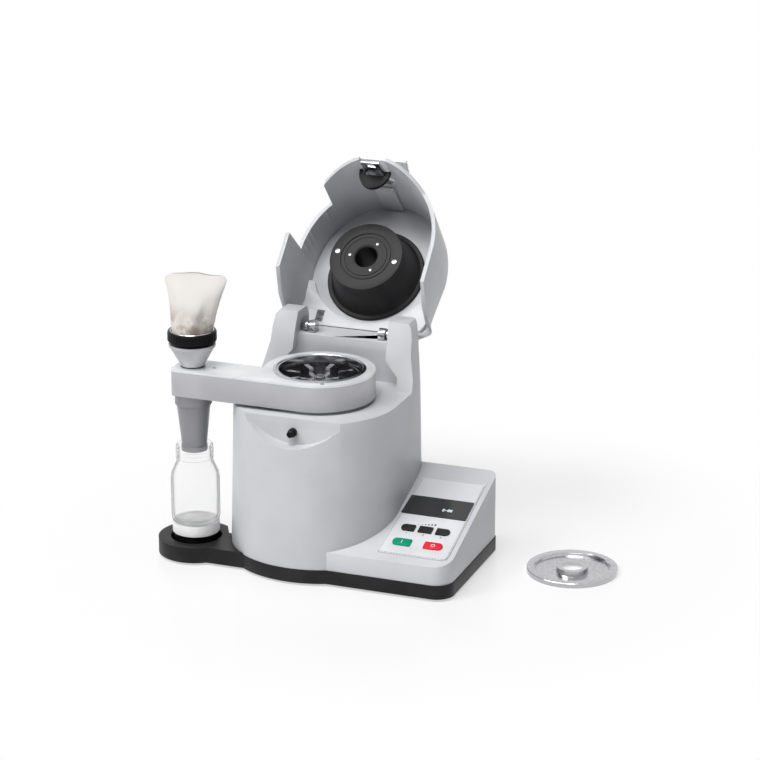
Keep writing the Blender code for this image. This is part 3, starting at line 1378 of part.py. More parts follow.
def lid_ring(height, inward, follow=False):
    """Plan of the hood at a height, or along its lower edge, bulging at the front."""
    rise = max(0.0, (height - LID_RIM) / (LID_TOP - LID_RIM))
    radius = LID_RADIUS + (LID_TOP_RADIUS - LID_RADIUS) * rise - inward
    bulge = LID_BULGE + (LID_TOP_BULGE - LID_BULGE) * rise
    outline = []
    for k in range(FRONT_FACETS + 1):
        angle = math.pi * (1 + k / FRONT_FACETS)
        reach = radius + bulge * math.sin(angle) ** TWICE_COUNT
        outline.append((reach * math.cos(angle), reach * math.sin(angle)))
    corner = LID_CORNER + (LID_TOP_CORNER - LID_CORNER) * rise - inward * HALF
    rear = LID_REAR - inward
    limit = min(LID_SIDE_END, rear - corner - GAP) / LID_SIDE_END
    side = [y * limit for y in (LID_SIDE_START, LID_SIDE_KNEE, LID_SIDE_END)]
    right = [(radius, y) for y in side]
    right += arc(radius - corner, rear - corner, corner, 0.0, QUARTER_TURN, CORNER_FACETS)
    outline += right
    outline += [(-x, y) for x, y in reversed(right)]
    pinch = LID_REAR_PINCH * rise
    shaped = []
    for x, y in outline:
        back = min(1.0, max(0.0, y / LID_SIDE_START))
        shaped.append((x - math.copysign(pinch * back, x), y))
    if not follow:
        return [(x, y, height) for x, y in shaped]
    lows = []
    for k, (x, y) in enumerate(shaped):
        before = FRONT_FACETS + 1 + len(side)
        beyond = before <= k < len(shaped) - len(side)
        lows.append(LID_REAR_RIM if beyond else min(lid_low(x, y), LID_END_RIM))
    return [(x, y, low) for (x, y), low in zip(shaped, lows)]


def make_lid():
    """Hood with its inner plate and the feed boss, in the closed place."""
    shoulder = LID_TOP - LID_SHOULDER
    rings = [
        lid_ring(LID_CEILING, LID_WALL),
        lid_ring(LID_RIM, LID_WALL, True),
        lid_ring(LID_RIM, 0.0, True),
        lid_ring(shoulder, 0.0),
        lid_ring(LID_TOP - LID_SHOULDER * HALF * HALF, LID_SHOULDER * HALF * HALF * TWICE),
        lid_ring(LID_TOP, LID_SHOULDER),
    ]
    shell = loft("lid_shell", rings, "paint")
    notch = block("lid_notch", -FAR, NOTCH_RIGHT, -FAR, NOTCH_BACK, REAR_HIGH, NOTCH_TOP)
    window = block(
        "latch_window",
        LATCH_X - WINDOW_HALF_WIDTH,
        LATCH_X + WINDOW_HALF_WIDTH,
        SMILE_FRONT,
        RIB_REAR,
        WINDOW_LOW,
        WINDOW_HIGH,
    )
    axle_bore = prism_x(
        "axle_bore",
        rod_outline(LATCH_AXLE_RADIUS + GAP, LATCH_AXLE_Y, LATCH_AXLE_Z),
        LATCH_X - LATCH_AXLE_HALF - GAP,
        LATCH_X + LATCH_AXLE_HALF + GAP,
    )
    feed = FEED_TUBE_RADIUS + GAP
    feed_hole = turned("feed_hole", [(0.0, FAR * TWICE), (feed, FAR * TWICE), (feed, FAR), (0.0, FAR)], "steel", (0.0, BOSS_Y))
    rear_deck = slab(
        "lid_rear_deck",
        rounded(-DECK_HALF_WIDTH, DECK_HALF_WIDTH, DECK_FRONT, DECK_BACK, (GAP, GAP, DECK_CORNER, DECK_CORNER)),
        DECK_UNDER,
        LID_CEILING + PLATE_THICK * HALF,
        "paint",
    )
    recess = [(0.0, LID_CEILING), (PLATE_RADIUS + GAP, LID_CEILING), (PLATE_RADIUS + GAP, FIN_TOP), (0.0, FIN_TOP)]
    arm_slots = [
        block(
            "arm_slot_" + side,
            HINGE_X + sign * HINGE_ARM_X - HINGE_SLOT_HALF,
            HINGE_X + sign * HINGE_ARM_X + HINGE_SLOT_HALF,
            HINGE_ARM_FRONT - HINGE_SLOT_HALF,
            HINGE_ARM_REAR - LID_WALL + GAP,
            FIN_TOP,
            LID_CEILING,
        )
        for side, sign in (("left", -1), ("right", 1))
    ]
    cut(rear_deck, turned("deck_recess", recess, "steel", (0.0, PLATE_Y), FINE), *arm_slots)
    cut(shell, rear_deck, kind="UNION")
    cut(shell, notch, window, axle_bore, feed_hole)
    plate_low = LID_CEILING - GAP - PLATE_THICK
    plate_bore = FEED_TUBE_RADIUS + GAP
    plate = turned(
        "lid_plate",
        bead(PLATE_RADIUS, plate_low, LID_CEILING - GAP, plate_bore),
        "paint",
        (0.0, PLATE_Y),
        FINE,
        ring=True,
    )
    plate_tube = turned("plate_tube", [(0.0, FAR * TWICE), (plate_bore + LID_WALL, FAR * TWICE), (plate_bore + LID_WALL, FAR), (0.0, FAR)], "steel", (0.0, BOSS_Y))
    cut(plate, plate_tube)
    flange_top = plate_low - GAP
    flange_low = flange_top - BOSS_FLANGE_THICK
    slope = (BOSS_NECK_RADIUS - BOSS_FACE_RADIUS) / (flange_low - BOSS_FACE_Z)
    groove = flange_low - BOSS_CHAMFER * TWICE
    groove_radius = BOSS_FACE_RADIUS + slope * (groove - BOSS_FACE_Z)
    boss = [
        (FEED_TUBE_RADIUS, FEED_TOP),
        (FEED_TUBE_RADIUS, flange_top),
        (BOSS_FLANGE_RADIUS, flange_top),
        (BOSS_FLANGE_RADIUS, flange_low + BOSS_GROOVE),
        (BOSS_FLANGE_RADIUS - BOSS_GROOVE, flange_low),
        (BOSS_NECK_RADIUS, flange_low),
        (groove_radius, groove),
        (groove_radius - BOSS_GROOVE, groove - BOSS_GROOVE * HALF),
        (groove_radius - BOSS_GROOVE, groove - BOSS_GROOVE * TWICE),
        (groove_radius - slope * BOSS_CHAMFER, groove - BOSS_CHAMFER),
        (BOSS_FACE_RADIUS, BOSS_FACE_Z + BOSS_CHAMFER),
        (BOSS_FACE_RADIUS - BOSS_CHAMFER, BOSS_FACE_Z),
        (BOSS_BORE + BOSS_GROOVE, BOSS_FACE_Z),
        (BOSS_BORE, BOSS_FACE_Z + BOSS_GROOVE),
        (BOSS_BORE, FEED_TOP),
    ]
    turned("feed_boss", boss, "black_plastic", (0.0, BOSS_Y), FINE, ring=True)
    block(
        "latch_rib",
        LATCH_X - RIB_HALF_WIDTH,
        LATCH_X + RIB_HALF_WIDTH,
        RIB_FRONT,
        RIB_REAR,
        RIB_LOW,
        LID_CEILING - GAP,
        "paint",
    )
    make_latch()


def make_latch():
    """Latch at the front of the hood: pocket plate, hook, axle and handle."""
    deep = POCKET_RADIUS * (1 + HALF * HALF)
    half_turns = [math.pi * k / COARSE for k in range(COARSE + 1)]
    plan = [(LATCH_X + POCKET_RADIUS * math.cos(a), POCKET_Y + deep * math.sin(a)) for a in half_turns]
    pocket = slab("latch_pocket", plan, POCKET_Z, POCKET_Z + POCKET_THICK, "black_plastic")
    slot_half = HOOK_HALF_WIDTH + GAP * TWICE
    slot = block(
        "pocket_slot",
        LATCH_X - slot_half,
        LATCH_X + slot_half,
        -FAR,
        HOOK_TIP_Y + HOOK_THICK * TWICE,
        POCKET_Z - POCKET_THICK,
        POCKET_Z + POCKET_THICK * TWICE,
    )
    cut(pocket, slot)
    plan = arc(LATCH_AXLE_Y, LATCH_AXLE_Z, HOOK_RING, 0.0, math.pi, SMALL)
    plan += [(HOOK_TIP_Y, HOOK_LOW), (HOOK_TIP_Y + HOOK_THICK, HOOK_LOW)]
    left = LATCH_X - HOOK_HALF_WIDTH
    right = LATCH_X + HOOK_HALF_WIDTH
    hook = prism_x("latch_hook", plan, left, right, "steel")
    eye = block(
        "hook_eye",
        LATCH_X - HOOK_EYE_HALF,
        LATCH_X + HOOK_EYE_HALF,
        -FAR,
        FAR,
        HOOK_EYE_LOW,
        HOOK_EYE_HIGH,
    )
    bore = prism_x("hook_bore", rod_outline(LATCH_AXLE_RADIUS + GAP, LATCH_AXLE_Y, LATCH_AXLE_Z), -FAR, FAR)
    cut(hook, eye, bore)
    axle = rod_outline(LATCH_AXLE_RADIUS, LATCH_AXLE_Y, LATCH_AXLE_Z)
    prism_x("latch_axle", axle, LATCH_X - LATCH_AXLE_HALF, LATCH_X + LATCH_AXLE_HALF, "steel")
    outer = HANDLE_Y - HANDLE_THICK
    middle = (HANDLE_LOW + HANDLE_HIGH) * HALF
    profile = [
        (HANDLE_Y - HANDLE_FLARE, HANDLE_LOW),
        (HANDLE_Y, middle),
        (HANDLE_Y, HANDLE_HIGH),
        (outer, HANDLE_HIGH),
        (outer, middle),
        (outer - HANDLE_FLARE, HANDLE_LOW),
    ]
    handle = prism_x("latch_handle", profile, LATCH_X - HANDLE_HALF_WIDTH, LATCH_X + HANDLE_HALF_WIDTH, "white_plastic")
    bridge = block(
        "handle_link",
        LATCH_X - HOOK_HALF_WIDTH * HALF,
        LATCH_X + HOOK_HALF_WIDTH * HALF,
        HANDLE_Y - HANDLE_THICK * HALF,
        LATCH_AXLE_Y - HOOK_RING - GAP,
        LATCH_AXLE_Z - HOOK_RING,
        LATCH_AXLE_Z + HOOK_RING,
        "white_plastic",
    )
    cut(handle, bridge, kind="UNION")
    return hook


def make_catch():
    """Pin on the front of the housing that the hook of the hood holds."""
    face = SMILE_REAR - GAP
    collar = face - PIN_COLLAR
    tip = face - PIN_REACH
    sections = ((PIN_RADIUS, face), (PIN_RADIUS, collar), (PIN_NECK_RADIUS, collar), (PIN_NECK_RADIUS, tip))
    rings = []
    for radius, y in sections:
        circle = arc(LATCH_X, PIN_Z, radius, 0.0, TWICE * math.pi - TWICE * math.pi / COARSE, COARSE - 1)
        rings.append([(x, y, z) for x, z in circle])
    loft("catch_pin", rings, "black_plastic")


def make_back():
    """Rear cover with vents, mains inlet and switch."""
    back = HOUSING_BACK - HOUSING_FOOT_RADIUS + housing_radius(REAR_LOW) + GAP
    outline = rounded(-REAR_HALF_WIDTH, REAR_HALF_WIDTH, REAR_LOW, REAR_HIGH, (KEY_LIFT * TWICE * TWICE,) * FOUR)
    panel = prism_y("rear_panel", outline, back, back + REAR_THICK, "paint")
    for k in range(VENT_COUNT):
        z = VENT_LOW + k * VENT_PITCH
        vent = block(
            "vent_" + str(k),
            -VENT_HALF_WIDTH,
            VENT_HALF_WIDTH,
            0.0,
            FAR,
            z - VENT_HALF_HEIGHT,
            z + VENT_HALF_HEIGHT,
        )
        cut(panel, vent)
    outer = back + REAR_THICK + GAP
    inlet = block(
        "mains_inlet",
        INLET_X - INLET_HALF_WIDTH,
        INLET_X + INLET_HALF_WIDTH,
        outer,
        outer + INLET_PROUD + INLET_PROUD,
        SOCKET_Z - INLET_HALF_HEIGHT,
        SOCKET_Z + INLET_HALF_HEIGHT,
        "black_plastic",
    )
    hollow = block(
        "inlet_hollow",
        INLET_X - INLET_HALF_WIDTH + INLET_PROUD,
        INLET_X + INLET_HALF_WIDTH - INLET_PROUD,
        outer + INLET_PROUD * HALF,
        FAR,
        SOCKET_Z - INLET_HALF_HEIGHT + INLET_PROUD,
        SOCKET_Z + INLET_HALF_HEIGHT - INLET_PROUD,
    )
    cut(inlet, hollow)
    frame = block(
        "switch_frame",
        SWITCH_X - SWITCH_HALF_WIDTH - INLET_PROUD,
        SWITCH_X + SWITCH_HALF_WIDTH + INLET_PROUD,
        outer,
        outer + SWITCH_DEPTH,
        SOCKET_Z - SWITCH_HALF_HEIGHT - INLET_PROUD,
        SOCKET_Z + SWITCH_HALF_HEIGHT + INLET_PROUD,
        "black_plastic",
    )
    opening = block(
        "switch_opening",
        SWITCH_X - SWITCH_HALF_WIDTH,
        SWITCH_X + SWITCH_HALF_WIDTH,
        outer + INLET_PROUD * HALF,
        FAR,
        SOCKET_Z - SWITCH_HALF_HEIGHT,
        SOCKET_Z + SWITCH_HALF_HEIGHT,
    )
    cut(inlet, frame, kind="UNION")
    cut(inlet, opening)
    axis_y = outer + SWITCH_DEPTH
    half = SWITCH_HALF_WIDTH - GAP * TWICE
    tall = SWITCH_HALF_HEIGHT - GAP * TWICE * TWICE
    rise = SWITCH_DEPTH * HALF
    plan = [(-half, -rise), (half, -rise), (half, rise * HALF), (0.0, 0.0), (-half, rise * HALF)]
    rocker = slab("mains_switch", plan, -tall, tall, "black_plastic")
    rocker.matrix_world = Matrix.Translation((SWITCH_X, axis_y, SOCKET_Z)) @ Matrix.Rotation(SWITCH_TILT, FOUR, "Z")
    return panel


def make_disc():
    """Loose steel cover disc, dished in steps, lying on the table."""
    rim = DISC_RIM_HEIGHT
    step = rim - DISC_STEP_DROP
    boss = step + DISC_BOSS_RISE - DISC_WALL
    wall = DISC_WALL
    profile = [
        (DISC_RADIUS - wall, rim),
        (DISC_RADIUS, rim - wall * HALF),
        (DISC_RADIUS, 0.0),
        (DISC_RADIUS - wall, 0.0),
        (DISC_RADIUS - wall, rim - wall),
        (DISC_STEP_RADIUS, rim - wall),
        (DISC_STEP_RADIUS - wall, step - wall),
        (DISC_DISH_RADIUS, step - wall * TWICE),
        (DISC_BOSS_RADIUS + wall, step - wall * TWICE),
        (DISC_BOSS_RADIUS, boss - wall),
        (DISC_HOLE, boss - wall),
        (DISC_HOLE, boss),
        (DISC_BOSS_RADIUS + wall, boss),
        (DISC_BOSS_RADIUS + wall * TWICE, step - wall),
        (DISC_DISH_RADIUS, step - wall),
        (DISC_STEP_RADIUS - wall * HALF, step),
        (DISC_STEP_RADIUS + wall, rim),
    ]
    turned("cover_disc", profile, "steel", (DISC_X, DISC_Y), FINE, ring=True)


LID_PIECES = (
    "lid_shell",
    "lid_plate",
    "feed_boss",
    "latch_rib",
    "latch_pocket",
    "latch_hook",
    "latch_axle",
    "latch_handle",
    "hinge_arm_left",
    "hinge_arm_right",
    "lid_notch",
    "lid_rear_deck",
    "deck_recess",
    "arm_slot_left",
    "arm_slot_right",
    "latch_window",
    "feed_hole",
    "plate_tube",
    "hook_eye",
    "hook_bore",
    "pocket_slot",
    "axle_bore",
    "handle_link",
    "arm_bore_left",
    "arm_bore_right",
)


def open_lid():
    """Hang the pieces of the hood on an empty at the hinge and turn it open."""
    hinge = bpy.data.objects.new("lid_hinge", None)
    link(hinge)
    place = Vector((0.0, HINGE_Y, HINGE_Z))
    for name in LID_PIECES:
        piece = bpy.data.objects[name]
        piece.parent = hinge
        piece.matrix_parent_inverse = Matrix.Translation(-place)
    hinge.location = place
    hinge.rotation_euler = (-LID_OPEN, 0.0, 0.0)


def centre_on_floor():
    """Shift everything so that the footprint is centred on the origin."""
    bpy.context.view_layer.update()
    graph = bpy.context.evaluated_depsgraph_get()
    xs = []
    ys = []
    for obj in bpy.data.collections["cyclone_mill"].objects:
        if obj.type == "EMPTY":
            continue
        shape = obj.evaluated_get(graph)
        mesh = shape.to_mesh()
        for vertex in mesh.vertices:
            place = shape.matrix_world @ vertex.co
            xs.append(place.x)
            ys.append(place.y)
        shape.to_mesh_clear()
    shift = Vector((-(min(xs) + max(xs)) * HALF, -(min(ys) + max(ys)) * HALF, 0.0))
    for obj in bpy.data.objects:
        if obj.parent is None:
            obj.location = obj.location + shift


def main():
    """Build the mill."""
    clear_scene()
    make_base()
    make_hinge(make_housing())
    make_console()
    make_motor()
    make_rotor()
    make_cassette()
    make_cyclone()
    make_jar()
    make_lid()
    make_catch()
    make_back()
    make_disc()
    open_lid()
    centre_on_floor()


main()
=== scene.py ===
"""Cyclone mill: paint, metals, cloth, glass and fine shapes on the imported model."""

import json
import math

import bmesh
import bpy
from bpy.props import FloatProperty, FloatVectorProperty, IntProperty, StringProperty
from mathutils import Matrix, Vector


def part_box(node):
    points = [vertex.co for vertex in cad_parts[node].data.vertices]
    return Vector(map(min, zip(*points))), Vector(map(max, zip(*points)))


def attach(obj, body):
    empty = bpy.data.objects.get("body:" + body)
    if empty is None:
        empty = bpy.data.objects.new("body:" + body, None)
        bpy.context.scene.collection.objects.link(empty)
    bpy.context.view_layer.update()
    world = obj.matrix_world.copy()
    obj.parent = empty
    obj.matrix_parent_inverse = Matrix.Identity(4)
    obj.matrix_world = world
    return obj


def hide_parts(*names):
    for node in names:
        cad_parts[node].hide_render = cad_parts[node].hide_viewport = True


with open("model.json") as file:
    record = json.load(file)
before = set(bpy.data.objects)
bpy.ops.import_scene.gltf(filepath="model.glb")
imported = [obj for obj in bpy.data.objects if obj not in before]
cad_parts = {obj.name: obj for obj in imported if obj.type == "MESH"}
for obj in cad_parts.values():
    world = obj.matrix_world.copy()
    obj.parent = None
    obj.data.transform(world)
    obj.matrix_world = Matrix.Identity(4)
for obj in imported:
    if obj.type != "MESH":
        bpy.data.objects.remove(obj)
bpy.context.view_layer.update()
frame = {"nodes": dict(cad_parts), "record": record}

bl_info = {
    "name": "Cyclone mill",
    "version": (1, 0, 0),
    "blender": (4, 5, 0),
    "location": "View3D > Sidebar > Mill",
    "description": "Dresses the packed cyclone mill piece by piece",
    "category": "Object",
}

BODY_OF = {node: body for body, nodes in frame["record"]["behaviour"]["bodies"].items() for node in nodes}
LOW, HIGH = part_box("rotor")
AXIS = Matrix.Translation(((LOW.x + HIGH.x) / 2.0, (LOW.y + HIGH.y) / 2.0, 0.0))

# Sizes in metres. The rotor axis is X 0, Y 0 and the table is Z 0.
GAP = 0.0003
FOOT_HEIGHT = 0.003
BASE_TOP = 0.0230
ARM_TOP = 0.026
DECK_TOP = 0.236
HOUSING_FOOT_RADIUS = 0.1245
HOUSING_TAPER = 0.0075
HOUSING_X = -0.0040
FIN_X = -0.0020
FIN_GAP_X = -0.0030
HINGE_X = -0.0015
HOUSING_BACK = 0.161
HOUSING_CORNER = 0.064
HOUSING_FOOT_CORNER = 0.084
HOUSING_SQUASH = 0.076
HOUSING_WALL = 0.007
JAR_CLEARANCE = 0.0465
CYCLONE_X = -HOUSING_FOOT_RADIUS - JAR_CLEARANCE
CYCLONE_Y = -0.050
ARM_END_RADIUS = 0.054
CASSETTE_BORE = 0.0623
CASSETTE_WALL = 0.0157
CASSETTE_RADIUS = CASSETTE_BORE + CASSETTE_WALL
CASSETTE_HEIGHT = 0.0385
HINGE_Y = 0.1125
HINGE_Z = 0.3025
LID_OPEN = math.radians(134.0)
CONSOLE_RIGHT = 0.2280
CONSOLE_FRONT = -0.104
CONSOLE_BACK = 0.110
CONSOLE_FRONT_TOP = 0.050
CONSOLE_BACK_TOP = 0.119
ROTOR_RADIUS = 0.050
DISC_X = 0.3520
DISC_Y = 0.0700
DISC_RADIUS = 0.0640

# Facets of the round shapes, and plain counts.
FINE = 128
MEDIUM = 96
COARSE = 48
SMALL = 40
CORNER_FACETS = 14
FRONT_FACETS = 96
HALF = 0.5
TWICE = 2.0
TWICE_COUNT = 2
QUARTER_TURN = math.pi / TWICE
MERGE = 0.00001

# Deck, fins beside the hinge and the bar between them.
FIN_TOP = 0.327
FIN_FRONT_LOW = 0.066
FIN_FRONT_HIGH = 0.096
FIN_TOE = 0.0915
FIN_WAIST = 0.071
FIN_INSIDE = 0.0690
FIN_TOE_Z = 0.254
FIN_WAIST_Z = 0.275
FIN_SHOULDER_Z = 0.284
FIN_SHOULDER = 0.1070
FIN_CROWN_Z = 0.306
FIN_CROWN = 0.1060
FIN_CHEEK_Z = 0.321
FIN_CHEEK = 0.1030
FIN_BROW = 0.0985
HINGE_SWEEP = 0.0290
SWEEP_START = math.radians(72.0)
SWEEP_END = math.radians(-20.0)
BACK_SLOPE_Y = 0.172
BACK_SLOPE_Z = 0.260
BAR_FRONT = 0.098
BAR_TOP = 0.295
DECK_THICK = 0.004
FAR = 0.300
CHAMBER_HOLE_RADIUS = 0.034

# Curved seat of the hood on the front of the housing.
SMILE_LOW = 0.1985
SMILE_HALF_WIDTH = 0.0910
SMILE_RISE = 0.050
SMILE_FACETS = 48
SMILE_FRONT = -0.150
SMILE_REAR = -0.0930

# Milling chamber.
CASSETTE_LOW = DECK_TOP + 0.005
CASSETTE_TOP = CASSETTE_LOW + CASSETTE_HEIGHT
COVER_THICK = 0.0035
CASSETTE_LEFT = CYCLONE_X - 0.024
CASSETTE_ARM_HALF = CASSETTE_RADIUS + CYCLONE_Y
CASSETTE_CORNER = 0.010
CHANNEL_HALF_WIDTH = 0.009
CHANNEL_LOW = CASSETTE_LOW + 0.008
CHANNEL_HIGH = CASSETTE_TOP - 0.009
CHANNEL_RIGHT = -0.030
CYCLONE_BORE = 0.0200
RING_FLANGE_RADIUS = CASSETTE_BORE + 0.0029
RING_FLANGE_THICK = 0.0016
RING_BODY_RADIUS = CASSETTE_BORE - GAP
RING_STEP_RADIUS = CASSETTE_BORE - 0.0013
RING_BORE = CASSETTE_BORE - 0.0048
RING_STEP = 0.0008
SIEVE_RADIUS = RING_BORE - 0.0020
SIEVE_WALL = 0.0010
SIEVE_BEAD = 0.0008
FLOOR_RADIUS = 0.0700
FLOOR_BORE = 0.0080

# Rotor and shaft.
ROTOR_DISC_THICK = 0.0040
ROTOR_LOW = CASSETTE_LOW + 0.0022
ROTOR_HUB_RADIUS = 0.0150
ROTOR_HUB_TOP = ROTOR_LOW + 0.0190
BLADE_COUNT = 8
BLADE_HALF_WIDTH = 0.0034
BLADE_INNER = 0.0300
BLADE_TOP = CASSETTE_TOP - 0.0085
SHAFT_RADIUS = 0.0060
STUD_RADIUS = 0.0040
NUT_RADIUS = 0.0085
NUT_HEIGHT = 0.0060
HEX = 6

# Cyclone, outlet, clamp ring, jar and its rest.
COLLAR_RADIUS = 0.0262
COLLAR_LOW = 0.2245
CONE_TOP_RADIUS = 0.0240
CONE_LOW_RADIUS = 0.0176
CONE_LOW = 0.1640
CONE_WALL = 0.0015
CONE_RIB = 0.0007
END_RING_RADIUS = 0.0185
END_RING_LOW = 0.1560
VORTEX_RADIUS = 0.0110
VORTEX_LOW = 0.2100
SEAL_THICK = 0.0012
SEAL_RADIUS = 0.0170
SEAL_BORE = 0.0140
FUNNEL_LOW_RADIUS = 0.0173
FUNNEL_TOP_RADIUS = 0.0328
FUNNEL_TOP = 0.3130
FUNNEL_LIP = 0.0040
CLAMP_RADIUS = 0.0345
CLAMP_LOW = 0.3135
CLAMP_CHAMFER = 0.0045
CLAMP_TOP = 0.3315
CLAMP_TEETH = 40
CLAMP_TOOTH_DEPTH = 0.0007
CLAMP_BORE = 0.0314
SOCK_COLLAR_BORE = 0.0292
SOCK_COLLAR_TOP = 0.3325
JAR_LOW = 0.0495
JAR_RADIUS = 0.0348
JAR_TOP = 0.1640
JAR_RIM_RADIUS = 0.0262
JAR_NECK_RADIUS = 0.0250
JAR_WALL = 0.0022
JAR_NECK_WALL = 0.0016
REST_RADIUS = 0.0335
REST_TOP = 0.0498
REST_LOW = 0.0215
REST_RIM = 0.0015
REST_DISH = 0.0006
REST_SKIRT = 0.0340
REST_SLEEVE = 0.0300
REST_BORE = 0.0180
REST_CEILING = 0.0440
REST_WELL_RADIUS = 0.0365
REST_WELL_FLOOR = 0.0080

# Hood, in its closed place.
LID_RIM = 0.2450
LID_TOP = 0.3680
LID_CEILING = 0.3500
LID_RADIUS = 0.1125
LID_TOP_RADIUS = 0.1025
LID_WALL = 0.0055
LID_REAR = 0.0960
LID_CORNER = 0.0080
LID_TOP_CORNER = 0.0340
LID_BULGE = 0.0120
LID_TOP_BULGE = 0.0200
LID_SIDE_START = 0.0530
LID_SIDE_KNEE = 0.0780
LID_KNEE_RIM = 0.2820
LID_SIDE_END = 0.0880
LID_END_RIM = 0.3215
LID_TIP_RIM = 0.2120
LID_TIP_HALF_WIDTH = 0.0780
LID_REAR_PINCH = 0.0060
LID_REAR_RIM = 0.3300
LID_SHOULDER = 0.0120
NOTCH_TOP = CASSETTE_TOP + 0.0130
NOTCH_BACK = -0.0040
NOTCH_RIGHT = -0.0755
PLATE_RADIUS = 0.0955
PLATE_Y = -0.0140
PLATE_THICK = 0.0030
DECK_UNDER = 0.3375
DECK_HALF_WIDTH = 0.0972
DECK_FRONT = 0.0220
DECK_BACK = 0.0930
DECK_CORNER = 0.0280
BOSS_FLANGE_RADIUS = 0.0730
BOSS_FLANGE_THICK = 0.0040
BOSS_NECK_RADIUS = 0.0660
BOSS_FACE_RADIUS = 0.0545
BOSS_FACE_Z = 0.2870
BOSS_GROOVE = 0.0012
BOSS_BORE = 0.0165
FEED_TUBE_RADIUS = 0.0230
FEED_TOP = 0.3800
SMALL_SCREW_CIRCLE = 0.0246
SMALL_SCREW_RADIUS = 0.0022
LARGE_SCREW_X = 0.0445
LARGE_SCREW_RADIUS = 0.00384
RIB_HALF_WIDTH = 0.0150
RIB_FRONT = -0.1155
RIB_REAR = -0.1116
RIB_LOW = 0.2860

# Latch of the hood.
LATCH_X = -0.0020
LATCH_AXLE_Y = -0.1199
LATCH_AXLE_Z = 0.2760
LATCH_AXLE_RADIUS = 0.0016
LATCH_AXLE_HALF = 0.0225
WINDOW_HALF_WIDTH = 0.0200
WINDOW_LOW = 0.2050
WINDOW_HIGH = 0.2820
POCKET_RADIUS = 0.0235
POCKET_Z = 0.2368
POCKET_THICK = 0.0050
POCKET_Y = -0.1140
HOOK_HALF_WIDTH = 0.0140
HOOK_THICK = 0.0025
HOOK_RING = 0.0040
HOOK_TIP_Y = -0.1110
HOOK_LOW = 0.2070
HOOK_EYE_HALF = 0.0062
HOOK_EYE_LOW = 0.2110
HOOK_EYE_HIGH = 0.2215
HANDLE_HALF_WIDTH = 0.0410
HANDLE_LOW = 0.2420
HANDLE_HIGH = 0.2840
HANDLE_THICK = 0.0035
HANDLE_Y = -0.1282
HANDLE_FLARE = 0.0060
PIN_RADIUS = 0.0062
PIN_NECK_RADIUS = 0.0045
PIN_Z = 0.2160
PIN_COLLAR = 0.0060
PIN_REACH = 0.0135

# Hinge.
HINGE_PIN_RADIUS = 0.0035
HINGE_ARM_X = 0.0635
HINGE_ARM_HALF = 0.0030
HINGE_ARM_ROUND = 0.0070
HINGE_ARM_FRONT = 0.0740
HINGE_ARM_REAR = 0.0945
HINGE_SLOT_HALF = 0.0060
HINGE_SLOT_LOW = 0.2640
LUG_X = 0.0535
LUG_HALF = 0.0050
LUG_ROUND = 0.0085

# Console.
CONSOLE_LEFT = 0.0300
CONSOLE_FRONT_CORNER = 0.0260
CONSOLE_BACK_CORNER = 0.0140
CONSOLE_WALL = 0.0030
CONSOLE_EDGE = 0.0015
LABEL_LEFT = 0.1270
LABEL_LEAN = 0.0080
LABEL_RIGHT = 0.2205
LABEL_START = 0.0160
LABEL_END = 0.1900
LABEL_THICK = 0.0012
LABEL_CORNER = 0.0120
DISPLAY_LEFT = 0.1275
DISPLAY_RIGHT = 0.2185
DISPLAY_START = 0.1040
DISPLAY_END = 0.1450
DISPLAY_THICK = 0.0010
DISPLAY_CORNER = 0.0015
KEY_LIFT = 0.0012
KEY_THICK = 0.0022
SPEED_KEY_START = 0.0670
SPEED_KEY_END = 0.0800
SPEED_KEYS_LEFT = 0.1352
SPEED_KEY_WIDTH = 0.0198
SPEED_KEY_PITCH = 0.0255
SPEED_KEY_ROUND = 0.0060
RUN_KEY_START = 0.0346
RUN_KEY_END = 0.0486
RUN_KEY_WIDTH = 0.0264
START_KEY_LEFT = 0.1337
STOP_KEY_LEFT = 0.1793
KEY_SHARP = 0.0010

# Base, feet and the back of the housing.
BASE_OVERHANG = 0.0010
BASE_EDGE = 0.0015
FOOT_RADIUS = 0.0100
FOOT_INSET = 0.0280
ARM_NECK_FRONT = -0.092
ARM_NECK_BACK = -0.028
ARM_NECK_LEFT = -0.130
ARM_NECK_RIGHT = -0.070
REAR_HALF_WIDTH = 0.070
REAR_LOW = 0.060
REAR_HIGH = 0.200
REAR_THICK = 0.0020
VENT_COUNT = 7
VENT_HALF_WIDTH = 0.045
VENT_HALF_HEIGHT = 0.0018
VENT_LOW = 0.118
VENT_PITCH = 0.0100
INLET_X = -0.0150
SWITCH_X = 0.0110
SOCKET_Z = 0.085
INLET_HALF_WIDTH = 0.0140
INLET_HALF_HEIGHT = 0.0110
INLET_PROUD = 0.0020
SWITCH_HALF_WIDTH = 0.0100
SWITCH_HALF_HEIGHT = 0.0070
SWITCH_TILT = math.radians(8.0)
SWITCH_DEPTH = 0.0070
REAR_SCREW_RADIUS = 0.0030
REAR_SCREW_INSET = 0.0070

# Steel cover disc lying on the table.
DISC_RIM_HEIGHT = 0.0070
DISC_WALL = 0.0016
DISC_STEP_RADIUS = 0.0520
DISC_STEP_DROP = 0.0045
DISC_DISH_RADIUS = 0.0300
DISC_BOSS_RADIUS = 0.0200
DISC_BOSS_RISE = 0.0065
DISC_HOLE = 0.0155
MATRIX_SIZE = 4
CORNERS = 4
HEX = 6
ARC_FACETS = 24
ROD_FACETS = 32
SHARP_ANGLE = math.radians(40.0)
SMOOTH_ANGLE = 35.0
SIDES = (("left", -1), ("right", 1))
CYCLONE = (CYCLONE_X, CYCLONE_Y)
HOOD_BODIES = ("lid", "latch")

# Turns that lay a flat outline along X or along Y.
ALONG_X = Matrix(((0.0, 0.0, 1.0), (1.0, 0.0, 0.0), (0.0, 1.0, 0.0))).to_4x4()
ALONG_Y = Matrix(((1.0, 0.0, 0.0), (0.0, 0.0, -1.0), (0.0, 1.0, 0.0))).to_4x4()

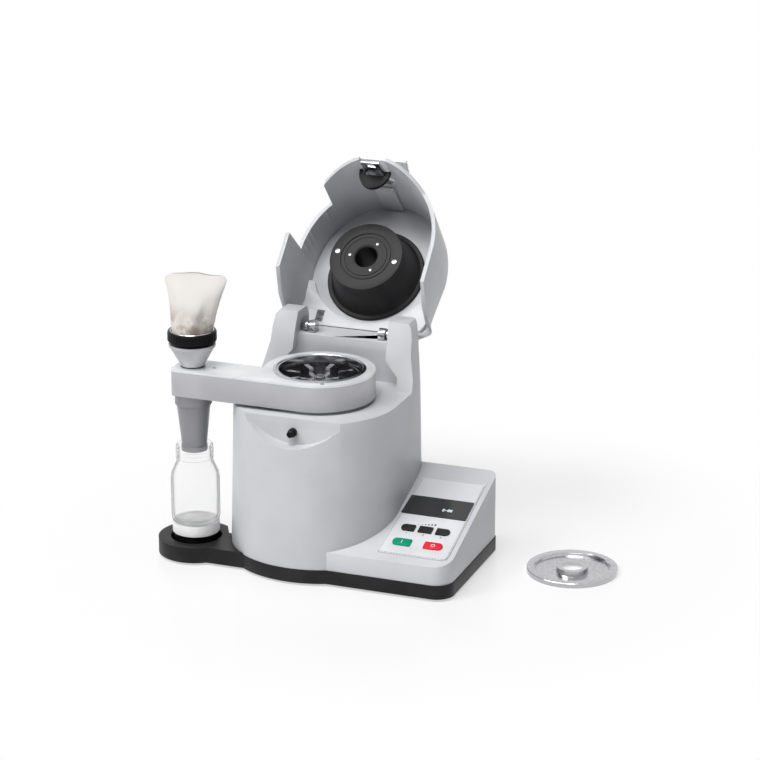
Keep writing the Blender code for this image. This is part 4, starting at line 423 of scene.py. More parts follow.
# Small sizes of the jar's arm, the clamp ring, the catch, the latch and the hood.
ARM_END_START = math.radians(58.0)
ARM_END_STOP = math.radians(308.0)
TOOTH_POINTS = 4
COLLAR_CHAMFER = 0.0006
PIN_CHAMFER = 0.0008
POCKET_DEPTH = 1.25
POCKET_FACETS = 64
SHOULDER_STEPS = 6

# Feed boss: drop and hollow of its neck, then what its rim, rings and mouth stand in from their edge and up.
BOSS_NECK = ((0.004, 0.0010), (0.012, 0.0024), (0.022, 0.0030), (0.034, 0.0026))
BOSS_RIM = ((0.0008, 0.0087), (0.0, 0.0075), (0.0, 0.0012), (0.0004, 0.0004), (0.0012, 0.0))
BOSS_RINGS = (
    (0.0384, 0.0), (0.0380, 0.0014), (0.0366, 0.0014), (0.0362, 0.0004),
    (0.0322, 0.0004), (0.0319, 0.0011), (0.0312, 0.0011), (0.0309, 0.0002),
)
BOSS_MOUTH = ((0.0024, 0.0002), (0.0020, 0.0010), (0.0010, 0.0010), (0.0, 0.0022))

# Jar, down its outside and then up its inside: distances in from a radius, with those from a height.
JAR_SHOULDER_DROP = 0.0270
JAR_BODY_DROP = 0.0500
JAR_NECK_DROP = 0.0035
JAR_FLARE = 0.0020
JAR_HOLLOW = 0.0012
JAR_FLOOR = 0.0045
JAR_LIP = 0.0008
JAR_RIM = ((0.0008, 0.0), (0.0, 0.0008), (0.0, 0.0020))
JAR_THREADS = (
    (0.0055, 0.0066, 0.0074, 0.0085), (0.0105, 0.0116, 0.0124, 0.0135), (0.0170, 0.0181, 0.0190, 0.0205),
)
JAR_SHOULDER = ((0.0045, 0.0080), (0.0012, 0.0150))
JAR_HEEL = ((0.0, 0.0080), (0.0006, 0.0045), (0.0022, 0.0018), (0.0055, 0.0))
JAR_BOWL = ((0.0050, 0.0040), (0.0012, 0.0062), (0.0, 0.0090))
REST_FLAT = 0.0060
REST_SLOPE = 0.0045
REST_CHAMFER = 0.0004
# Black sleeve over the stem of the rest, painted shade in the gap under the puck: how far it stands out and in.
SHADE_SLEEVE_PROUD = 0.0008
SHADE_SLEEVE_SUNK = 0.0002

# Screws: places, radius and how far the head stands out.
SMALL_SCREWS = 3
SMALL_SCREW_PROUD = 0.0008
LARGE_SCREW_Y = 0.0040
LARGE_SCREW_PROUD = 0.0010
REAR_SCREW_PROUD = 0.0012
COVER_SCREWS = (("cover_screw_front", -0.1380, -0.0500), ("cover_screw_right", 0.0296, -0.0640))
COVER_SCREW_RADIUS = 0.0030
COVER_SCREW_PROUD = 0.0007

# Marks on the console.
BORDER_INSET = 0.0012
MARK_THICK = 0.00012
LEGEND_THICK = 0.00010
LEGEND_INDENT = 0.0011
LEGEND_DROP = 0.0062
LEGEND_HEIGHT = 0.0036
DIGITS_THICK = 0.00008
DIGITS_X = 0.1800
DIGITS_Y = 0.1180
DIGITS_HEIGHT = 0.0048
DIGIT_WIDTH = 0.55
DIGIT_STROKE = 0.14
DIGIT_SPACE = 1.6
RISERS = 5
RISER_PITCH = 0.0046
RISER_WIDTH = 0.0022
RISER_LOW = 0.0850
RISER_STEP = 0.0009
SIGN_HALF_WIDTH = 0.0005
SIGN_RADIUS = 0.0030
SIGN_INNER = 0.0021

# Vents, and the blades in the mains inlet.
VENT_ROUND = 0.96
INLET_BLADES = ((-0.0060, -0.0040), (0.0, -0.0020), (0.0060, -0.0040))
BLADE_HALF = 0.0010
BLADE_FOOT = 0.0011
BLADE_TIP = 0.0036
BLADE_TALL = 0.0055

# Cloth, copper strands and soil of the materials.
SOCK_GIRTH = 0.028
THREAD_PITCH = 0.0009
STRAND_PITCH = 0.0012
SOIL_HIGH = 0.378
SOIL_LOW = 0.338

# Screen values into plain light.
SCREEN_WHITE = 255.0
TOE_LIMIT = 0.04045
TOE_SLOPE = 12.92
CURVE_LIFT = 0.055
CURVE_POWER = 2.4

# Table, room, lamps (degrees across and up) and camera.
WHITE = (1.0, 1.0, 1.0, 1.0)
SEEN_RAYS = ("Is Camera Ray", "Is Glossy Ray", "Is Transmission Ray")
FLOOR_REACH = 6.0
FLOOR_DROP = 0.0004
GLOW_START = 0.30
GLOW_END = 0.62
LAMPS = (("front_light", 0.0, 70.0), ("side_light", -45.0, 45.0))
LAMP_SPREAD = math.radians(30.0)
FILM_WIDTH = 36.0
CLIP_START = 0.1
CLIP_END = 50.0
CAMERA_PLACE = (1.3532, -3.3255, 1.4496)
VIEW_ACROSS = math.radians(20.8)
VIEW_DOWN = math.radians(18.3)

# Width and facets of the rounded edges, and the pieces that have them.
ROUNDINGS = (
    (0.0002, 2, "panel_label"),
    (0.0003, 2, "display_window inlet_blade_1 inlet_blade_2 inlet_blade_3"),
    (0.0004, 2, "rotor"),
    (0.0005, 2, "rotor_nut latch_hook rear_panel mains_inlet mains_switch"),
    (0.0006, 2, "hinge_arm_left hinge_arm_right latch_pocket"),
    (0.0006, 3, "speed_key_low speed_key_middle speed_key_high start_key stop_key"),
    (0.0007, 2, "cassette_body latch_rib"),
    (0.0008, 2, "lid_plate"),
    (0.0009, 3, "hinge_lug_left hinge_lug_right cassette_cover latch_handle"),
    (0.0010, 2, "lid_shell"),
    (0.0012, 3, "main_housing"),
    (0.0015, 3, "base_tray"),
    (0.0016, 3, "console_housing"),
    (0.0030, 4, "base_arm"),
)
EDGES = {name: (width, facets) for width, facets, names in ROUNDINGS for name in names.split()}

# Slots of the record, and the slot of each finish that isn't named for its own.
SLOTS = (
    "paint", "black_plastic", "rubber", "white_plastic", "aluminium", "steel",
    "glass", "cloth", "green_plastic", "red_plastic", "board", "copper",
)
SLOT_OF = {
    "label": "paint",
    "gloss_black": "black_plastic",
    "window": "black_plastic",
    "chrome_plastic": "steel",
    "milled_steel": "steel",
    # The cassette cover takes a paler copy of the aluminium: a painted highlight on the top of the cassette.
    "cover_metal": "aluminium",
    "cone_metal": "aluminium",
}

# Finishes of the pieces inside.
INSIDE = {
    "control_board": "board",
    "motor_stator": "copper",
    "motor_armature": "milled_steel",
    "motor_fan": "black_plastic",
    "motor_top_shield": "aluminium",
    "motor_bottom_shield": "aluminium",
    "shaft_bearing_top": "milled_steel",
    "shaft_bearing_bottom": "milled_steel",
    "jar_rest_spring": "milled_steel",
}


def tone(red, green, blue):
    """Colour of the shader from plain screen values."""
    def straight(value):
        value = value / SCREEN_WHITE
        if value <= TOE_LIMIT:
            return value / TOE_SLOPE
        return ((value + CURVE_LIFT) / (1.0 + CURVE_LIFT)) ** CURVE_POWER

    return (straight(red), straight(green), straight(blue), 1.0)


class Wire:
    """A socket of a node tree that takes part in sums."""

    def __init__(self, skin, socket):
        self.skin = skin
        self.socket = socket

    def sum(self, operation, *values):
        """Add one Math node."""
        return self.skin.node("ShaderNodeMath", {"operation": operation}, dict(enumerate(values)))

    def __add__(self, other):
        return self.sum("ADD", self, other)

    def __radd__(self, other):
        return self.sum("ADD", other, self)

    def __mul__(self, other):
        return self.sum("MULTIPLY", self, other)

    def __rmul__(self, other):
        return self.sum("MULTIPLY", other, self)

    def span(self, low, high, to_low=0.0, to_high=1.0):
        """Map a range on to another, smoothly and within its ends."""
        values = {"Value": self, "From Min": low, "From Max": high, "To Min": to_low, "To Max": to_high}
        return self.skin.node("ShaderNodeMapRange", {"interpolation_type": "SMOOTHSTEP"}, values)


class Skin:
    """A material in the making."""

    def __init__(self, name):
        self.material = bpy.data.materials.new("mill_" + name)
        self.material.use_nodes = True
        self.tree = self.material.node_tree
        self.shader = self.tree.nodes["Principled BSDF"]

    def put(self, socket, value):
        """Set a socket, or link it."""
        if isinstance(value, Wire):
            self.tree.links.new(value.socket, socket)
        else:
            socket.default_value = value

    def node(self, kind, settings=None, values=None, out=0):
        """Add a node: its settings first, then the values or links of its sockets."""
        made = self.tree.nodes.new(kind)
        for key, value in (settings or {}).items():
            setattr(made, key, value)
        for key, value in (values or {}).items():
            self.put(made.inputs[key], value)
        return Wire(self, made.outputs[out])

    def place(self, stretch=(1.0, 1.0, 1.0)):
        """Point on the piece, in its own metres, stretched."""
        at = self.node("ShaderNodeTexCoord", out="Object")
        return self.node("ShaderNodeVectorMath", {"operation": "MULTIPLY"}, {0: at, 1: stretch})

    def noise(self, scale, detail=2.0, rough=0.5, stretch=(1.0, 1.0, 1.0)):
        """Cloudy value from 0 to 1."""
        values = {"Vector": self.place(stretch), "Scale": scale, "Detail": detail, "Roughness": rough}
        return self.node("ShaderNodeTexNoise", {"noise_dimensions": "3D"}, values, "Fac")

    def cells(self, scale):
        """Distance to the nearest of many scattered points."""
        values = {"Vector": self.place(), "Scale": scale}
        return self.node("ShaderNodeTexVoronoi", {"feature": "F1"}, values, "Distance")

    def axes(self):
        """The three coordinates of the point, each as a value."""
        apart = self.tree.nodes.new("ShaderNodeSeparateXYZ")
        self.put(apart.inputs[0], self.place())
        return [Wire(self, output) for output in apart.outputs]

    def mix(self, share, first, second):
        """Blend two colours."""
        return self.node("ShaderNodeMix", {"data_type": "RGBA"}, {0: share, 6: first, 7: second}, 2)

    def bump(self, height, depth, strength):
        """Bump from a height value, with its depth in metres."""
        values = {"Height": height, "Distance": depth, "Strength": strength}
        return self.node("ShaderNodeBump", None, values, "Normal")

    def coat(self, **values):
        """Set or link inputs of the shader."""
        for key, value in values.items():
            self.put(self.shader.inputs[key.replace("_", " ").title().replace("Ior", "IOR")], value)
        return self.material


def shaded(colour, factor, lift=0.0):
    """A colour made darker or paler."""
    return tuple(min(1.0, c * factor + lift) for c in colour[:3]) + (1.0,)


def painted(name, colour, rough=0.36, grain=0.00002):
    """Powder paint: fine orange peel, a trace of unevenness in tone and gloss."""
    skin = Skin(name)
    cloud = skin.noise(scale=14.0, detail=3.0)
    peel = skin.noise(scale=1400.0, detail=2.0, rough=0.6)
    return skin.coat(
        base_color=skin.mix(cloud.span(0.3, 0.7), shaded(colour, 0.93), colour),
        roughness=cloud * 0.10 + (rough - 0.05) + peel * 0.06,
        normal=skin.bump(peel, grain * 6.0, 0.35),
    )


def moulded(name, colour, rough=0.42, depth=0.00006, shine=0.5):
    """Moulded plastic with a fine grain and worn, paler high spots."""
    skin = Skin(name)
    grain = skin.cells(1100.0)
    cloud = skin.noise(scale=30.0, detail=3.0)
    return skin.coat(
        base_color=skin.mix(cloud.span(0.35, 0.75), colour, shaded(colour, 1.35, 0.006)),
        roughness=cloud * 0.14 + (rough - 0.05) + grain * 0.08,
        normal=skin.bump(grain, depth, 0.5),
        specular_ior_level=shine,
    )


def cast_metal(name, colour, rough=0.36):
    """Blasted and clear-coated aluminium: even sparkle and soft reflections."""
    skin = Skin(name)
    grain = skin.noise(scale=2600.0, detail=2.0, rough=0.7)
    cloud = skin.noise(scale=18.0, detail=3.0)
    return skin.coat(
        base_color=skin.mix(cloud.span(0.3, 0.7), shaded(colour, 0.88), colour),
        metallic=0.55,
        roughness=rough - 0.04 + cloud * 0.10 + grain * 0.05,
        normal=skin.bump(grain, 0.00004, 0.4),
    )


def lathe_metal(name, colour, rough=0.16, pitch=0.0009):
    """Turned and polished steel: faint rings about the piece's own axis and fine scratches."""
    skin = Skin(name)
    x, y, _ = skin.axes()
    radius = (x * x + y * y).sum("SQRT", x * x + y * y)
    ring = (radius * (2.0 * math.pi / pitch)).sum("SINE", radius * (2.0 * math.pi / pitch))
    smear = skin.noise(scale=220.0, detail=3.0, rough=0.6, stretch=(1.0, 1.0, 6.0))
    return skin.coat(
        base_color=skin.mix(smear.span(0.3, 0.7), shaded(colour, 0.8), colour),
        metallic=1.0,
        roughness=smear * 0.12 + (rough - 0.04) + ring * 0.02,
        normal=skin.bump(ring * 0.5 + smear, 0.000012, 0.5),
    )


def milled_metal(name, colour, rough=0.22):
    """Milled or drawn steel: short straight marks and a slight stain."""
    skin = Skin(name)
    marks = skin.noise(scale=900.0, detail=3.0, rough=0.65, stretch=(1.0, 0.08, 1.0))
    stain = skin.noise(scale=35.0, detail=4.0)
    return skin.coat(
        base_color=skin.mix(stain.span(0.3, 0.75), shaded(colour, 0.78), colour),
        metallic=1.0,
        roughness=marks * 0.14 + (rough - 0.06) + stain * 0.05,
        normal=skin.bump(marks, 0.000015, 0.4),
    )


def rubbery(name, colour):
    """Dull rubber with a dusty bloom."""
    skin = Skin(name)
    bloom = skin.noise(scale=45.0, detail=4.0)
    grain = skin.noise(scale=1800.0, detail=2.0)
    return skin.coat(
        base_color=skin.mix(bloom.span(0.4, 0.8), colour, shaded(colour, 1.8, 0.01)),
        roughness=bloom * 0.12 + 0.68,
        normal=skin.bump(grain, 0.00006, 0.4),
    )


def jar_glass(name, colour):
    """Clear pressed glass with a faint ripple, and painted dark edges where it is seen edge on, standing in for
    refraction.
    """
    skin = Skin(name)
    ripple = skin.noise(scale=55.0, detail=2.0)
    facing = skin.node("ShaderNodeLayerWeight", None, {"Blend": 0.5}, "Facing")
    edge = facing.span(0.38, 0.94)
    return skin.coat(
        # Painted shade: the base colour turns dark grey where the glass is seen edge on.
        base_color=skin.mix(edge, colour, tone(74, 76, 78)),
        roughness=ripple * 0.02 + 0.02,
        normal=skin.bump(ripple, 0.0004, 0.12),
        alpha=edge * edge * 0.80 + 0.06,
    )


def woven(name, colour, soil):
    """Plain weave of fine white thread, with a little dust of the ground stuff low down."""
    skin = Skin(name)
    x, y, z = skin.axes()
    around_piece = y.sum("ARCTAN2", y, x) * (SOCK_GIRTH * 2.0 * math.pi / THREAD_PITCH)
    warp = around_piece.sum("SINE", around_piece)
    up = z * (2.0 * math.pi / THREAD_PITCH)
    weft = up.sum("SINE", up)
    weave = (warp * weft) * 0.5 + 0.5
    blotch = skin.noise(scale=42.0, detail=4.0, rough=0.6)
    low = z.span(SOIL_HIGH, SOIL_LOW)
    share = blotch.span(0.44, 0.62) * (low * 0.55) + low * 0.20 + blotch * 0.03
    thread = skin.mix(weave * 0.22, colour, shaded(colour, 0.72))
    return skin.coat(
        base_color=skin.mix(share, thread, soil),
        roughness=weave * 0.08 + 0.84,
        normal=skin.bump(weave + skin.noise(scale=300.0, detail=3.0) * 0.6, 0.00012, 0.5),
        sheen_weight=0.25,
    )


def sheet_glass(name, colour):
    """Smoked display window: gloss over black, with dust."""
    skin = Skin(name)
    dust = skin.noise(scale=900.0, detail=4.0, rough=0.7)
    smear = skin.noise(scale=26.0, detail=3.0)
    return skin.coat(
        base_color=skin.mix(dust.span(0.62, 0.8), colour, shaded(colour, 2.4, 0.008)),
        roughness=smear * 0.10 + 0.08,
        normal=skin.bump(smear, 0.00002, 0.3),
    )


def lit(name, colour, strength):
    """Lit marks of the display."""
    skin = Skin(name)
    flicker = skin.noise(scale=700.0, detail=1.0)
    dim = shaded(colour, 0.8)
    return skin.coat(
        base_color=skin.mix(flicker, dim, colour),
        emission_color=skin.mix(flicker, dim, colour),
        emission_strength=strength,
        roughness=flicker * 0.1 + 0.4,
    )


def wound(name, colour):
    """Lacquered copper winding: strands side by side."""
    skin = Skin(name)
    turn = skin.axes()[-1] * (2.0 * math.pi / STRAND_PITCH)
    strand = turn.sum("SINE", turn)
    cloud = skin.noise(scale=60.0, detail=3.0)
    return skin.coat(
        base_color=skin.mix(strand.span(-1.0, 1.0), shaded(colour, 0.45), colour),
        metallic=1.0,
        roughness=cloud * 0.2 + 0.25,
        normal=skin.bump(strand, 0.0002, 0.6),
    )


def circuit(name, colour):
    """Board with lacquer over faint tracks."""
    skin = Skin(name)
    tracks = skin.node("ShaderNodeTexBrick", None, {"Vector": skin.place(), "Scale": 90.0}, "Fac")
    cloud = skin.noise(scale=80.0, detail=3.0)
    return skin.coat(
        base_color=skin.mix(tracks, colour, shaded(colour, 1.6)),
        roughness=cloud * 0.15 + 0.3,
        normal=skin.bump(tracks, 0.00004, 0.5),
    )


FINISHES = {}


def finish(look):
    """The material of a named finish, made once."""
    if look in FINISHES:
        return FINISHES[look]
    tones = bpy.context.scene.mill_tones
    recipe = {
        "paint": lambda: painted(look, (*tones.paint, 1.0)),
        "label": lambda: painted(look, (*tones.label, 1.0), 0.30, 0.000008),
        "ink": lambda: moulded(look, tone(72, 72, 78), 0.5, 0.00001),
        "white_ink": lambda: moulded(look, tone(235, 235, 235), 0.5, 0.00001),
        "black_plastic": lambda: moulded(look, (*tones.black, 1.0), 0.40, shine=0.22),
        "gloss_black": lambda: moulded(look, tone(12, 11, 11), 0.26, 0.00001, 0.10),
        "white_plastic": lambda: moulded(look, tone(236, 236, 236), 0.36, 0.00003),
        "chrome_plastic": lambda: lathe_metal(look, tone(172, 172, 176), 0.16, 0.004),
        "green_plastic": lambda: moulded(look, tone(4, 138, 106), 0.50, 0.00003, 0.15),
        "red_plastic": lambda: moulded(look, tone(212, 44, 60), 0.50, 0.00003, 0.15),
        "aluminium": lambda: cast_metal(look, (*tones.aluminium, 1.0), 0.44),
        # Paler copy of the cast aluminium for the cover: painted highlight on the cassette's top.
        "cover_metal": lambda: cast_metal(look, tone(238, 239, 241), 0.46),
        "cone_metal": lambda: cast_metal(look, tone(150, 150, 155), 0.34),
        "steel": lambda: lathe_metal(look, (*tones.steel, 1.0)),
        "milled_steel": lambda: milled_metal(look, (*tones.steel, 1.0)),
        "rubber": lambda: rubbery(look, tone(26, 26, 27)),
        "glass": lambda: jar_glass(look, (0.985, 0.99, 0.99, 1.0)),
        "cloth": lambda: woven(look, (*tones.cloth, 1.0), tone(150, 128, 112)),
        "window": lambda: sheet_glass(look, tone(46, 46, 48)),
        "lit": lambda: lit(look, tone(225, 238, 240), 0.9),
        "copper": lambda: wound(look, tone(196, 120, 70)),
        "board": lambda: circuit(look, tone(24, 92, 52)),
    }
    FINISHES[look] = recipe[look]()
    return FINISHES[look]


def tube_faces(count, levels, closed):
    """Faces between rings of the same count: capped at both ends, or joined into a closed tube."""
    faces = []
    last = levels if closed else levels - 1
    for level in range(last):
        low = level * count
        high = (level + 1) % levels * count
        for k in range(count):
            after = (k + 1) % count
            faces.append((low + k, low + after, high + after, high + k))
    if not closed:
        faces.append(tuple(reversed(range(count))))
        faces.append(tuple(range((levels - 1) * count, levels * count)))
    return faces


def around(middle, half):
    """Both ends of a span about its middle."""
    return middle - half, middle + half


def arc(x, y, radius, start, end, facets):
    """Points of an arc, its ends included."""
    span = end - start
    angles = [start + span * k / facets for k in range(facets + 1)]
    return [(x + radius * math.cos(a), y + radius * math.sin(a)) for a in angles]


def rounded(left, right, front, back, corners):
    """Rectangle with its own radius at front left, front right, back right and back left."""
    places = (
        (left, front, 1, 1, TWICE),
        (right, front, -1, 1, TWICE + 1),
        (right, back, -1, -1, 0.0),
        (left, back, 1, -1, 1),
    )
    points = []
    for (x, y, side, rise, turn), radius in zip(places, corners):
        begin = turn * QUARTER_TURN
        end = begin + QUARTER_TURN
        points += arc(x + side * radius, y + rise * radius, radius, begin, end, CORNER_FACETS)
    return points


def horseshoe(radius, back, corner):
    """Half circle at the front with straight sides to a rounded back, anticlockwise from the left."""
    points = arc(0.0, 0.0, radius, math.pi, TWICE * math.pi, FRONT_FACETS)
    points += arc(radius - corner, back - corner, corner, 0.0, QUARTER_TURN, CORNER_FACETS)
    points += arc(corner - radius, back - corner, corner, QUARTER_TURN, math.pi, CORNER_FACETS)
    return points


def housing_radius(height):
    """Radius of the tapering housing at a height."""
    return HOUSING_FOOT_RADIUS - HOUSING_TAPER * (height - BASE_TOP) / (DECK_TOP - BASE_TOP)


def housing_ring(height, outward=0.0):
    """Plan of the housing at a height: at the foot its front is flatter and its back rounder."""
    radius = housing_radius(height)
    foot = (DECK_TOP - height) / (DECK_TOP - BASE_TOP)
    back = HOUSING_BACK - HOUSING_FOOT_RADIUS + radius
    corner = HOUSING_CORNER + (HOUSING_FOOT_CORNER - HOUSING_CORNER) * max(0.0, foot)
    ring = []
    for x, y in horseshoe(radius + outward, back + outward, corner + outward):
        flatter = HOUSING_SQUASH * foot * radius / (radius + outward) if y < 0.0 and foot > 0.0 else 0.0
        ring.append((x + HOUSING_X, y - y * flatter, height))
    return ring


def smile(extra=0.0):
    """Outline of (x, z) of the curved seat, anticlockwise seen from the front."""
    low = SMILE_LOW - extra
    half_width = SMILE_HALF_WIDTH + extra
    points = []
    for k in range(SMILE_FACETS + 1):
        share = TWICE * k / SMILE_FACETS - 1
        points.append((half_width * share, low + SMILE_RISE * share * share))
    points.append((half_width, FAR))
    points.append((-half_width, FAR))
    return points


def fin_front():
    """Outline of (y, z) of what is taken away in front of the fins."""
    slope = (FIN_FRONT_HIGH - FIN_FRONT_LOW) / (FIN_TOP - DECK_TOP)
    beyond = FIN_FRONT_LOW + slope * (FAR * TWICE - DECK_TOP)
    return [(-FAR, DECK_TOP), (FIN_FRONT_LOW, DECK_TOP), (beyond, FAR * TWICE), (-FAR, FAR * TWICE)]


def fin_gap(low):
    """Outline of (x, z) of the gap between the fins, above a height."""
    toe = FIN_TOE if low < FIN_TOE_Z else FIN_WAIST
    points = [(-toe, low), (toe, low)]
    if low < FIN_TOE_Z:
        points += [(FIN_TOE, FIN_TOE_Z), (FIN_WAIST, FIN_WAIST_Z)]
    points += [(FIN_INSIDE, FIN_TOP), (FIN_INSIDE, FAR * TWICE)]
    points += [(-FIN_INSIDE, FAR * TWICE), (-FIN_INSIDE, FIN_TOP)]
    if low < FIN_TOE_Z:
        points += [(-FIN_WAIST, FIN_WAIST_Z), (-FIN_TOE, FIN_TOE_Z)]
    return [(x + FIN_GAP_X, z) for x, z in points]


def fin_side(sign):
    """Outline of (x, z) taken away beside one fin, where it leans in and rounds over."""
    points = [
        (HOUSING_FOOT_RADIUS, DECK_TOP + HOUSING_WALL),
        (HOUSING_FOOT_RADIUS, FAR * TWICE),
        (FIN_BROW, FAR * TWICE),
        (FIN_BROW, FIN_TOP),
        (FIN_CHEEK, FIN_CHEEK_Z),
        (FIN_CROWN, FIN_CROWN_Z),
        (FIN_SHOULDER, FIN_SHOULDER_Z),
        (HOUSING_FOOT_RADIUS - HOUSING_TAPER - GAP, DECK_TOP + HOUSING_WALL),
    ]
    return [(sign * x + FIN_X, z) for x, z in points]


def rear_top():
    """Outline of (y, z) taken away behind the hinge, where the hood swings down."""
    points = arc(HINGE_Y, HINGE_Z, HINGE_SWEEP, SWEEP_START, SWEEP_END, CORNER_FACETS * TWICE_COUNT)
    points += [(BACK_SLOPE_Y, BACK_SLOPE_Z), (FAR, BACK_SLOPE_Z), (FAR, FAR * TWICE)]
    points.append((HINGE_Y + HINGE_SWEEP * math.cos(SWEEP_START), FAR * TWICE))
    return points


def circle(radius, x, y, facets):
    """Points of a whole circle."""
    return arc(x, y, radius, 0.0, TWICE * math.pi * (facets - 1) / facets, facets - 1)


def panel_matrix():
    """Frame of the sloping panel: X to the right, Y up the slope, Z out of it."""
    slope = math.atan2(CONSOLE_BACK_TOP - CONSOLE_FRONT_TOP, CONSOLE_BACK - CONSOLE_FRONT)
    corner = Matrix.Translation((0.0, CONSOLE_FRONT, CONSOLE_FRONT_TOP))
    return corner @ Matrix.Rotation(slope, MATRIX_SIZE, "X")


def leaned(outline):
    """Outline on the panel whose left side runs outward towards the front, as the label's does."""
    points = []
    for x, y in outline:
        share = (LABEL_RIGHT - x) / (LABEL_RIGHT - LABEL_LEFT) * (LABEL_END - y) / (LABEL_END - LABEL_START)
        points.append((x - LABEL_LEAN * share, y))
    return points


def key_plans():
    """Name, outline and look of each key."""
    ends = (
        (SPEED_KEY_ROUND, KEY_SHARP, KEY_SHARP, SPEED_KEY_ROUND),
        (KEY_SHARP,) * CORNERS,
        (KEY_SHARP, SPEED_KEY_ROUND, SPEED_KEY_ROUND, KEY_SHARP),
    )
    plans = []
    for k, (name, corners) in enumerate(zip(("speed_key_low", "speed_key_middle", "speed_key_high"), ends)):
        left = SPEED_KEYS_LEFT + k * SPEED_KEY_PITCH
        plan = rounded(left, left + SPEED_KEY_WIDTH, SPEED_KEY_START, SPEED_KEY_END, corners)
        plans.append((name, plan, "black_plastic"))
    for name, left, corners, look in (
        ("start_key", START_KEY_LEFT, ends[0], "green_plastic"),
        ("stop_key", STOP_KEY_LEFT, ends[-1], "red_plastic"),
    ):
        plans.append((name, rounded(left, left + RUN_KEY_WIDTH, RUN_KEY_START, RUN_KEY_END, corners), look))
    return plans


def outline_box(outline):
    """Middle and half size of an outline."""
    spans = [(min(values), max(values)) for values in zip(*outline)]
    middle = [(low + high) * HALF for low, high in spans]
    return middle, [(high - low) * HALF for low, high in spans]


def grown(outline, by):
    """Outline pushed outwards from its middle by a small distance."""
    (mid_x, mid_y), (wide, deep) = outline_box(outline)
    across, along = (wide + by) / wide, (deep + by) / deep
    return [(mid_x + (x - mid_x) * across, mid_y + (y - mid_y) * along) for x, y in outline]


def star(radius, hub, half_width, count):
    """Outline of a hub with radial blades."""
    points = []
    root = math.sqrt(hub * hub - half_width * half_width)
    tip = math.sqrt(radius * radius - half_width * half_width)
    for k in range(count):
        angle = TWICE * math.pi * k / count
        along = Vector((math.cos(angle), math.sin(angle)))
        across = Vector((-along.y, along.x))
        for reach, side in ((root, -1), (tip, -1), (tip, 1), (root, 1)):
            place = along * reach + across * half_width * side
            points.append((place.x, place.y))
    return points


def cassette_plan():
    """Round chamber with the arm that runs left to the cyclone."""
    back = CYCLONE_Y + CASSETTE_ARM_HALF
    left = CASSETTE_LEFT + CASSETTE_CORNER
    points = arc(left, back - CASSETTE_CORNER, CASSETTE_CORNER, QUARTER_TURN, math.pi, CORNER_FACETS)
    low_end = QUARTER_TURN * (TWICE + 1)
    points += arc(left, CASSETTE_CORNER - CASSETTE_RADIUS, CASSETTE_CORNER, math.pi, low_end, CORNER_FACETS)
    meet = math.asin(back / CASSETTE_RADIUS)
    points += arc(0.0, 0.0, CASSETTE_RADIUS, -QUARTER_TURN, math.pi - meet, FRONT_FACETS)
    return points


def lid_low(x, y):
    """Height of the lower edge of the hood's wall above one point of its plan."""
    if y >= LID_SIDE_END + GAP:
        return LID_REAR_RIM
    if y > LID_SIDE_KNEE:
        share = (y - LID_SIDE_KNEE) / (LID_SIDE_END - LID_SIDE_KNEE)
        return LID_KNEE_RIM + (LID_END_RIM - LID_KNEE_RIM) * share
    if y > LID_SIDE_START:
        share = (y - LID_SIDE_START) / (LID_SIDE_KNEE - LID_SIDE_START)
        return LID_RIM + (LID_KNEE_RIM - LID_RIM) * share
    share = min(1.0, abs(x) / LID_TIP_HALF_WIDTH)
    return LID_TIP_RIM + (LID_RIM - LID_TIP_RIM) * share * share if y < 0.0 else LID_RIM


def lid_ring(height, inward, follow=False):
    """Plan of the hood at a height, or along its lower edge, bulging at the front."""
    rise = max(0.0, (height - LID_RIM) / (LID_TOP - LID_RIM))
    radius = LID_RADIUS + (LID_TOP_RADIUS - LID_RADIUS) * rise - inward
    bulge = LID_BULGE + (LID_TOP_BULGE - LID_BULGE) * rise
    outline = []
    for k in range(FRONT_FACETS + 1):
        angle = math.pi * (1 + k / FRONT_FACETS)
        reach = radius + bulge * math.sin(angle) ** TWICE_COUNT
        outline.append((reach * math.cos(angle), reach * math.sin(angle)))
    corner = LID_CORNER + (LID_TOP_CORNER - LID_CORNER) * rise - inward * HALF
    rear = LID_REAR - inward
    limit = min(LID_SIDE_END, rear - corner - GAP) / LID_SIDE_END
    side = [y * limit for y in (LID_SIDE_START, LID_SIDE_KNEE, LID_SIDE_END)]
    right = [(radius, y) for y in side]
    right += arc(radius - corner, rear - corner, corner, 0.0, QUARTER_TURN, CORNER_FACETS)
    outline += right
    outline += [(-x, y) for x, y in reversed(right)]
    pinch = LID_REAR_PINCH * rise
    shaped = []
    for x, y in outline:
        back = min(1.0, max(0.0, y / LID_SIDE_START))
        shaped.append((x - math.copysign(pinch * back, x), y))
    if not follow:
        return [(x, y, height) for x, y in shaped]
    lows = []
    for k, (x, y) in enumerate(shaped):
        before = FRONT_FACETS + 1 + len(side)
        beyond = before <= k < len(shaped) - len(side)
        lows.append(LID_REAR_RIM if beyond else min(lid_low(x, y), LID_END_RIM))
    return [(x, y, low) for (x, y), low in zip(shaped, lows)]


OPEN_HOOD = (
    AXIS
    @ Matrix.Translation((0.0, HINGE_Y, HINGE_Z))
    @ Matrix.Rotation(-LID_OPEN, MATRIX_SIZE, "X")
    @ Matrix.Translation((0.0, -HINGE_Y, -HINGE_Z))
)
MADE = {}


def add(name, mesh, look, place=None):
    """Link a mesh as a piece in the making and note the finish that it will get."""
    obj = bpy.data.objects.new(name + "_piece", mesh)
    bpy.context.scene.collection.objects.link(obj)
    if place is not None:
        obj.matrix_world = place
    obj["look"] = look
    MADE[name] = obj
    return obj


def settle(obj):
    """Turn the modifiers of a piece into plain mesh."""
    bpy.context.view_layer.update()
    graph = bpy.context.evaluated_depsgraph_get()
    mesh = bpy.data.meshes.new_from_object(obj.evaluated_get(graph), depsgraph=graph)
    old = obj.data
    obj.modifiers.clear()
    obj.data = mesh
    bpy.data.meshes.remove(old)


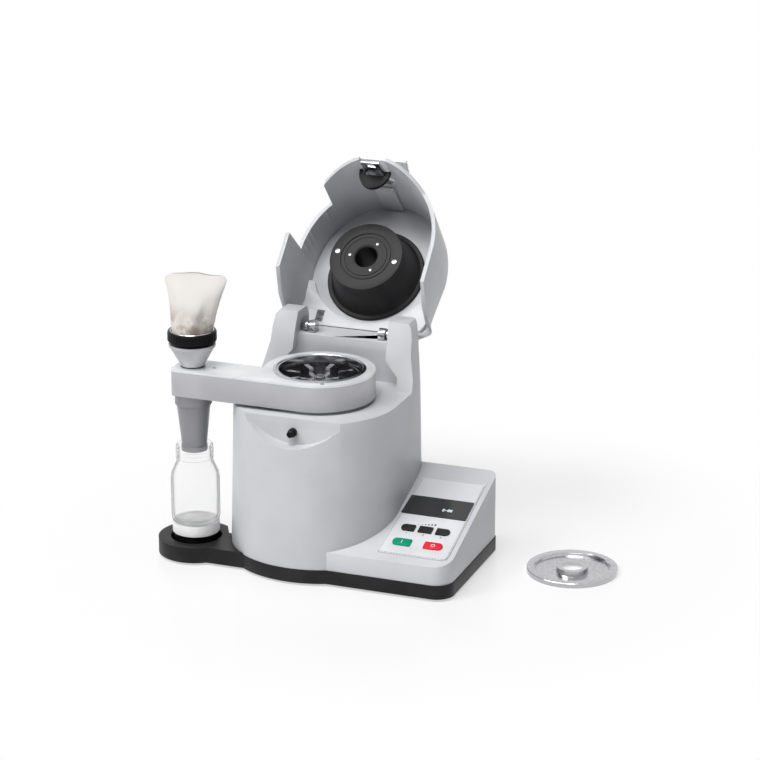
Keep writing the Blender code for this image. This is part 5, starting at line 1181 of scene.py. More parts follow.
def cut(obj, *tools, kind="DIFFERENCE"):
    """Cut or join a piece with tools that are then thrown away."""
    for tool in tools:
        change = obj.modifiers.new(tool.name, "BOOLEAN")
        change.operation = kind
        change.solver = "EXACT"
        change.object = tool
    settle(obj)
    for tool in tools:
        bpy.data.objects.remove(tool, do_unlink=True)


def from_mesh(name, points, faces, look, origin=(0.0, 0.0, 0.0)):
    """Piece from points given in the common frame, its origin where asked."""
    base = Vector(origin)
    mesh = bpy.data.meshes.new(name)
    mesh.from_pydata([Vector(point) - base for point in points], [], faces)
    mesh.update()
    return add(name, mesh, look, Matrix.Translation(base))


def loft(name, rings, look, closed=False, origin=(0.0, 0.0, 0.0)):
    """Skin a row of rings, each running anticlockwise seen from above."""
    points = [point for ring in rings for point in ring]
    return from_mesh(name, points, tube_faces(len(rings[0]), len(rings), closed), look, origin)


def flat(name, outline, thick, place, look):
    """Plate cut from a flat outline and placed by a matrix."""
    curve = bpy.data.curves.new(name, "CURVE")
    curve.dimensions = "2D"
    curve.fill_mode = "BOTH"
    curve.extrude = thick * HALF
    line = curve.splines.new("POLY")
    line.points.add(len(outline) - 1)
    for point, (x, y) in zip(line.points, outline):
        point.co = (x, y, 0.0, 1.0)
    line.use_cyclic_u = True
    drawn = bpy.data.objects.new(name, curve)
    bpy.context.scene.collection.objects.link(drawn)
    bpy.context.view_layer.update()
    graph = bpy.context.evaluated_depsgraph_get()
    mesh = bpy.data.meshes.new_from_object(drawn.evaluated_get(graph))
    bpy.data.objects.remove(drawn, do_unlink=True)
    bpy.data.curves.remove(curve)
    sewn = bmesh.new()
    sewn.from_mesh(mesh)
    bmesh.ops.remove_doubles(sewn, verts=sewn.verts, dist=MERGE)
    bmesh.ops.recalc_face_normals(sewn, faces=sewn.faces)
    sewn.to_mesh(mesh)
    sewn.free()
    mesh.transform(place)
    return add(name, mesh, look)


def slab(name, outline, low, high, look):
    """Flat plate with the given plan, between two heights."""
    return flat(name, outline, high - low, Matrix.Translation((0.0, 0.0, (low + high) * HALF)), look)


def prism_x(name, outline, left, right, look="steel"):
    """Plate whose outline of (y, z) runs along X."""
    middle = Matrix.Translation(((left + right) * HALF, 0.0, 0.0))
    return flat(name, outline, right - left, middle @ ALONG_X, look)


def prism_y(name, outline, front, back, look="steel"):
    """Plate whose outline of (x, z) runs along Y."""
    middle = Matrix.Translation((0.0, (front + back) * HALF, 0.0))
    return flat(name, outline, back - front, middle @ ALONG_Y, look)


def turned(name, profile, look, centre=(0.0, 0.0), steps=MEDIUM, ring=False):
    """Turn a profile of (radius, height), given down its outer side, about an upright axis."""
    mesh = bpy.data.meshes.new(name)
    edges = [(k, k + 1) for k in range(len(profile) - 1)]
    if ring:
        edges.append((len(profile) - 1, 0))
    mesh.from_pydata([(radius, 0.0, height) for radius, height in profile], edges, [])
    mesh.update()
    obj = add(name, mesh, look, Matrix.Translation((centre[0], centre[1], 0.0)))
    screw = obj.modifiers.new("turn", "SCREW")
    screw.axis = "Z"
    screw.steps = steps
    screw.render_steps = steps
    screw.use_merge_vertices = True
    screw.merge_threshold = MERGE
    screw.use_smooth_shade = False
    return obj


def block(name, left, right, front, back, low, high, look="steel"):
    """Plain block between six planes."""
    size = (right - left, back - front, high - low)
    middle = Vector((left + right, front + back, low + high)) * HALF
    cube = bmesh.new()
    bmesh.ops.create_cube(cube, size=1.0, matrix=Matrix.Translation(middle) @ Matrix.Diagonal((*size, 1.0)))
    mesh = bpy.data.meshes.new(name)
    cube.to_mesh(mesh)
    cube.free()
    return add(name, mesh, look)


def rod_x(name, radius, y, z, left=-FAR, right=FAR, facets=SMALL, look="steel"):
    """Rod that runs along X."""
    return prism_x(name, circle(radius, y, z, facets), left, right, look)


def plug(name, radius, low, high=FAR, centre=(0.0, 0.0), steps=MEDIUM):
    """Upright rod between two heights, most often a cutter."""
    return turned(name, [(0.0, high), (radius, high), (radius, low), (0.0, low)], "steel", centre, steps)


def hoop(name, outer, inner, low, high, look="steel", centre=(0.0, 0.0), steps=FINE):
    """Plain upright ring between two heights."""
    return turned(name, [(outer, high), (outer, low), (inner, low), (inner, high)], look, centre, steps, True)


def arm_slots(name, front, back, low, high):
    """Cutters around the two arms of the hinge."""
    return [
        block(name + side, *around(HINGE_X + sign * HINGE_ARM_X, HINGE_SLOT_HALF), front, back, low, high)
        for side, sign in SIDES
    ]


def soften(obj, width, segments):
    """Rounded sharp edges."""
    bevel = obj.modifiers.new("edges", "BEVEL")
    bevel.width = width
    bevel.segments = segments
    bevel.limit_method = "ANGLE"
    bevel.angle_limit = SHARP_ANGLE


def present(name, body=None, angle=SMOOTH_ANGLE, slot=None):
    """Finish one piece: round its edges, smooth it, give it its material, place it and let it ride.

    A piece that is given a body is trim, which stands for no node of the model.
    """
    obj = MADE[name]
    if name in EDGES:
        soften(obj, *EDGES[name])
    settle(obj)
    obj.data.shade_smooth()
    obj.data.set_sharp_from_angle(angle=math.radians(angle))
    look = obj["look"]
    obj.data.materials.clear()
    obj.data.materials.append(finish(look))
    carrier = body or BODY_OF[name]
    obj.matrix_world = (OPEN_HOOD if carrier in HOOD_BODIES else AXIS) @ obj.matrix_world
    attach(obj, carrier)
    if not body:
        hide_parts(name)
    slot = slot or SLOT_OF.get(look, look)
    slot in SLOTS


def on_panel(name, outline, low, high, look):
    """Flat piece on the sloping panel, its origin at the middle of its underside."""
    (mid_x, mid_y), _ = outline_box(outline)
    piece = slab(name, [(x - mid_x, y - mid_y) for x, y in outline], 0.0, high - low, look)
    piece.matrix_world = panel_matrix() @ Matrix.Translation((mid_x, mid_y, low))
    return piece


def marks(name, outlines, low, thick, look, body):
    """Add one piece of many small flat marks on the sloping panel."""
    points = []
    faces = []
    for outline in outlines:
        count = len(outline)
        start = len(points)
        points += [(x, y, low) for x, y in outline] + [(x, y, low + thick) for x, y in outline]
        faces.append(tuple(start + k for k in reversed(range(count))))
        faces.append(tuple(start + count + k for k in range(count)))
        for k in range(count):
            after = (k + 1) % count
            faces.append((start + k, start + after, start + count + after, start + count + k))
    from_mesh(name, points, faces, look).matrix_world = panel_matrix()
    present(name, body)


STROKES = {
    "0": "abcdef", "1": "bc", "2": "abged", "3": "abgcd", "4": "fgbc", "5": "afgcd",
    "6": "afgedc", "7": "abc", "8": "abcdefg", "9": "abcdfg", "-": "g",
}


def bar(left, low, right, high):
    """Outline of a small box."""
    return [(left, low), (right, low), (right, high), (left, high)]


def digits(text, x, y, height):
    """Bars of plain digits that start at a point of the panel."""
    wide = height * DIGIT_WIDTH
    thick = height * DIGIT_STROKE
    half = height * HALF
    places = {
        "a": (0.0, height - thick, wide, height),
        "b": (wide - thick, half, wide, height),
        "c": (wide - thick, 0.0, wide, half),
        "d": (0.0, 0.0, wide, thick),
        "e": (0.0, 0.0, thick, half),
        "f": (0.0, half, thick, height),
        "g": (0.0, half - thick * HALF, wide, half + thick * HALF),
    }
    bars = []
    for sign in text:
        for key in STROKES.get(sign, ""):
            left, low, right, high = places[key]
            bars.append(bar(x + left, y + low, x + right, y + high))
        x += wide + thick * DIGIT_SPACE
    return bars


def dashes(left, right, low, high, width=0.0006, long=0.0026, step=0.0040):
    """Short bars in a row along the four sides of a box."""
    bars = []
    for k in range(int((right - left) / step)):
        x = left + k * step
        bars += [bar(x, y, x + long, y + width) for y in (low, high - width)]
    for k in range(int((high - low) / step)):
        y = low + k * step
        bars += [bar(x, y, x + width, y + long) for x in (left, right - width)]
    return bars


def ring_strip(x, y, outer, inner):
    """Quads of a small ring."""
    out, into = circle(outer, x, y, ARC_FACETS), circle(inner, x, y, ARC_FACETS)
    after = [(k + 1) % ARC_FACETS for k in range(ARC_FACETS)]
    return [[out[k], out[j], into[j], into[k]] for k, j in enumerate(after)]


def screw(name, place, radius, proud, body):
    """Add a socket screw whose head stands out along Z of its place."""
    profile = [(0.0, proud), (radius * 0.8, proud), (radius, proud * 0.55), (radius, -proud), (0.0, -proud)]
    head = turned(name, profile, "milled_steel", steps=ROD_FACETS)
    hexagon = circle(radius * HALF, 0.0, 0.0, HEX)
    cut(head, slab(name + "_socket", hexagon, proud * 0.1, proud * 3.0, "milled_steel"))
    head.matrix_world = place
    present(name, body)


def make_housing():
    """Main housing: tapering shell, deck, two fins and the bar between them."""
    shell = loft("main_housing", [housing_ring(z) for z in (BASE_TOP + GAP, DECK_TOP, FIN_TOP)], "paint")
    low = housing_ring(BASE_TOP - HOUSING_WALL, -HOUSING_WALL)
    cavity = loft("housing_cavity", [low, housing_ring(DECK_TOP - DECK_THICK, -HOUSING_WALL)], "paint")
    cut(cavity, prism_y("smile_keep", smile(HOUSING_WALL), SMILE_FRONT, SMILE_REAR + HOUSING_WALL))
    reach = FIN_WAIST + HOUSING_WALL + GAP
    cut(
        shell,
        cavity,
        prism_x("fin_front_cut", fin_front(), -FAR, FAR),
        prism_y("between_fins", fin_gap(DECK_TOP), 0.0, BAR_FRONT),
        prism_y("above_bar", fin_gap(BAR_TOP), 0.0, FAR),
        prism_y("fin_side_right", fin_side(1), -FAR, FAR),
        prism_y("fin_side_left", fin_side(-1), -FAR, FAR),
        prism_x("rear_top_cut", rear_top(), -FAR, FAR),
        prism_y("smile_cut", smile(), SMILE_FRONT, SMILE_REAR),
        plug("chamber_hole", CHAMBER_HOLE_RADIUS, REAR_HIGH),
        *arm_slots("hinge_slot_", HINGE_Y, FAR, HINGE_SLOT_LOW, FAR),
        rod_x("pin_bore", HINGE_PIN_RADIUS + GAP, HINGE_Y, HINGE_Z, -reach, reach),
    )
    present("main_housing")


def make_hinge():
    """Arms of the hood, and the chromed lugs on the bar with their pins into the fins."""
    arm_plan = arc(HINGE_Y, HINGE_Z, HINGE_ARM_ROUND, -math.pi, QUARTER_TURN * HALF, SMALL)
    arm_plan += [(HINGE_ARM_REAR - LID_WALL, LID_REAR_RIM), (HINGE_ARM_REAR - LID_WALL, LID_CEILING - GAP)]
    arm_plan.append((HINGE_ARM_FRONT, LID_CEILING - GAP))
    lug_plan = arc(HINGE_Y, HINGE_Z, LUG_ROUND, 0.0, math.pi, ARC_FACETS)
    lug_plan += [(HINGE_Y - LUG_ROUND, BAR_TOP + GAP), (HINGE_Y + LUG_ROUND, BAR_TOP + GAP)]
    for side, sign in SIDES:
        span = around(HINGE_X + sign * HINGE_ARM_X, HINGE_ARM_HALF)
        arm = prism_x("hinge_arm_" + side, arm_plan, *span, "chrome_plastic")
        cut(arm, rod_x("arm_bore_" + side, HINGE_PIN_RADIUS + GAP, HINGE_Y, HINGE_Z))
        present("hinge_arm_" + side)
        middle = HINGE_X + sign * LUG_X
        lug = prism_x("hinge_lug_" + side, lug_plan, *around(middle, LUG_HALF), "chrome_plastic")
        ends = sorted((middle, sign * (FIN_WAIST + HOUSING_WALL)))
        pin = rod_x("lug_pin_" + side, HINGE_PIN_RADIUS, HINGE_Y, HINGE_Z, *ends, ROD_FACETS)
        cut(lug, pin, kind="UNION")
        present("hinge_lug_" + side)


def make_base():
    """Black tray under the housing and the console, the arm under the jar, and the feet."""
    ring = [(x, y) for x, y, _ in housing_ring(BASE_TOP, BASE_OVERHANG)]
    tray = slab("base_tray", ring, FOOT_HEIGHT + GAP, BASE_TOP, "black_plastic")
    front, back = CONSOLE_FRONT - BASE_OVERHANG, CONSOLE_BACK + BASE_OVERHANG
    corners = (BASE_EDGE, CONSOLE_FRONT_CORNER, CONSOLE_BACK_CORNER, BASE_EDGE)
    plan = rounded(CONSOLE_LEFT, CONSOLE_RIGHT + BASE_OVERHANG, front, back, corners)
    cut(tray, slab("tray_wing", plan, FOOT_HEIGHT + GAP, BASE_TOP, "black_plastic"), kind="UNION")
    present("base_tray")
    plan = arc(CYCLONE_X, CYCLONE_Y, ARM_END_RADIUS, ARM_END_START, ARM_END_STOP, FRONT_FACETS)
    plan += [(ARM_NECK_LEFT, ARM_NECK_FRONT), (ARM_NECK_RIGHT, ARM_NECK_FRONT)]
    plan += [(ARM_NECK_RIGHT, ARM_NECK_BACK), (ARM_NECK_LEFT, ARM_NECK_BACK)]
    arm = slab("base_arm", plan, FOOT_HEIGHT + GAP, ARM_TOP, "black_plastic")
    ring = [(x, y) for x, y, _ in housing_ring(BASE_TOP, BASE_OVERHANG + GAP)]
    keep_out = slab("arm_keep_out", ring, -BASE_TOP, ARM_TOP * TWICE, "steel")
    cut(arm, keep_out, plug("rest_well", REST_WELL_RADIUS, REST_WELL_FLOOR, ARM_TOP * TWICE, CYCLONE, FINE))
    present("base_arm")
    foot = [(0.0, FOOT_HEIGHT), (FOOT_RADIUS, FOOT_HEIGHT), (FOOT_RADIUS, FOOT_HEIGHT * HALF)]
    foot += [(FOOT_RADIUS - BASE_EDGE, 0.0), (0.0, 0.0)]
    side = CONSOLE_RIGHT - FOOT_INSET
    for name, place in (
        ("foot_back_left", (FOOT_INSET - HOUSING_FOOT_RADIUS, HOUSING_BACK - HOUSING_CORNER)),
        ("foot_front_right", (side, CONSOLE_FRONT + FOOT_INSET)),
        ("foot_back_right", (side, CONSOLE_BACK - FOOT_INSET)),
        ("foot_arm", CYCLONE),
    ):
        turned(name, foot, "rubber", place, COARSE)
        present(name)


def make_console():
    """Wedge beside the housing with its label, window, keys and plain legends."""
    corners = (CONSOLE_EDGE, CONSOLE_FRONT_CORNER, CONSOLE_BACK_CORNER, CONSOLE_EDGE)
    plan = rounded(CONSOLE_LEFT, CONSOLE_RIGHT, CONSOLE_FRONT, CONSOLE_BACK, corners)
    body = slab("console_housing", plan, BASE_TOP + GAP, CONSOLE_BACK_TOP + HOUSING_WALL, "paint")
    slope = (CONSOLE_BACK_TOP - CONSOLE_FRONT_TOP) / (CONSOLE_BACK - CONSOLE_FRONT)
    front, back = CONSOLE_FRONT - CONSOLE_WALL, CONSOLE_BACK + CONSOLE_WALL
    low, high = CONSOLE_FRONT_TOP - slope * CONSOLE_WALL, CONSOLE_BACK_TOP + slope * CONSOLE_WALL
    wedge = [(front, low), (back, high), (back, FAR), (front, FAR)]
    rings = [housing_ring(BASE_TOP - HOUSING_WALL, GAP), housing_ring(CONSOLE_BACK_TOP * TWICE, GAP)]
    cut(body, prism_x("console_top_cut", wedge, -FAR, FAR * TWICE), loft("console_keep_out", rings, "steel"))
    present("console_housing")
    corners = (DISPLAY_CORNER, LABEL_CORNER, DISPLAY_CORNER, DISPLAY_CORNER)
    plan = leaned(rounded(LABEL_LEFT, LABEL_RIGHT, LABEL_START, LABEL_END, corners))
    top = GAP + LABEL_THICK
    label = on_panel("panel_label", plan, GAP, top, "label")
    for name, outline, _ in key_plans():
        cut(label, on_panel(name + "_hole", grown(outline, GAP), -LABEL_THICK, LABEL_THICK * 4.0, "steel"))
    present("panel_label")
    inset = BORDER_INSET
    border = dashes(LABEL_LEFT + inset, LABEL_RIGHT - inset, LABEL_START + inset, LABEL_END - inset)
    marks("label_border", [leaned(dash) for dash in border], top, MARK_THICK, "ink", "mill")
    for name, outline, look in key_plans():
        on_panel(name, outline, KEY_LIFT, KEY_LIFT + KEY_THICK, look)
        present(name)
    plan = rounded(DISPLAY_LEFT, DISPLAY_RIGHT, DISPLAY_START, DISPLAY_END, (DISPLAY_CORNER,) * CORNERS)
    low = top + GAP
    face = low + DISPLAY_THICK
    on_panel("display_window", leaned(plan), low, face, "window")
    present("display_window")
    text = bpy.context.scene.mill_tones.display_digits
    marks("display_digits", digits(text, DIGITS_X, DIGITS_Y, DIGITS_HEIGHT), face, DIGITS_THICK, "lit", "mill")
    legend = []
    for k, sign in enumerate("123"):
        middle = SPEED_KEYS_LEFT + k * SPEED_KEY_PITCH + SPEED_KEY_WIDTH * HALF
        legend += digits(sign, middle - LEGEND_INDENT, SPEED_KEY_START - LEGEND_DROP, LEGEND_HEIGHT)
    for k in range(RISERS):
        x = SPEED_KEYS_LEFT + SPEED_KEY_PITCH + k * RISER_PITCH
        legend.append(bar(x, RISER_LOW, x + RISER_WIDTH, RISER_LOW + RISER_STEP * (k + 1)))
    marks("key_legend", legend, top, LEGEND_THICK, "ink", "mill")
    up = KEY_LIFT + KEY_THICK
    y = (RUN_KEY_START + RUN_KEY_END) * HALF
    x = START_KEY_LEFT + RUN_KEY_WIDTH * HALF
    line = bar(x - SIGN_HALF_WIDTH, y - SIGN_RADIUS, x + SIGN_HALF_WIDTH, y + SIGN_RADIUS)
    marks("start_sign", [line], up, MARK_THICK, "white_ink", "start_key_body")
    loop = ring_strip(STOP_KEY_LEFT + RUN_KEY_WIDTH * HALF, y, SIGN_RADIUS, SIGN_INNER)
    marks("stop_sign", loop, up, MARK_THICK, "white_ink", "stop_key_body")


def make_rotor():
    """Rotor with its eight blades, and its nut."""
    within = ROTOR_LOW + ROTOR_DISC_THICK * HALF
    plan = star(ROTOR_RADIUS, ROTOR_HUB_RADIUS, BLADE_HALF_WIDTH, BLADE_COUNT)
    blades = slab("rotor_blades", plan, within, BLADE_TOP, "steel")
    cut(blades, plug("rotor_inner_cut", BLADE_INNER, ROTOR_HUB_TOP))
    rotor = plug("rotor", ROTOR_RADIUS, ROTOR_LOW, ROTOR_LOW + ROTOR_DISC_THICK, steps=FINE)
    cut(rotor, blades, kind="UNION")
    hub = plug("rotor_hub", ROTOR_HUB_RADIUS + BLADE_HALF_WIDTH * HALF, within, ROTOR_HUB_TOP - GAP)
    cut(rotor, hub, kind="UNION")
    cut(rotor, plug("rotor_bore", SHAFT_RADIUS + GAP, 0.0, steps=COARSE))
    present("rotor")
    flats = circle(NUT_RADIUS, 0.0, 0.0, HEX)
    nut = slab("rotor_nut", flats, ROTOR_HUB_TOP, ROTOR_HUB_TOP + NUT_HEIGHT, "milled_steel")
    cut(nut, plug("nut_bore", STUD_RADIUS + GAP, 0.0, steps=ROD_FACETS))
    present("rotor_nut")


def make_cassette():
    """Milling cassette: body, screwed cover, chamber ring, ring sieve and the floor under the rotor."""
    seam = CASSETTE_TOP - COVER_THICK
    body = slab("cassette_body", cassette_plan(), CASSETTE_LOW, seam - GAP, "aluminium")
    # The cover gets the paler copy of the aluminium, a painted highlight on the top of the cassette.
    cover = slab("cassette_cover", cassette_plan(), seam, CASSETTE_TOP, "cover_metal")
    channel = (CYCLONE_X, CHANNEL_RIGHT, *around(CYCLONE_Y, CHANNEL_HALF_WIDTH), CHANNEL_LOW, CHANNEL_HIGH)
    cut(body, plug("body_bore", CASSETTE_BORE, REAR_HIGH, steps=FINE))
    cut(body, plug("body_well", CYCLONE_BORE, REAR_HIGH, centre=CYCLONE))
    cut(body, block("body_channel", *channel))
    present("cassette_body")
    cut(cover, plug("cover_bore", CASSETTE_BORE, REAR_HIGH, steps=FINE))
    cut(cover, plug("cover_outlet", VORTEX_RADIUS + GAP, REAR_HIGH, centre=CYCLONE, steps=COARSE))
    present("cassette_cover")
    step = CASSETTE_TOP + RING_FLANGE_THICK - RING_STEP
    ring = [
        (RING_STEP_RADIUS, CASSETTE_TOP + RING_FLANGE_THICK),
        (RING_FLANGE_RADIUS, step),
        (RING_FLANGE_RADIUS, CASSETTE_TOP + GAP),
        (RING_BODY_RADIUS, CASSETTE_TOP + GAP),
        (RING_BODY_RADIUS, CASSETTE_LOW + GAP),
        (RING_BORE, CASSETTE_LOW + GAP),
        (RING_BORE, step),
        (RING_STEP_RADIUS - RING_STEP, step),
    ]
    lining = turned("chamber_ring", ring, "steel", ring=True, steps=FINE)
    cut(lining, block("ring_channel", *channel))
    present("chamber_ring")
    sieve_top = CHANNEL_HIGH + SIEVE_BEAD * TWICE
    hoop("ring_sieve", SIEVE_RADIUS, SIEVE_RADIUS - SIEVE_WALL, CASSETTE_LOW + GAP, sieve_top)
    present("ring_sieve")
    hoop("chamber_floor", FLOOR_RADIUS, FLOOR_BORE, DECK_TOP + GAP, CASSETTE_LOW - GAP)
    present("chamber_floor")
    for name, x, y in COVER_SCREWS:
        screw(name, Matrix.Translation((x, y, CASSETTE_TOP)), COVER_SCREW_RADIUS, COVER_SCREW_PROUD, "cassette")


def make_cyclone():
    """Cyclone under the arm of the cassette and the outlet above it."""
    top = CASSETTE_LOW - GAP
    collar_bore = CONE_TOP_RADIUS + GAP
    collar = [
        (COLLAR_RADIUS, top),
        (COLLAR_RADIUS, COLLAR_LOW + CONE_RIB),
        (COLLAR_RADIUS - CONE_RIB, COLLAR_LOW),
        (collar_bore, COLLAR_LOW),
        (collar_bore, top),
    ]
    turned("cyclone_collar", collar, "cone_metal", CYCLONE, FINE, True)
    present("cyclone_collar")
    rib = COLLAR_LOW - CONE_WALL * TWICE
    low_inner = CONE_LOW_RADIUS - CONE_WALL
    cone = [
        (CONE_TOP_RADIUS, top),
        (CONE_TOP_RADIUS, rib),
        (CONE_TOP_RADIUS - CONE_RIB, rib - CONE_WALL),
        (CONE_LOW_RADIUS, CONE_LOW),
        (END_RING_RADIUS, CONE_LOW - GAP),
        (END_RING_RADIUS, END_RING_LOW),
        (low_inner, END_RING_LOW),
        (low_inner, CONE_LOW),
        (CONE_TOP_RADIUS - CONE_WALL * TWICE, rib - CONE_WALL),
        (CONE_TOP_RADIUS - CONE_WALL * TWICE, top),
    ]
    turned("cyclone_cone", cone, "cone_metal", CYCLONE, FINE, True)
    present("cyclone_cone", slot="steel")
    tube_inner = VORTEX_RADIUS - CONE_WALL
    hoop("vortex_tube", VORTEX_RADIUS, tube_inner, VORTEX_LOW, CASSETTE_TOP, centre=CYCLONE, steps=COARSE)
    present("vortex_tube")
    seal_low = CASSETTE_TOP + GAP
    hoop("funnel_seal", SEAL_RADIUS, SEAL_BORE, seal_low, seal_low + SEAL_THICK, "rubber", CYCLONE)
    present("funnel_seal")
    low = seal_low + SEAL_THICK + GAP
    lip = FUNNEL_TOP - FUNNEL_LIP
    funnel = [
        (FUNNEL_TOP_RADIUS, FUNNEL_TOP),
        (FUNNEL_TOP_RADIUS, lip),
        (FUNNEL_TOP_RADIUS - CONE_RIB, lip),
        (FUNNEL_LOW_RADIUS, low + CONE_WALL),
        (FUNNEL_LOW_RADIUS, low),
        (FUNNEL_LOW_RADIUS - CONE_WALL * TWICE, low),
        (FUNNEL_LOW_RADIUS - CONE_WALL, low + CONE_WALL),
        (FUNNEL_TOP_RADIUS - CONE_WALL * TWICE, lip),
        (FUNNEL_TOP_RADIUS - CONE_WALL * TWICE, FUNNEL_TOP),
    ]
    turned("outlet_funnel", funnel, "aluminium", CYCLONE, FINE, True)
    present("outlet_funnel")


def make_clamp():
    """Knurled clamp ring around the steel collar that holds the sock."""
    count = CLAMP_TEETH * TOOTH_POINTS
    shy = CLAMP_RADIUS - CLAMP_TOOTH_DEPTH
    levels = (
        (CLAMP_RADIUS - CLAMP_CHAMFER, CLAMP_LOW, False),
        (shy, CLAMP_LOW + CLAMP_CHAMFER - 0.0004, False),
        (CLAMP_RADIUS, CLAMP_LOW + CLAMP_CHAMFER, True),
        (CLAMP_RADIUS, CLAMP_TOP - 0.0022, True),
        (shy, CLAMP_TOP - 0.0018, False),
        (shy, CLAMP_TOP - 0.0008, False),
        (CLAMP_RADIUS - CLAMP_TOOTH_DEPTH * TWICE, CLAMP_TOP, False),
        (CLAMP_BORE, CLAMP_TOP, False),
        (CLAMP_BORE, CLAMP_LOW + CLAMP_CHAMFER, False),
        (CLAMP_BORE - CLAMP_TOOTH_DEPTH * TWICE, CLAMP_LOW, False),
    )
    rings = []
    for radius, height, toothed in levels:
        ring = []
        for k in range(count):
            angle = TWICE * math.pi * k / count
            out = radius - (CLAMP_TOOTH_DEPTH if toothed and k % TOOTH_POINTS > 1 else 0.0)
            ring.append((CYCLONE_X + out * math.cos(angle), CYCLONE_Y + out * math.sin(angle), height))
        rings.append(ring)
    loft("sock_clamp_ring", rings, "gloss_black", True, (*CYCLONE, 0.0))
    present("sock_clamp_ring")
    lip = SOCK_COLLAR_TOP - COLLAR_CHAMFER
    collar = [
        (CLAMP_BORE - GAP, lip),
        (CLAMP_BORE - GAP, CLAMP_LOW + CLAMP_CHAMFER),
        (SOCK_COLLAR_BORE, CLAMP_LOW + CLAMP_CHAMFER),
        (SOCK_COLLAR_BORE, lip),
        (SOCK_COLLAR_BORE + COLLAR_CHAMFER, SOCK_COLLAR_TOP),
        (CLAMP_BORE - GAP - COLLAR_CHAMFER, SOCK_COLLAR_TOP),
    ]
    turned("sock_collar", collar, "steel", CYCLONE, FINE, True)
    present("sock_collar")


# Height, half width, half depth, sideways shift and depth of the folds at levels of the sock, from below.
SOCK_LEVELS = (
    (0.3100, 0.0282, 0.0282, 0.0000, 0.0002),
    (0.3330, 0.0281, 0.0281, 0.0000, 0.0006),
    (0.3380, 0.0290, 0.0284, 0.0010, 0.0022),
    (0.3460, 0.0303, 0.0270, 0.0026, 0.0026),
    (0.3580, 0.0328, 0.0250, 0.0040, 0.0018),
    (0.3700, 0.0360, 0.0215, 0.0050, 0.0010),
    (0.3820, 0.0392, 0.0175, 0.0055, 0.0004),
    (0.3940, 0.0425, 0.0120, 0.0062, 0.0002),
    (0.4060, 0.0458, 0.0055, 0.0070, 0.0001),
    (0.4140, 0.0472, 0.0016, 0.0072, 0.0000),
)
SOCK_BEND = 0.0030
SOCK_CORNER = 0.45
SOCK_FAR_CORNER = 0.72
SOCK_DROP = 0.0110
SOCK_FAR_DROP = 0.0050
SOCK_CROWN = 0.0010
SOCK_WAVE = 0.0007
SOCK_EASE = 0.0024
SOCK_THICK = 0.0005
SOCK_ROWS = 64
SOCK_FACETS = 180


def sock_level(height):
    """Sizes of the sock at any height, eased between the levels."""
    for below, upper in zip(SOCK_LEVELS, SOCK_LEVELS[1:]):
        if height <= upper[0]:
            share = (height - below[0]) / (upper[0] - below[0])
            return [a + (b - a) * share for a, b in zip(below, upper)]
    return list(SOCK_LEVELS[-1])


def make_sock():
    """Cloth sock: gathered in its ring, full above it and sewn flat along its top edge."""
    bottom = SOCK_LEVELS[0][0]
    top = SOCK_LEVELS[-1][0]
    rings = []
    for level in range(SOCK_ROWS + 1):
        height = bottom + (top - bottom) * level / SOCK_ROWS
        window = [sock_level(min(top, max(bottom, height + k * SOCK_EASE))) for k in (-1, 0, 1)]
        wide, deep, shift, fold = [sum(values) / len(window) for values in list(zip(*window))[1:]]
        rise = (height - bottom) / (top - bottom)
        ring = []
        for k in range(SOCK_FACETS):
            angle = TWICE * math.pi * k / SOCK_FACETS
            soft = math.sin(5.0 * angle + 0.8 + 3.0 * rise) + 0.7 * math.sin(8.0 * angle - 2.0 * rise)
            ripple = fold * (0.8 * soft - 0.5 * abs(math.sin(3.5 * angle + 1.2 * rise)))
            across = (wide + ripple) * math.cos(angle)
            along = (deep + ripple) * math.sin(angle)
            share = across / wide
            bend = SOCK_BEND * rise * rise * math.sin(math.pi * share)
            bend += SOCK_WAVE * rise * math.sin(5.0 * share + 2.5 * rise)
            near = max(0.0, -share - SOCK_CORNER) / (1.0 - SOCK_CORNER)
            away = max(0.0, share - SOCK_FAR_CORNER) / (1.0 - SOCK_FAR_CORNER)
            lift = SOCK_CROWN * math.cos(TWICE * math.pi * share) - SOCK_DROP * near * near
            lift = rise ** 3 * (lift - SOCK_FAR_DROP * away * away)
            ring.append((CYCLONE_X + across + shift, CYCLONE_Y + along + bend, height + lift))
        rings.append(ring)
    points = [point for ring in rings for point in ring]
    walls = tube_faces(SOCK_FACETS, len(rings), False)[:-2]
    sock = from_mesh("filter_sock", points, walls, "cloth", (*CYCLONE, 0.0))
    cloth = sock.modifiers.new("cloth", "SOLIDIFY")
    cloth.thickness = SOCK_THICK
    cloth.offset = -1.0
    present("filter_sock", angle=80.0)


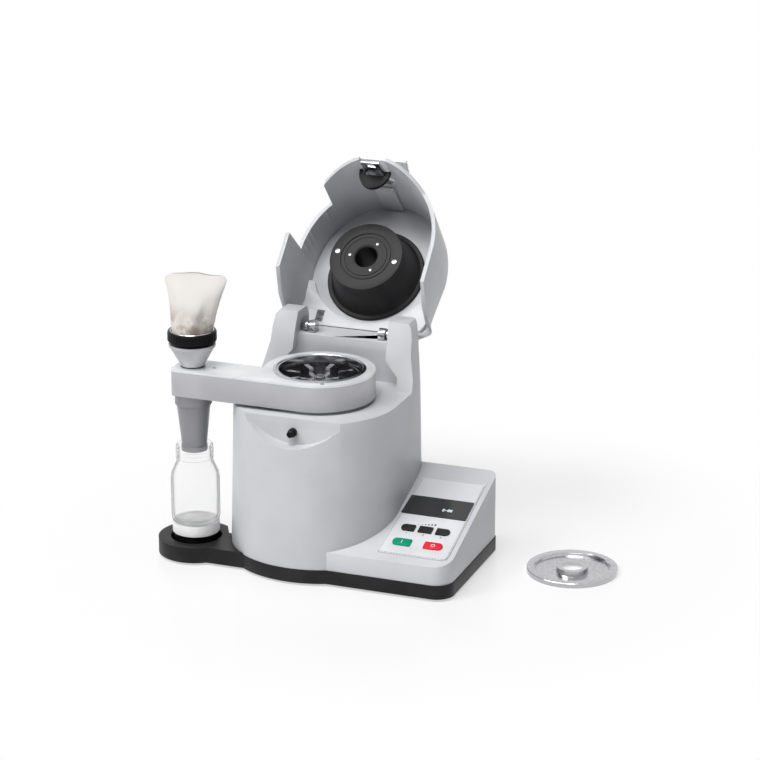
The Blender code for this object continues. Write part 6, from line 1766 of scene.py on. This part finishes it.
def make_jar():
    """Glass jar on its sprung rest."""
    inner = JAR_RADIUS - JAR_WALL
    neck_inner = JAR_NECK_RADIUS - JAR_NECK_WALL
    thread = JAR_RIM_RADIUS + CONE_RIB
    shoulder = JAR_TOP - JAR_SHOULDER_DROP
    body_top = JAR_TOP - JAR_BODY_DROP
    outside = [(JAR_RIM_RADIUS - shy, JAR_TOP - down) for shy, down in JAR_RIM]
    outside.append((JAR_NECK_RADIUS, JAR_TOP - JAR_NECK_DROP))
    for start, out, back, end in JAR_THREADS:
        outside += [(JAR_NECK_RADIUS, JAR_TOP - start), (thread, JAR_TOP - out)]
        outside += [(thread, JAR_TOP - back), (JAR_NECK_RADIUS, JAR_TOP - end)]
    outside.append((JAR_NECK_RADIUS + JAR_FLARE, shoulder))
    outside += [(JAR_RADIUS - shy, shoulder - down) for shy, down in JAR_SHOULDER]
    outside.append((JAR_RADIUS, body_top))
    outside += [(JAR_RADIUS - shy, JAR_LOW + up) for shy, up in JAR_HEEL]
    outside.append((0.0, JAR_LOW + JAR_HOLLOW))
    inside = [(0.0, JAR_LOW + JAR_FLOOR)]
    inside += [(inner - shy, JAR_LOW + up) for shy, up in JAR_BOWL]
    inside += [
        (inner, body_top),
        (JAR_RADIUS - 0.0035, shoulder - 0.0145),
        (neck_inner + 0.0035, shoulder - 0.0040),
        (neck_inner, shoulder + 0.0030),
        (neck_inner, JAR_TOP - JAR_LIP),
        (neck_inner + JAR_LIP, JAR_TOP),
    ]
    turned("sample_jar", inside + outside, "glass", CYCLONE, FINE)
    present("sample_jar", angle=50.0)
    seat = REST_TOP - GAP
    rest = [
        (0.0, REST_TOP - REST_DISH),
        (JAR_RADIUS - REST_FLAT, REST_TOP - REST_DISH),
        (JAR_RADIUS - REST_SLOPE, seat),
        (REST_RADIUS - REST_RIM, seat),
        (REST_RADIUS - REST_RIM * 0.3, REST_TOP - REST_RIM * 0.3),
        (REST_RADIUS, REST_TOP - REST_RIM),
        (REST_RADIUS, REST_SKIRT + REST_CHAMFER),
        (REST_RADIUS - REST_CHAMFER, REST_SKIRT),
        (REST_SLEEVE, REST_SKIRT),
        (REST_SLEEVE, REST_LOW),
        (REST_BORE, REST_LOW),
        (REST_BORE, REST_CEILING),
        (0.0, REST_CEILING),
    ]
    turned("jar_rest", rest, "white_plastic", CYCLONE, FINE)
    present("jar_rest")
    # Black sleeve over the rest's stem: painted shade in the gap under the white puck.
    sleeve = (REST_SLEEVE + SHADE_SLEEVE_PROUD, REST_SLEEVE - SHADE_SLEEVE_SUNK)
    hoop("rest_sleeve", *sleeve, REST_LOW, REST_SKIRT + SHADE_SLEEVE_SUNK, "gloss_black", CYCLONE)
    present("rest_sleeve", "jar_lift")


def make_hood():
    """Hood with its inner plate and its rib."""
    shoulder = LID_TOP - LID_SHOULDER
    rings = [
        lid_ring(LID_CEILING, LID_WALL),
        lid_ring(LID_RIM, LID_WALL, True),
        lid_ring(LID_RIM, 0.0, True),
        lid_ring(shoulder, 0.0),
    ]
    for k in range(1, SHOULDER_STEPS + 1):
        turn = QUARTER_TURN * k / SHOULDER_STEPS
        rings.append(lid_ring(shoulder + LID_SHOULDER * math.sin(turn), LID_SHOULDER * (1.0 - math.cos(turn))))
    shell = loft("lid_shell", rings, "paint")
    notch = block("lid_notch", -FAR, NOTCH_RIGHT, -FAR, NOTCH_BACK, REAR_HIGH, NOTCH_TOP)
    wide = around(LATCH_X, WINDOW_HALF_WIDTH)
    window = block("latch_window", *wide, SMILE_FRONT, RIB_REAR, WINDOW_LOW, WINDOW_HIGH)
    span = around(LATCH_X, LATCH_AXLE_HALF + GAP)
    axle_bore = rod_x("axle_bore", LATCH_AXLE_RADIUS + GAP, LATCH_AXLE_Y, LATCH_AXLE_Z, *span)
    feed = FEED_TUBE_RADIUS + GAP
    feed_hole = plug("feed_hole", feed, FAR, FAR * TWICE)
    corners = (GAP, GAP, DECK_CORNER, DECK_CORNER)
    plan = rounded(-DECK_HALF_WIDTH, DECK_HALF_WIDTH, DECK_FRONT, DECK_BACK, corners)
    rear_deck = slab("lid_rear_deck", plan, DECK_UNDER, LID_CEILING + PLATE_THICK * HALF, "paint")
    recess = plug("deck_recess", PLATE_RADIUS + GAP, FIN_TOP, LID_CEILING, (0.0, PLATE_Y), FINE)
    front, back = HINGE_ARM_FRONT - HINGE_SLOT_HALF, HINGE_ARM_REAR - LID_WALL + GAP
    cut(rear_deck, recess, *arm_slots("arm_slot_", front, back, FIN_TOP, LID_CEILING))
    cut(shell, rear_deck, kind="UNION")
    cut(shell, notch, window, axle_bore, feed_hole)
    present("lid_shell")
    under = LID_CEILING - GAP
    plate = hoop("lid_plate", PLATE_RADIUS, feed, under - PLATE_THICK, under, "paint", (0.0, PLATE_Y))
    cut(plate, plug("plate_tube", feed + LID_WALL, FAR, FAR * TWICE))
    present("lid_plate")
    block("latch_rib", *around(LATCH_X, RIB_HALF_WIDTH), RIB_FRONT, RIB_REAR, RIB_LOW, under, "paint")
    present("latch_rib")


def make_boss():
    """Black feed boss under the hood: flared neck, ringed face and its screws."""
    flange_top = LID_CEILING - GAP - PLATE_THICK - GAP
    flange_low = flange_top - BOSS_FLANGE_THICK
    slope = (BOSS_NECK_RADIUS - BOSS_FACE_RADIUS) / (flange_low - BOSS_FACE_Z)
    face = BOSS_FACE_Z
    boss = [
        (FEED_TUBE_RADIUS, FEED_TOP),
        (FEED_TUBE_RADIUS, flange_top),
        (BOSS_FLANGE_RADIUS, flange_top),
        (BOSS_FLANGE_RADIUS, flange_low + BOSS_GROOVE),
        (BOSS_FLANGE_RADIUS - BOSS_GROOVE, flange_low),
        (BOSS_NECK_RADIUS + 0.0010, flange_low),
    ]
    boss += [(BOSS_NECK_RADIUS - slope * drop - hollow, flange_low - drop) for drop, hollow in BOSS_NECK]
    boss += [(BOSS_FACE_RADIUS - shy, face + up) for shy, up in BOSS_RIM]
    boss += [(radius, face + up) for radius, up in BOSS_RINGS]
    boss += [(BOSS_BORE + out, face + up) for out, up in BOSS_MOUTH]
    boss.append((BOSS_BORE, FEED_TOP))
    turned("feed_boss", boss, "black_plastic", steps=FINE, ring=True)
    present("feed_boss", angle=28.0)
    down = Matrix.Rotation(math.pi, MATRIX_SIZE, "X")
    for k in range(SMALL_SCREWS):
        angle = math.pi + TWICE * math.pi * k / SMALL_SCREWS
        x, y = SMALL_SCREW_CIRCLE * math.cos(angle), SMALL_SCREW_CIRCLE * math.sin(angle)
        place = Matrix.Translation((x, y, face)) @ down
        screw("boss_small_screw_" + str(k + 1), place, SMALL_SCREW_RADIUS, SMALL_SCREW_PROUD, "lid")
    for side, sign in SIDES:
        place = Matrix.Translation((sign * LARGE_SCREW_X, sign * LARGE_SCREW_Y, face)) @ down
        screw("boss_large_screw_" + side, place, LARGE_SCREW_RADIUS, LARGE_SCREW_PROUD, "lid")


def make_latch():
    """Latch at the front of the hood: pocket plate, hook, axle and handle."""
    turns = [math.pi * k / POCKET_FACETS for k in range(POCKET_FACETS + 1)]
    deep = POCKET_RADIUS * POCKET_DEPTH
    plan = [(LATCH_X + POCKET_RADIUS * math.cos(a), POCKET_Y + deep * math.sin(a)) for a in turns]
    pocket = slab("latch_pocket", plan, POCKET_Z, POCKET_Z + POCKET_THICK, "gloss_black")
    wide = around(LATCH_X, HOOK_HALF_WIDTH + GAP * TWICE)
    low, high = POCKET_Z - POCKET_THICK, POCKET_Z + POCKET_THICK * TWICE
    cut(pocket, block("pocket_slot", *wide, -FAR, HOOK_TIP_Y + HOOK_THICK * TWICE, low, high))
    present("latch_pocket")
    axle = (LATCH_AXLE_Y, LATCH_AXLE_Z)
    plan = arc(*axle, HOOK_RING, 0.0, math.pi, ARC_FACETS)
    plan += [(HOOK_TIP_Y, HOOK_LOW), (HOOK_TIP_Y + HOOK_THICK, HOOK_LOW)]
    hook = prism_x("latch_hook", plan, *around(LATCH_X, HOOK_HALF_WIDTH), "milled_steel")
    eye = block("hook_eye", *around(LATCH_X, HOOK_EYE_HALF), -FAR, FAR, HOOK_EYE_LOW, HOOK_EYE_HIGH)
    cut(hook, eye, rod_x("hook_bore", LATCH_AXLE_RADIUS + GAP, *axle))
    present("latch_hook")
    span = around(LATCH_X, LATCH_AXLE_HALF)
    rod_x("latch_axle", LATCH_AXLE_RADIUS, *axle, *span, ROD_FACETS, "milled_steel")
    present("latch_axle")
    outer = HANDLE_Y - HANDLE_THICK
    middle = (HANDLE_LOW + HANDLE_HIGH) * HALF
    profile = [
        (HANDLE_Y - HANDLE_FLARE, HANDLE_LOW),
        (HANDLE_Y, middle),
        (HANDLE_Y, HANDLE_HIGH),
        (outer, HANDLE_HIGH),
        (outer, middle),
        (outer - HANDLE_FLARE, HANDLE_LOW),
    ]
    handle = prism_x("latch_handle", profile, *around(LATCH_X, HANDLE_HALF_WIDTH), "white_plastic")
    wide, tall = around(LATCH_X, HOOK_HALF_WIDTH * HALF), around(LATCH_AXLE_Z, HOOK_RING)
    front, back = HANDLE_Y - HANDLE_THICK * HALF, LATCH_AXLE_Y - HOOK_RING - GAP
    cut(handle, block("handle_link", *wide, front, back, *tall, "white_plastic"), kind="UNION")
    present("latch_handle")


def make_catch():
    """Pin on the front of the housing that the hook of the hood holds."""
    pin = [
        (0.0, PIN_REACH),
        (PIN_NECK_RADIUS - PIN_CHAMFER, PIN_REACH),
        (PIN_NECK_RADIUS, PIN_REACH - PIN_CHAMFER),
        (PIN_NECK_RADIUS, PIN_COLLAR + 0.0006),
        (PIN_RADIUS - PIN_CHAMFER, PIN_COLLAR),
        (PIN_RADIUS, PIN_COLLAR - PIN_CHAMFER),
        (PIN_RADIUS, 0.0),
        (0.0, 0.0),
    ]
    knob = turned("catch_pin", pin, "gloss_black", steps=COARSE)
    upright = Matrix.Rotation(QUARTER_TURN, MATRIX_SIZE, "X")
    knob.matrix_world = Matrix.Translation((LATCH_X, SMILE_REAR - GAP, PIN_Z)) @ upright
    present("catch_pin")


def make_back():
    """Rear cover with vents, mains inlet and switch."""
    back = HOUSING_BACK - HOUSING_FOOT_RADIUS + housing_radius(REAR_LOW) + GAP
    corners = (KEY_LIFT * 4.0,) * CORNERS
    outline = rounded(-REAR_HALF_WIDTH, REAR_HALF_WIDTH, REAR_LOW, REAR_HIGH, corners)
    panel = prism_y("rear_panel", outline, back, back + REAR_THICK, "paint")
    ends = (VENT_HALF_HEIGHT * VENT_ROUND,) * CORNERS
    for k in range(VENT_COUNT):
        tall = around(VENT_LOW + k * VENT_PITCH, VENT_HALF_HEIGHT)
        slot = rounded(-VENT_HALF_WIDTH, VENT_HALF_WIDTH, *tall, ends)
        cut(panel, prism_y("vent_" + str(k), slot, 0.0, FAR))
    present("rear_panel")
    outer = back + REAR_THICK + GAP
    within = outer + INLET_PROUD * HALF
    edge = INLET_PROUD
    wide, tall = around(INLET_X, INLET_HALF_WIDTH), around(SOCKET_Z, INLET_HALF_HEIGHT)
    inlet = block("mains_inlet", *wide, outer, outer + edge + edge, *tall, "black_plastic")
    wide, tall = around(INLET_X, INLET_HALF_WIDTH - edge), around(SOCKET_Z, INLET_HALF_HEIGHT - edge)
    cut(inlet, block("inlet_hollow", *wide, within, FAR, *tall))
    wide, tall = around(SWITCH_X, SWITCH_HALF_WIDTH + edge), around(SOCKET_Z, SWITCH_HALF_HEIGHT + edge)
    rim = block("switch_frame", *wide, outer, outer + SWITCH_DEPTH, *tall, "black_plastic")
    cut(inlet, rim, kind="UNION")
    wide, tall = around(SWITCH_X, SWITCH_HALF_WIDTH), around(SOCKET_Z, SWITCH_HALF_HEIGHT)
    cut(inlet, block("switch_opening", *wide, within, FAR, *tall))
    present("mains_inlet")
    for k, (x, z) in enumerate(INLET_BLADES):
        name = "inlet_blade_" + str(k + 1)
        wide = around(INLET_X + x, BLADE_HALF)
        low = SOCKET_Z + z
        block(name, *wide, outer + BLADE_FOOT, outer + BLADE_TIP, low, low + BLADE_TALL, "milled_steel")
        present(name, "mill")
    rearward = Matrix.Rotation(-QUARTER_TURN, MATRIX_SIZE, "X")
    for level, z in (("low", REAR_LOW + REAR_SCREW_INSET), ("high", REAR_HIGH - REAR_SCREW_INSET)):
        for side, sign in SIDES:
            x = sign * (REAR_HALF_WIDTH - REAR_SCREW_INSET)
            place = Matrix.Translation((x, back + REAR_THICK, z)) @ rearward
            screw("back_screw_" + level + "_" + side, place, REAR_SCREW_RADIUS, REAR_SCREW_PROUD, "mill")
    half = SWITCH_HALF_WIDTH - GAP * TWICE
    tall = SWITCH_HALF_HEIGHT - GAP * 4.0
    rise = SWITCH_DEPTH * HALF
    plan = [(-half, -rise), (half, -rise), (half, rise * HALF), (0.0, 0.0), (-half, rise * HALF)]
    rocker = slab("mains_switch", plan, -tall, tall, "gloss_black")
    tilt = Matrix.Rotation(SWITCH_TILT, MATRIX_SIZE, "Z")
    rocker.matrix_world = Matrix.Translation((SWITCH_X, outer + SWITCH_DEPTH, SOCKET_Z)) @ tilt
    present("mains_switch")


def make_disc():
    """Loose steel cover disc, dished in steps, lying on the table."""
    rim = DISC_RIM_HEIGHT
    step = rim - DISC_STEP_DROP
    boss = step + DISC_BOSS_RISE - DISC_WALL
    wall = DISC_WALL
    profile = [
        (DISC_RADIUS - wall, rim),
        (DISC_RADIUS - wall * 0.3, rim - wall * 0.15),
        (DISC_RADIUS, rim - wall * HALF),
        (DISC_RADIUS, 0.0),
        (DISC_RADIUS - wall, 0.0),
        (DISC_RADIUS - wall, rim - wall),
        (DISC_STEP_RADIUS, rim - wall),
        (DISC_STEP_RADIUS - wall, step - wall),
        (DISC_DISH_RADIUS, step - wall * TWICE),
        (DISC_BOSS_RADIUS + wall, step - wall * TWICE),
        (DISC_BOSS_RADIUS, boss - wall),
        (DISC_HOLE, boss - wall),
        (DISC_HOLE, boss),
        (DISC_BOSS_RADIUS + wall, boss),
        (DISC_BOSS_RADIUS + wall * TWICE, step - wall),
        (DISC_DISH_RADIUS, step - wall),
        (DISC_STEP_RADIUS - wall * HALF, step),
        (DISC_STEP_RADIUS + wall, rim),
    ]
    turned("cover_disc", profile, "steel", (DISC_X, DISC_Y), FINE, True)
    present("cover_disc", angle=20.0)


def dress_inside():
    """Materials of the pieces inside, which keep their shape from the model."""
    for node, look in INSIDE.items():
        obj = frame["nodes"][node]
        if not obj.material_slots:
            obj.data.materials.append(finish(look))
        for place in obj.material_slots:
            place.material = finish(look)


def make_floor():
    """White table that keeps its shadow and goes over into plain white around the mill."""
    tones = bpy.context.scene.mill_tones
    mesh = bpy.data.meshes.new("floor")
    outline = bar(-FLOOR_REACH, -FLOOR_REACH, FLOOR_REACH, FLOOR_REACH)
    mesh.from_pydata([(x, y, 0.0) for x, y in outline], [], [tuple(range(CORNERS))])
    floor = bpy.data.objects.new("floor", mesh)
    floor.location.z = -FLOOR_DROP
    bpy.context.scene.collection.objects.link(floor)
    skin = Skin("white_table")
    path = skin.tree.nodes.new("ShaderNodeLightPath")
    seen, glossy, through = [Wire(skin, path.outputs[ray]) for ray in SEEN_RAYS]
    cloud = skin.noise(scale=3.0, detail=2.0)
    x, y, _ = skin.axes()
    away = (x * x + y * y).sum("SQRT", x * x + y * y)
    near = away.span(GLOW_START, GLOW_END, tones.floor_glow, 1.0)
    pale = skin.mix(cloud, tone(246, 246, 247), tone(250, 250, 251))
    skin.coat(base_color=pale, roughness=cloud * 0.06 + 0.20)
    glow = skin.node("ShaderNodeEmission", None, {"Color": WHITE, "Strength": 1.0}, "Emission")
    plain = seen * near + glossy + through
    share = plain.sum("MINIMUM", plain, 1.0)
    body = Wire(skin, skin.shader.outputs[0])
    both = skin.node("ShaderNodeMixShader", None, {0: share, 1: body, 2: glow}, 0)
    skin.tree.links.new(both.socket, skin.tree.nodes["Material Output"].inputs["Surface"])
    mesh.materials.append(skin.material)


def make_room():
    """Even light from all round, and plain white where the camera, gloss and glass see past the table."""
    world = bpy.data.worlds.new("studio")
    bpy.context.scene.world = world
    world.use_nodes = True
    tree = world.node_tree
    light = tree.nodes["Background"]
    white = tree.nodes.new("ShaderNodeBackground")
    for sky, strength in ((light, bpy.context.scene.mill_tones.room_light), (white, 1.0)):
        sky.inputs["Color"].default_value = WHITE
        sky.inputs["Strength"].default_value = strength
    path = tree.nodes.new("ShaderNodeLightPath")
    share = path.outputs[SEEN_RAYS[0]]
    for ray in SEEN_RAYS[1:]:
        either = tree.nodes.new("ShaderNodeMath")
        either.operation = "MAXIMUM"
        tree.links.new(share, either.inputs[0])
        tree.links.new(path.outputs[ray], either.inputs[1])
        share = either.outputs[0]
    mixed = tree.nodes.new("ShaderNodeMixShader")
    for k, source in enumerate((share, light.outputs[0], white.outputs[0])):
        tree.links.new(source, mixed.inputs[k])
    tree.links.new(mixed.outputs[0], tree.nodes["World Output"].inputs["Surface"])


def make_stage():
    """White sweep with soft shadows, plain lamps and the camera."""
    make_floor()
    make_room()
    tones = bpy.context.scene.mill_tones
    scene = bpy.context.scene
    for name, across, up in LAMPS:
        lamp = bpy.data.lights.new(name, "SUN")
        lamp.angle = LAMP_SPREAD
        lamp.energy = getattr(tones, name)
        holder = bpy.data.objects.new(name, lamp)
        scene.collection.objects.link(holder)
        across, up = math.radians(across), math.radians(up)
        source = Vector((math.sin(across) * math.cos(up), -math.cos(across) * math.cos(up), math.sin(up)))
        holder.rotation_euler = source.to_track_quat("Z", "Y").to_euler()
    lens = bpy.data.cameras.new("camera")
    lens.sensor_width = FILM_WIDTH
    lens.lens = tones.focal_length
    lens.clip_start = CLIP_START
    lens.clip_end = CLIP_END
    camera = bpy.data.objects.new("camera", lens)
    scene.collection.objects.link(camera)
    across, down = VIEW_ACROSS, VIEW_DOWN
    ahead = Vector((-math.sin(across) * math.cos(down), math.cos(across) * math.cos(down), -math.sin(down)))
    camera.location = AXIS @ Vector(CAMERA_PLACE)
    camera.rotation_euler = ahead.to_track_quat("-Z", "Y").to_euler()
    scene.camera = camera
    scene.view_settings.view_transform = "Standard"


def shade_setting(name, words, *screen):
    """Setting of a colour, with its default from plain screen values."""
    return FloatVectorProperty(
        name=name, description=words, subtype="COLOR", default=tone(*screen)[:3], min=0.0, max=1.0
    )


class MillTones(bpy.types.PropertyGroup):
    """Colours and light of the mill."""

    paint: shade_setting("Paint", "Powder paint of the housing and the hood", 208, 209, 213)
    label: shade_setting("Label", "Foil on the console", 224, 225, 228)
    black: shade_setting("Black", "Moulded black pieces", 25, 24, 25)
    aluminium: shade_setting("Aluminium", "Blasted aluminium of the cassette", 192, 192, 196)
    steel: shade_setting("Steel", "Turned steel", 194, 194, 197)
    cloth: shade_setting("Cloth", "Cloth of the sock", 240, 236, 231)
    display_digits: StringProperty(name="Display", description="Plain digits in the window", default="0-00")
    floor_glow: FloatProperty(
        name="Floor glow",
        description="Share of plain white in the table as the camera sees it",
        subtype="FACTOR",
        default=0.55,
        min=0.0,
        max=1.0,
    )
    room_light: FloatProperty(
        name="Room light", description="Strength of the light from all round", default=0.05, min=0.0
    )
    front_light: FloatProperty(
        name="Front light", description="Strength of the high lamp in front", default=1.95, min=0.0
    )
    side_light: FloatProperty(
        name="Side light", description="Strength of the lamp at the front left", default=1.50, min=0.0
    )
    focal_length: FloatProperty(
        name="Lens",
        description="Focal length in millimetres",
        subtype="DISTANCE_CAMERA",
        default=128.4,
        min=1.0,
    )


class MILL_OT_stage(bpy.types.Operator):
    """Table, lamps and camera"""

    bl_idname = "mill.stage"
    bl_label = "Stage"

    def execute(self, context):
        make_stage()
        return {"FINISHED"}


class MILL_OT_housing(bpy.types.Operator):
    """Painted housing with its fins, bar and seat"""

    bl_idname = "mill.housing"
    bl_label = "Housing"

    def execute(self, context):
        make_housing()
        return {"FINISHED"}


class MILL_OT_base(bpy.types.Operator):
    """Black tray, jar arm and feet"""

    bl_idname = "mill.base"
    bl_label = "Base"

    def execute(self, context):
        make_base()
        return {"FINISHED"}


class MILL_OT_console(bpy.types.Operator):
    """Console with label, window, keys and plain legends"""

    bl_idname = "mill.console"
    bl_label = "Console"

    def execute(self, context):
        make_console()
        return {"FINISHED"}


class MILL_OT_back(bpy.types.Operator):
    """Rear cover with vents, inlet and switch"""

    bl_idname = "mill.back"
    bl_label = "Back"

    def execute(self, context):
        make_back()
        return {"FINISHED"}


class MILL_OT_hinge(bpy.types.Operator):
    """Hinge arms and lugs"""

    bl_idname = "mill.hinge"
    bl_label = "Hinge"

    def execute(self, context):
        make_hinge()
        return {"FINISHED"}


class MILL_OT_hood(bpy.types.Operator):
    """Hood with its inner plate and rib"""

    bl_idname = "mill.hood"
    bl_label = "Hood"

    def execute(self, context):
        make_hood()
        return {"FINISHED"}


class MILL_OT_boss(bpy.types.Operator):
    """Black feed boss with its screws"""

    bl_idname = "mill.boss"
    bl_label = "Feed boss"

    def execute(self, context):
        make_boss()
        return {"FINISHED"}


class MILL_OT_latch(bpy.types.Operator):
    """Latch of the hood and its pin"""

    bl_idname = "mill.latch"
    bl_label = "Latch"

    def execute(self, context):
        make_latch()
        make_catch()
        return {"FINISHED"}


class MILL_OT_chamber(bpy.types.Operator):
    """Rotor and milling cassette"""

    bl_idname = "mill.chamber"
    bl_label = "Chamber"

    def execute(self, context):
        make_rotor()
        make_cassette()
        return {"FINISHED"}


class MILL_OT_cyclone(bpy.types.Operator):
    """Cyclone, outlet funnel and clamp ring"""

    bl_idname = "mill.cyclone"
    bl_label = "Cyclone"

    def execute(self, context):
        make_cyclone()
        make_clamp()
        return {"FINISHED"}


class MILL_OT_sock(bpy.types.Operator):
    """Cloth filter sock"""

    bl_idname = "mill.sock"
    bl_label = "Filter sock"

    def execute(self, context):
        make_sock()
        return {"FINISHED"}


class MILL_OT_jar(bpy.types.Operator):
    """Glass jar and its rest"""

    bl_idname = "mill.jar"
    bl_label = "Sample jar"

    def execute(self, context):
        make_jar()
        return {"FINISHED"}


class MILL_OT_disc(bpy.types.Operator):
    """Loose cover disc"""

    bl_idname = "mill.disc"
    bl_label = "Cover disc"

    def execute(self, context):
        make_disc()
        return {"FINISHED"}


class MILL_OT_inside(bpy.types.Operator):
    """Materials of the motor, board and spring"""

    bl_idname = "mill.inside"
    bl_label = "Inside"

    def execute(self, context):
        dress_inside()
        return {"FINISHED"}


BUTTONS = (
    MILL_OT_stage,
    MILL_OT_housing,
    MILL_OT_base,
    MILL_OT_console,
    MILL_OT_back,
    MILL_OT_hinge,
    MILL_OT_hood,
    MILL_OT_boss,
    MILL_OT_latch,
    MILL_OT_chamber,
    MILL_OT_cyclone,
    MILL_OT_sock,
    MILL_OT_jar,
    MILL_OT_disc,
    MILL_OT_inside,
)


class MILL_PT_panel(bpy.types.Panel):
    """Pieces of the mill"""

    bl_idname = "MILL_PT_panel"
    bl_label = "Cyclone mill"
    bl_space_type = "VIEW_3D"
    bl_region_type = "UI"
    bl_category = "Mill"

    def draw(self, context):
        for button in BUTTONS:
            self.layout.operator(button.bl_idname)
        for key in MillTones.__annotations__:
            self.layout.prop(context.scene.mill_tones, key)


def register():
    """Register the classes and the settings."""
    for kind in (MillTones, *BUTTONS, MILL_PT_panel):
        bpy.utils.register_class(kind)
    bpy.types.Scene.mill_tones = bpy.props.PointerProperty(type=MillTones)


def unregister():
    """Take the settings and the classes away."""
    del bpy.types.Scene.mill_tones
    for kind in (MILL_PT_panel, *reversed(BUTTONS), MillTones):
        bpy.utils.unregister_class(kind)


def main():
    """Make the pieces in order."""
    register()
    for button in BUTTONS:
        group, name = button.bl_idname.split(".")
        getattr(getattr(bpy.ops, group), name)()


if __name__ == "__main__":
    main()
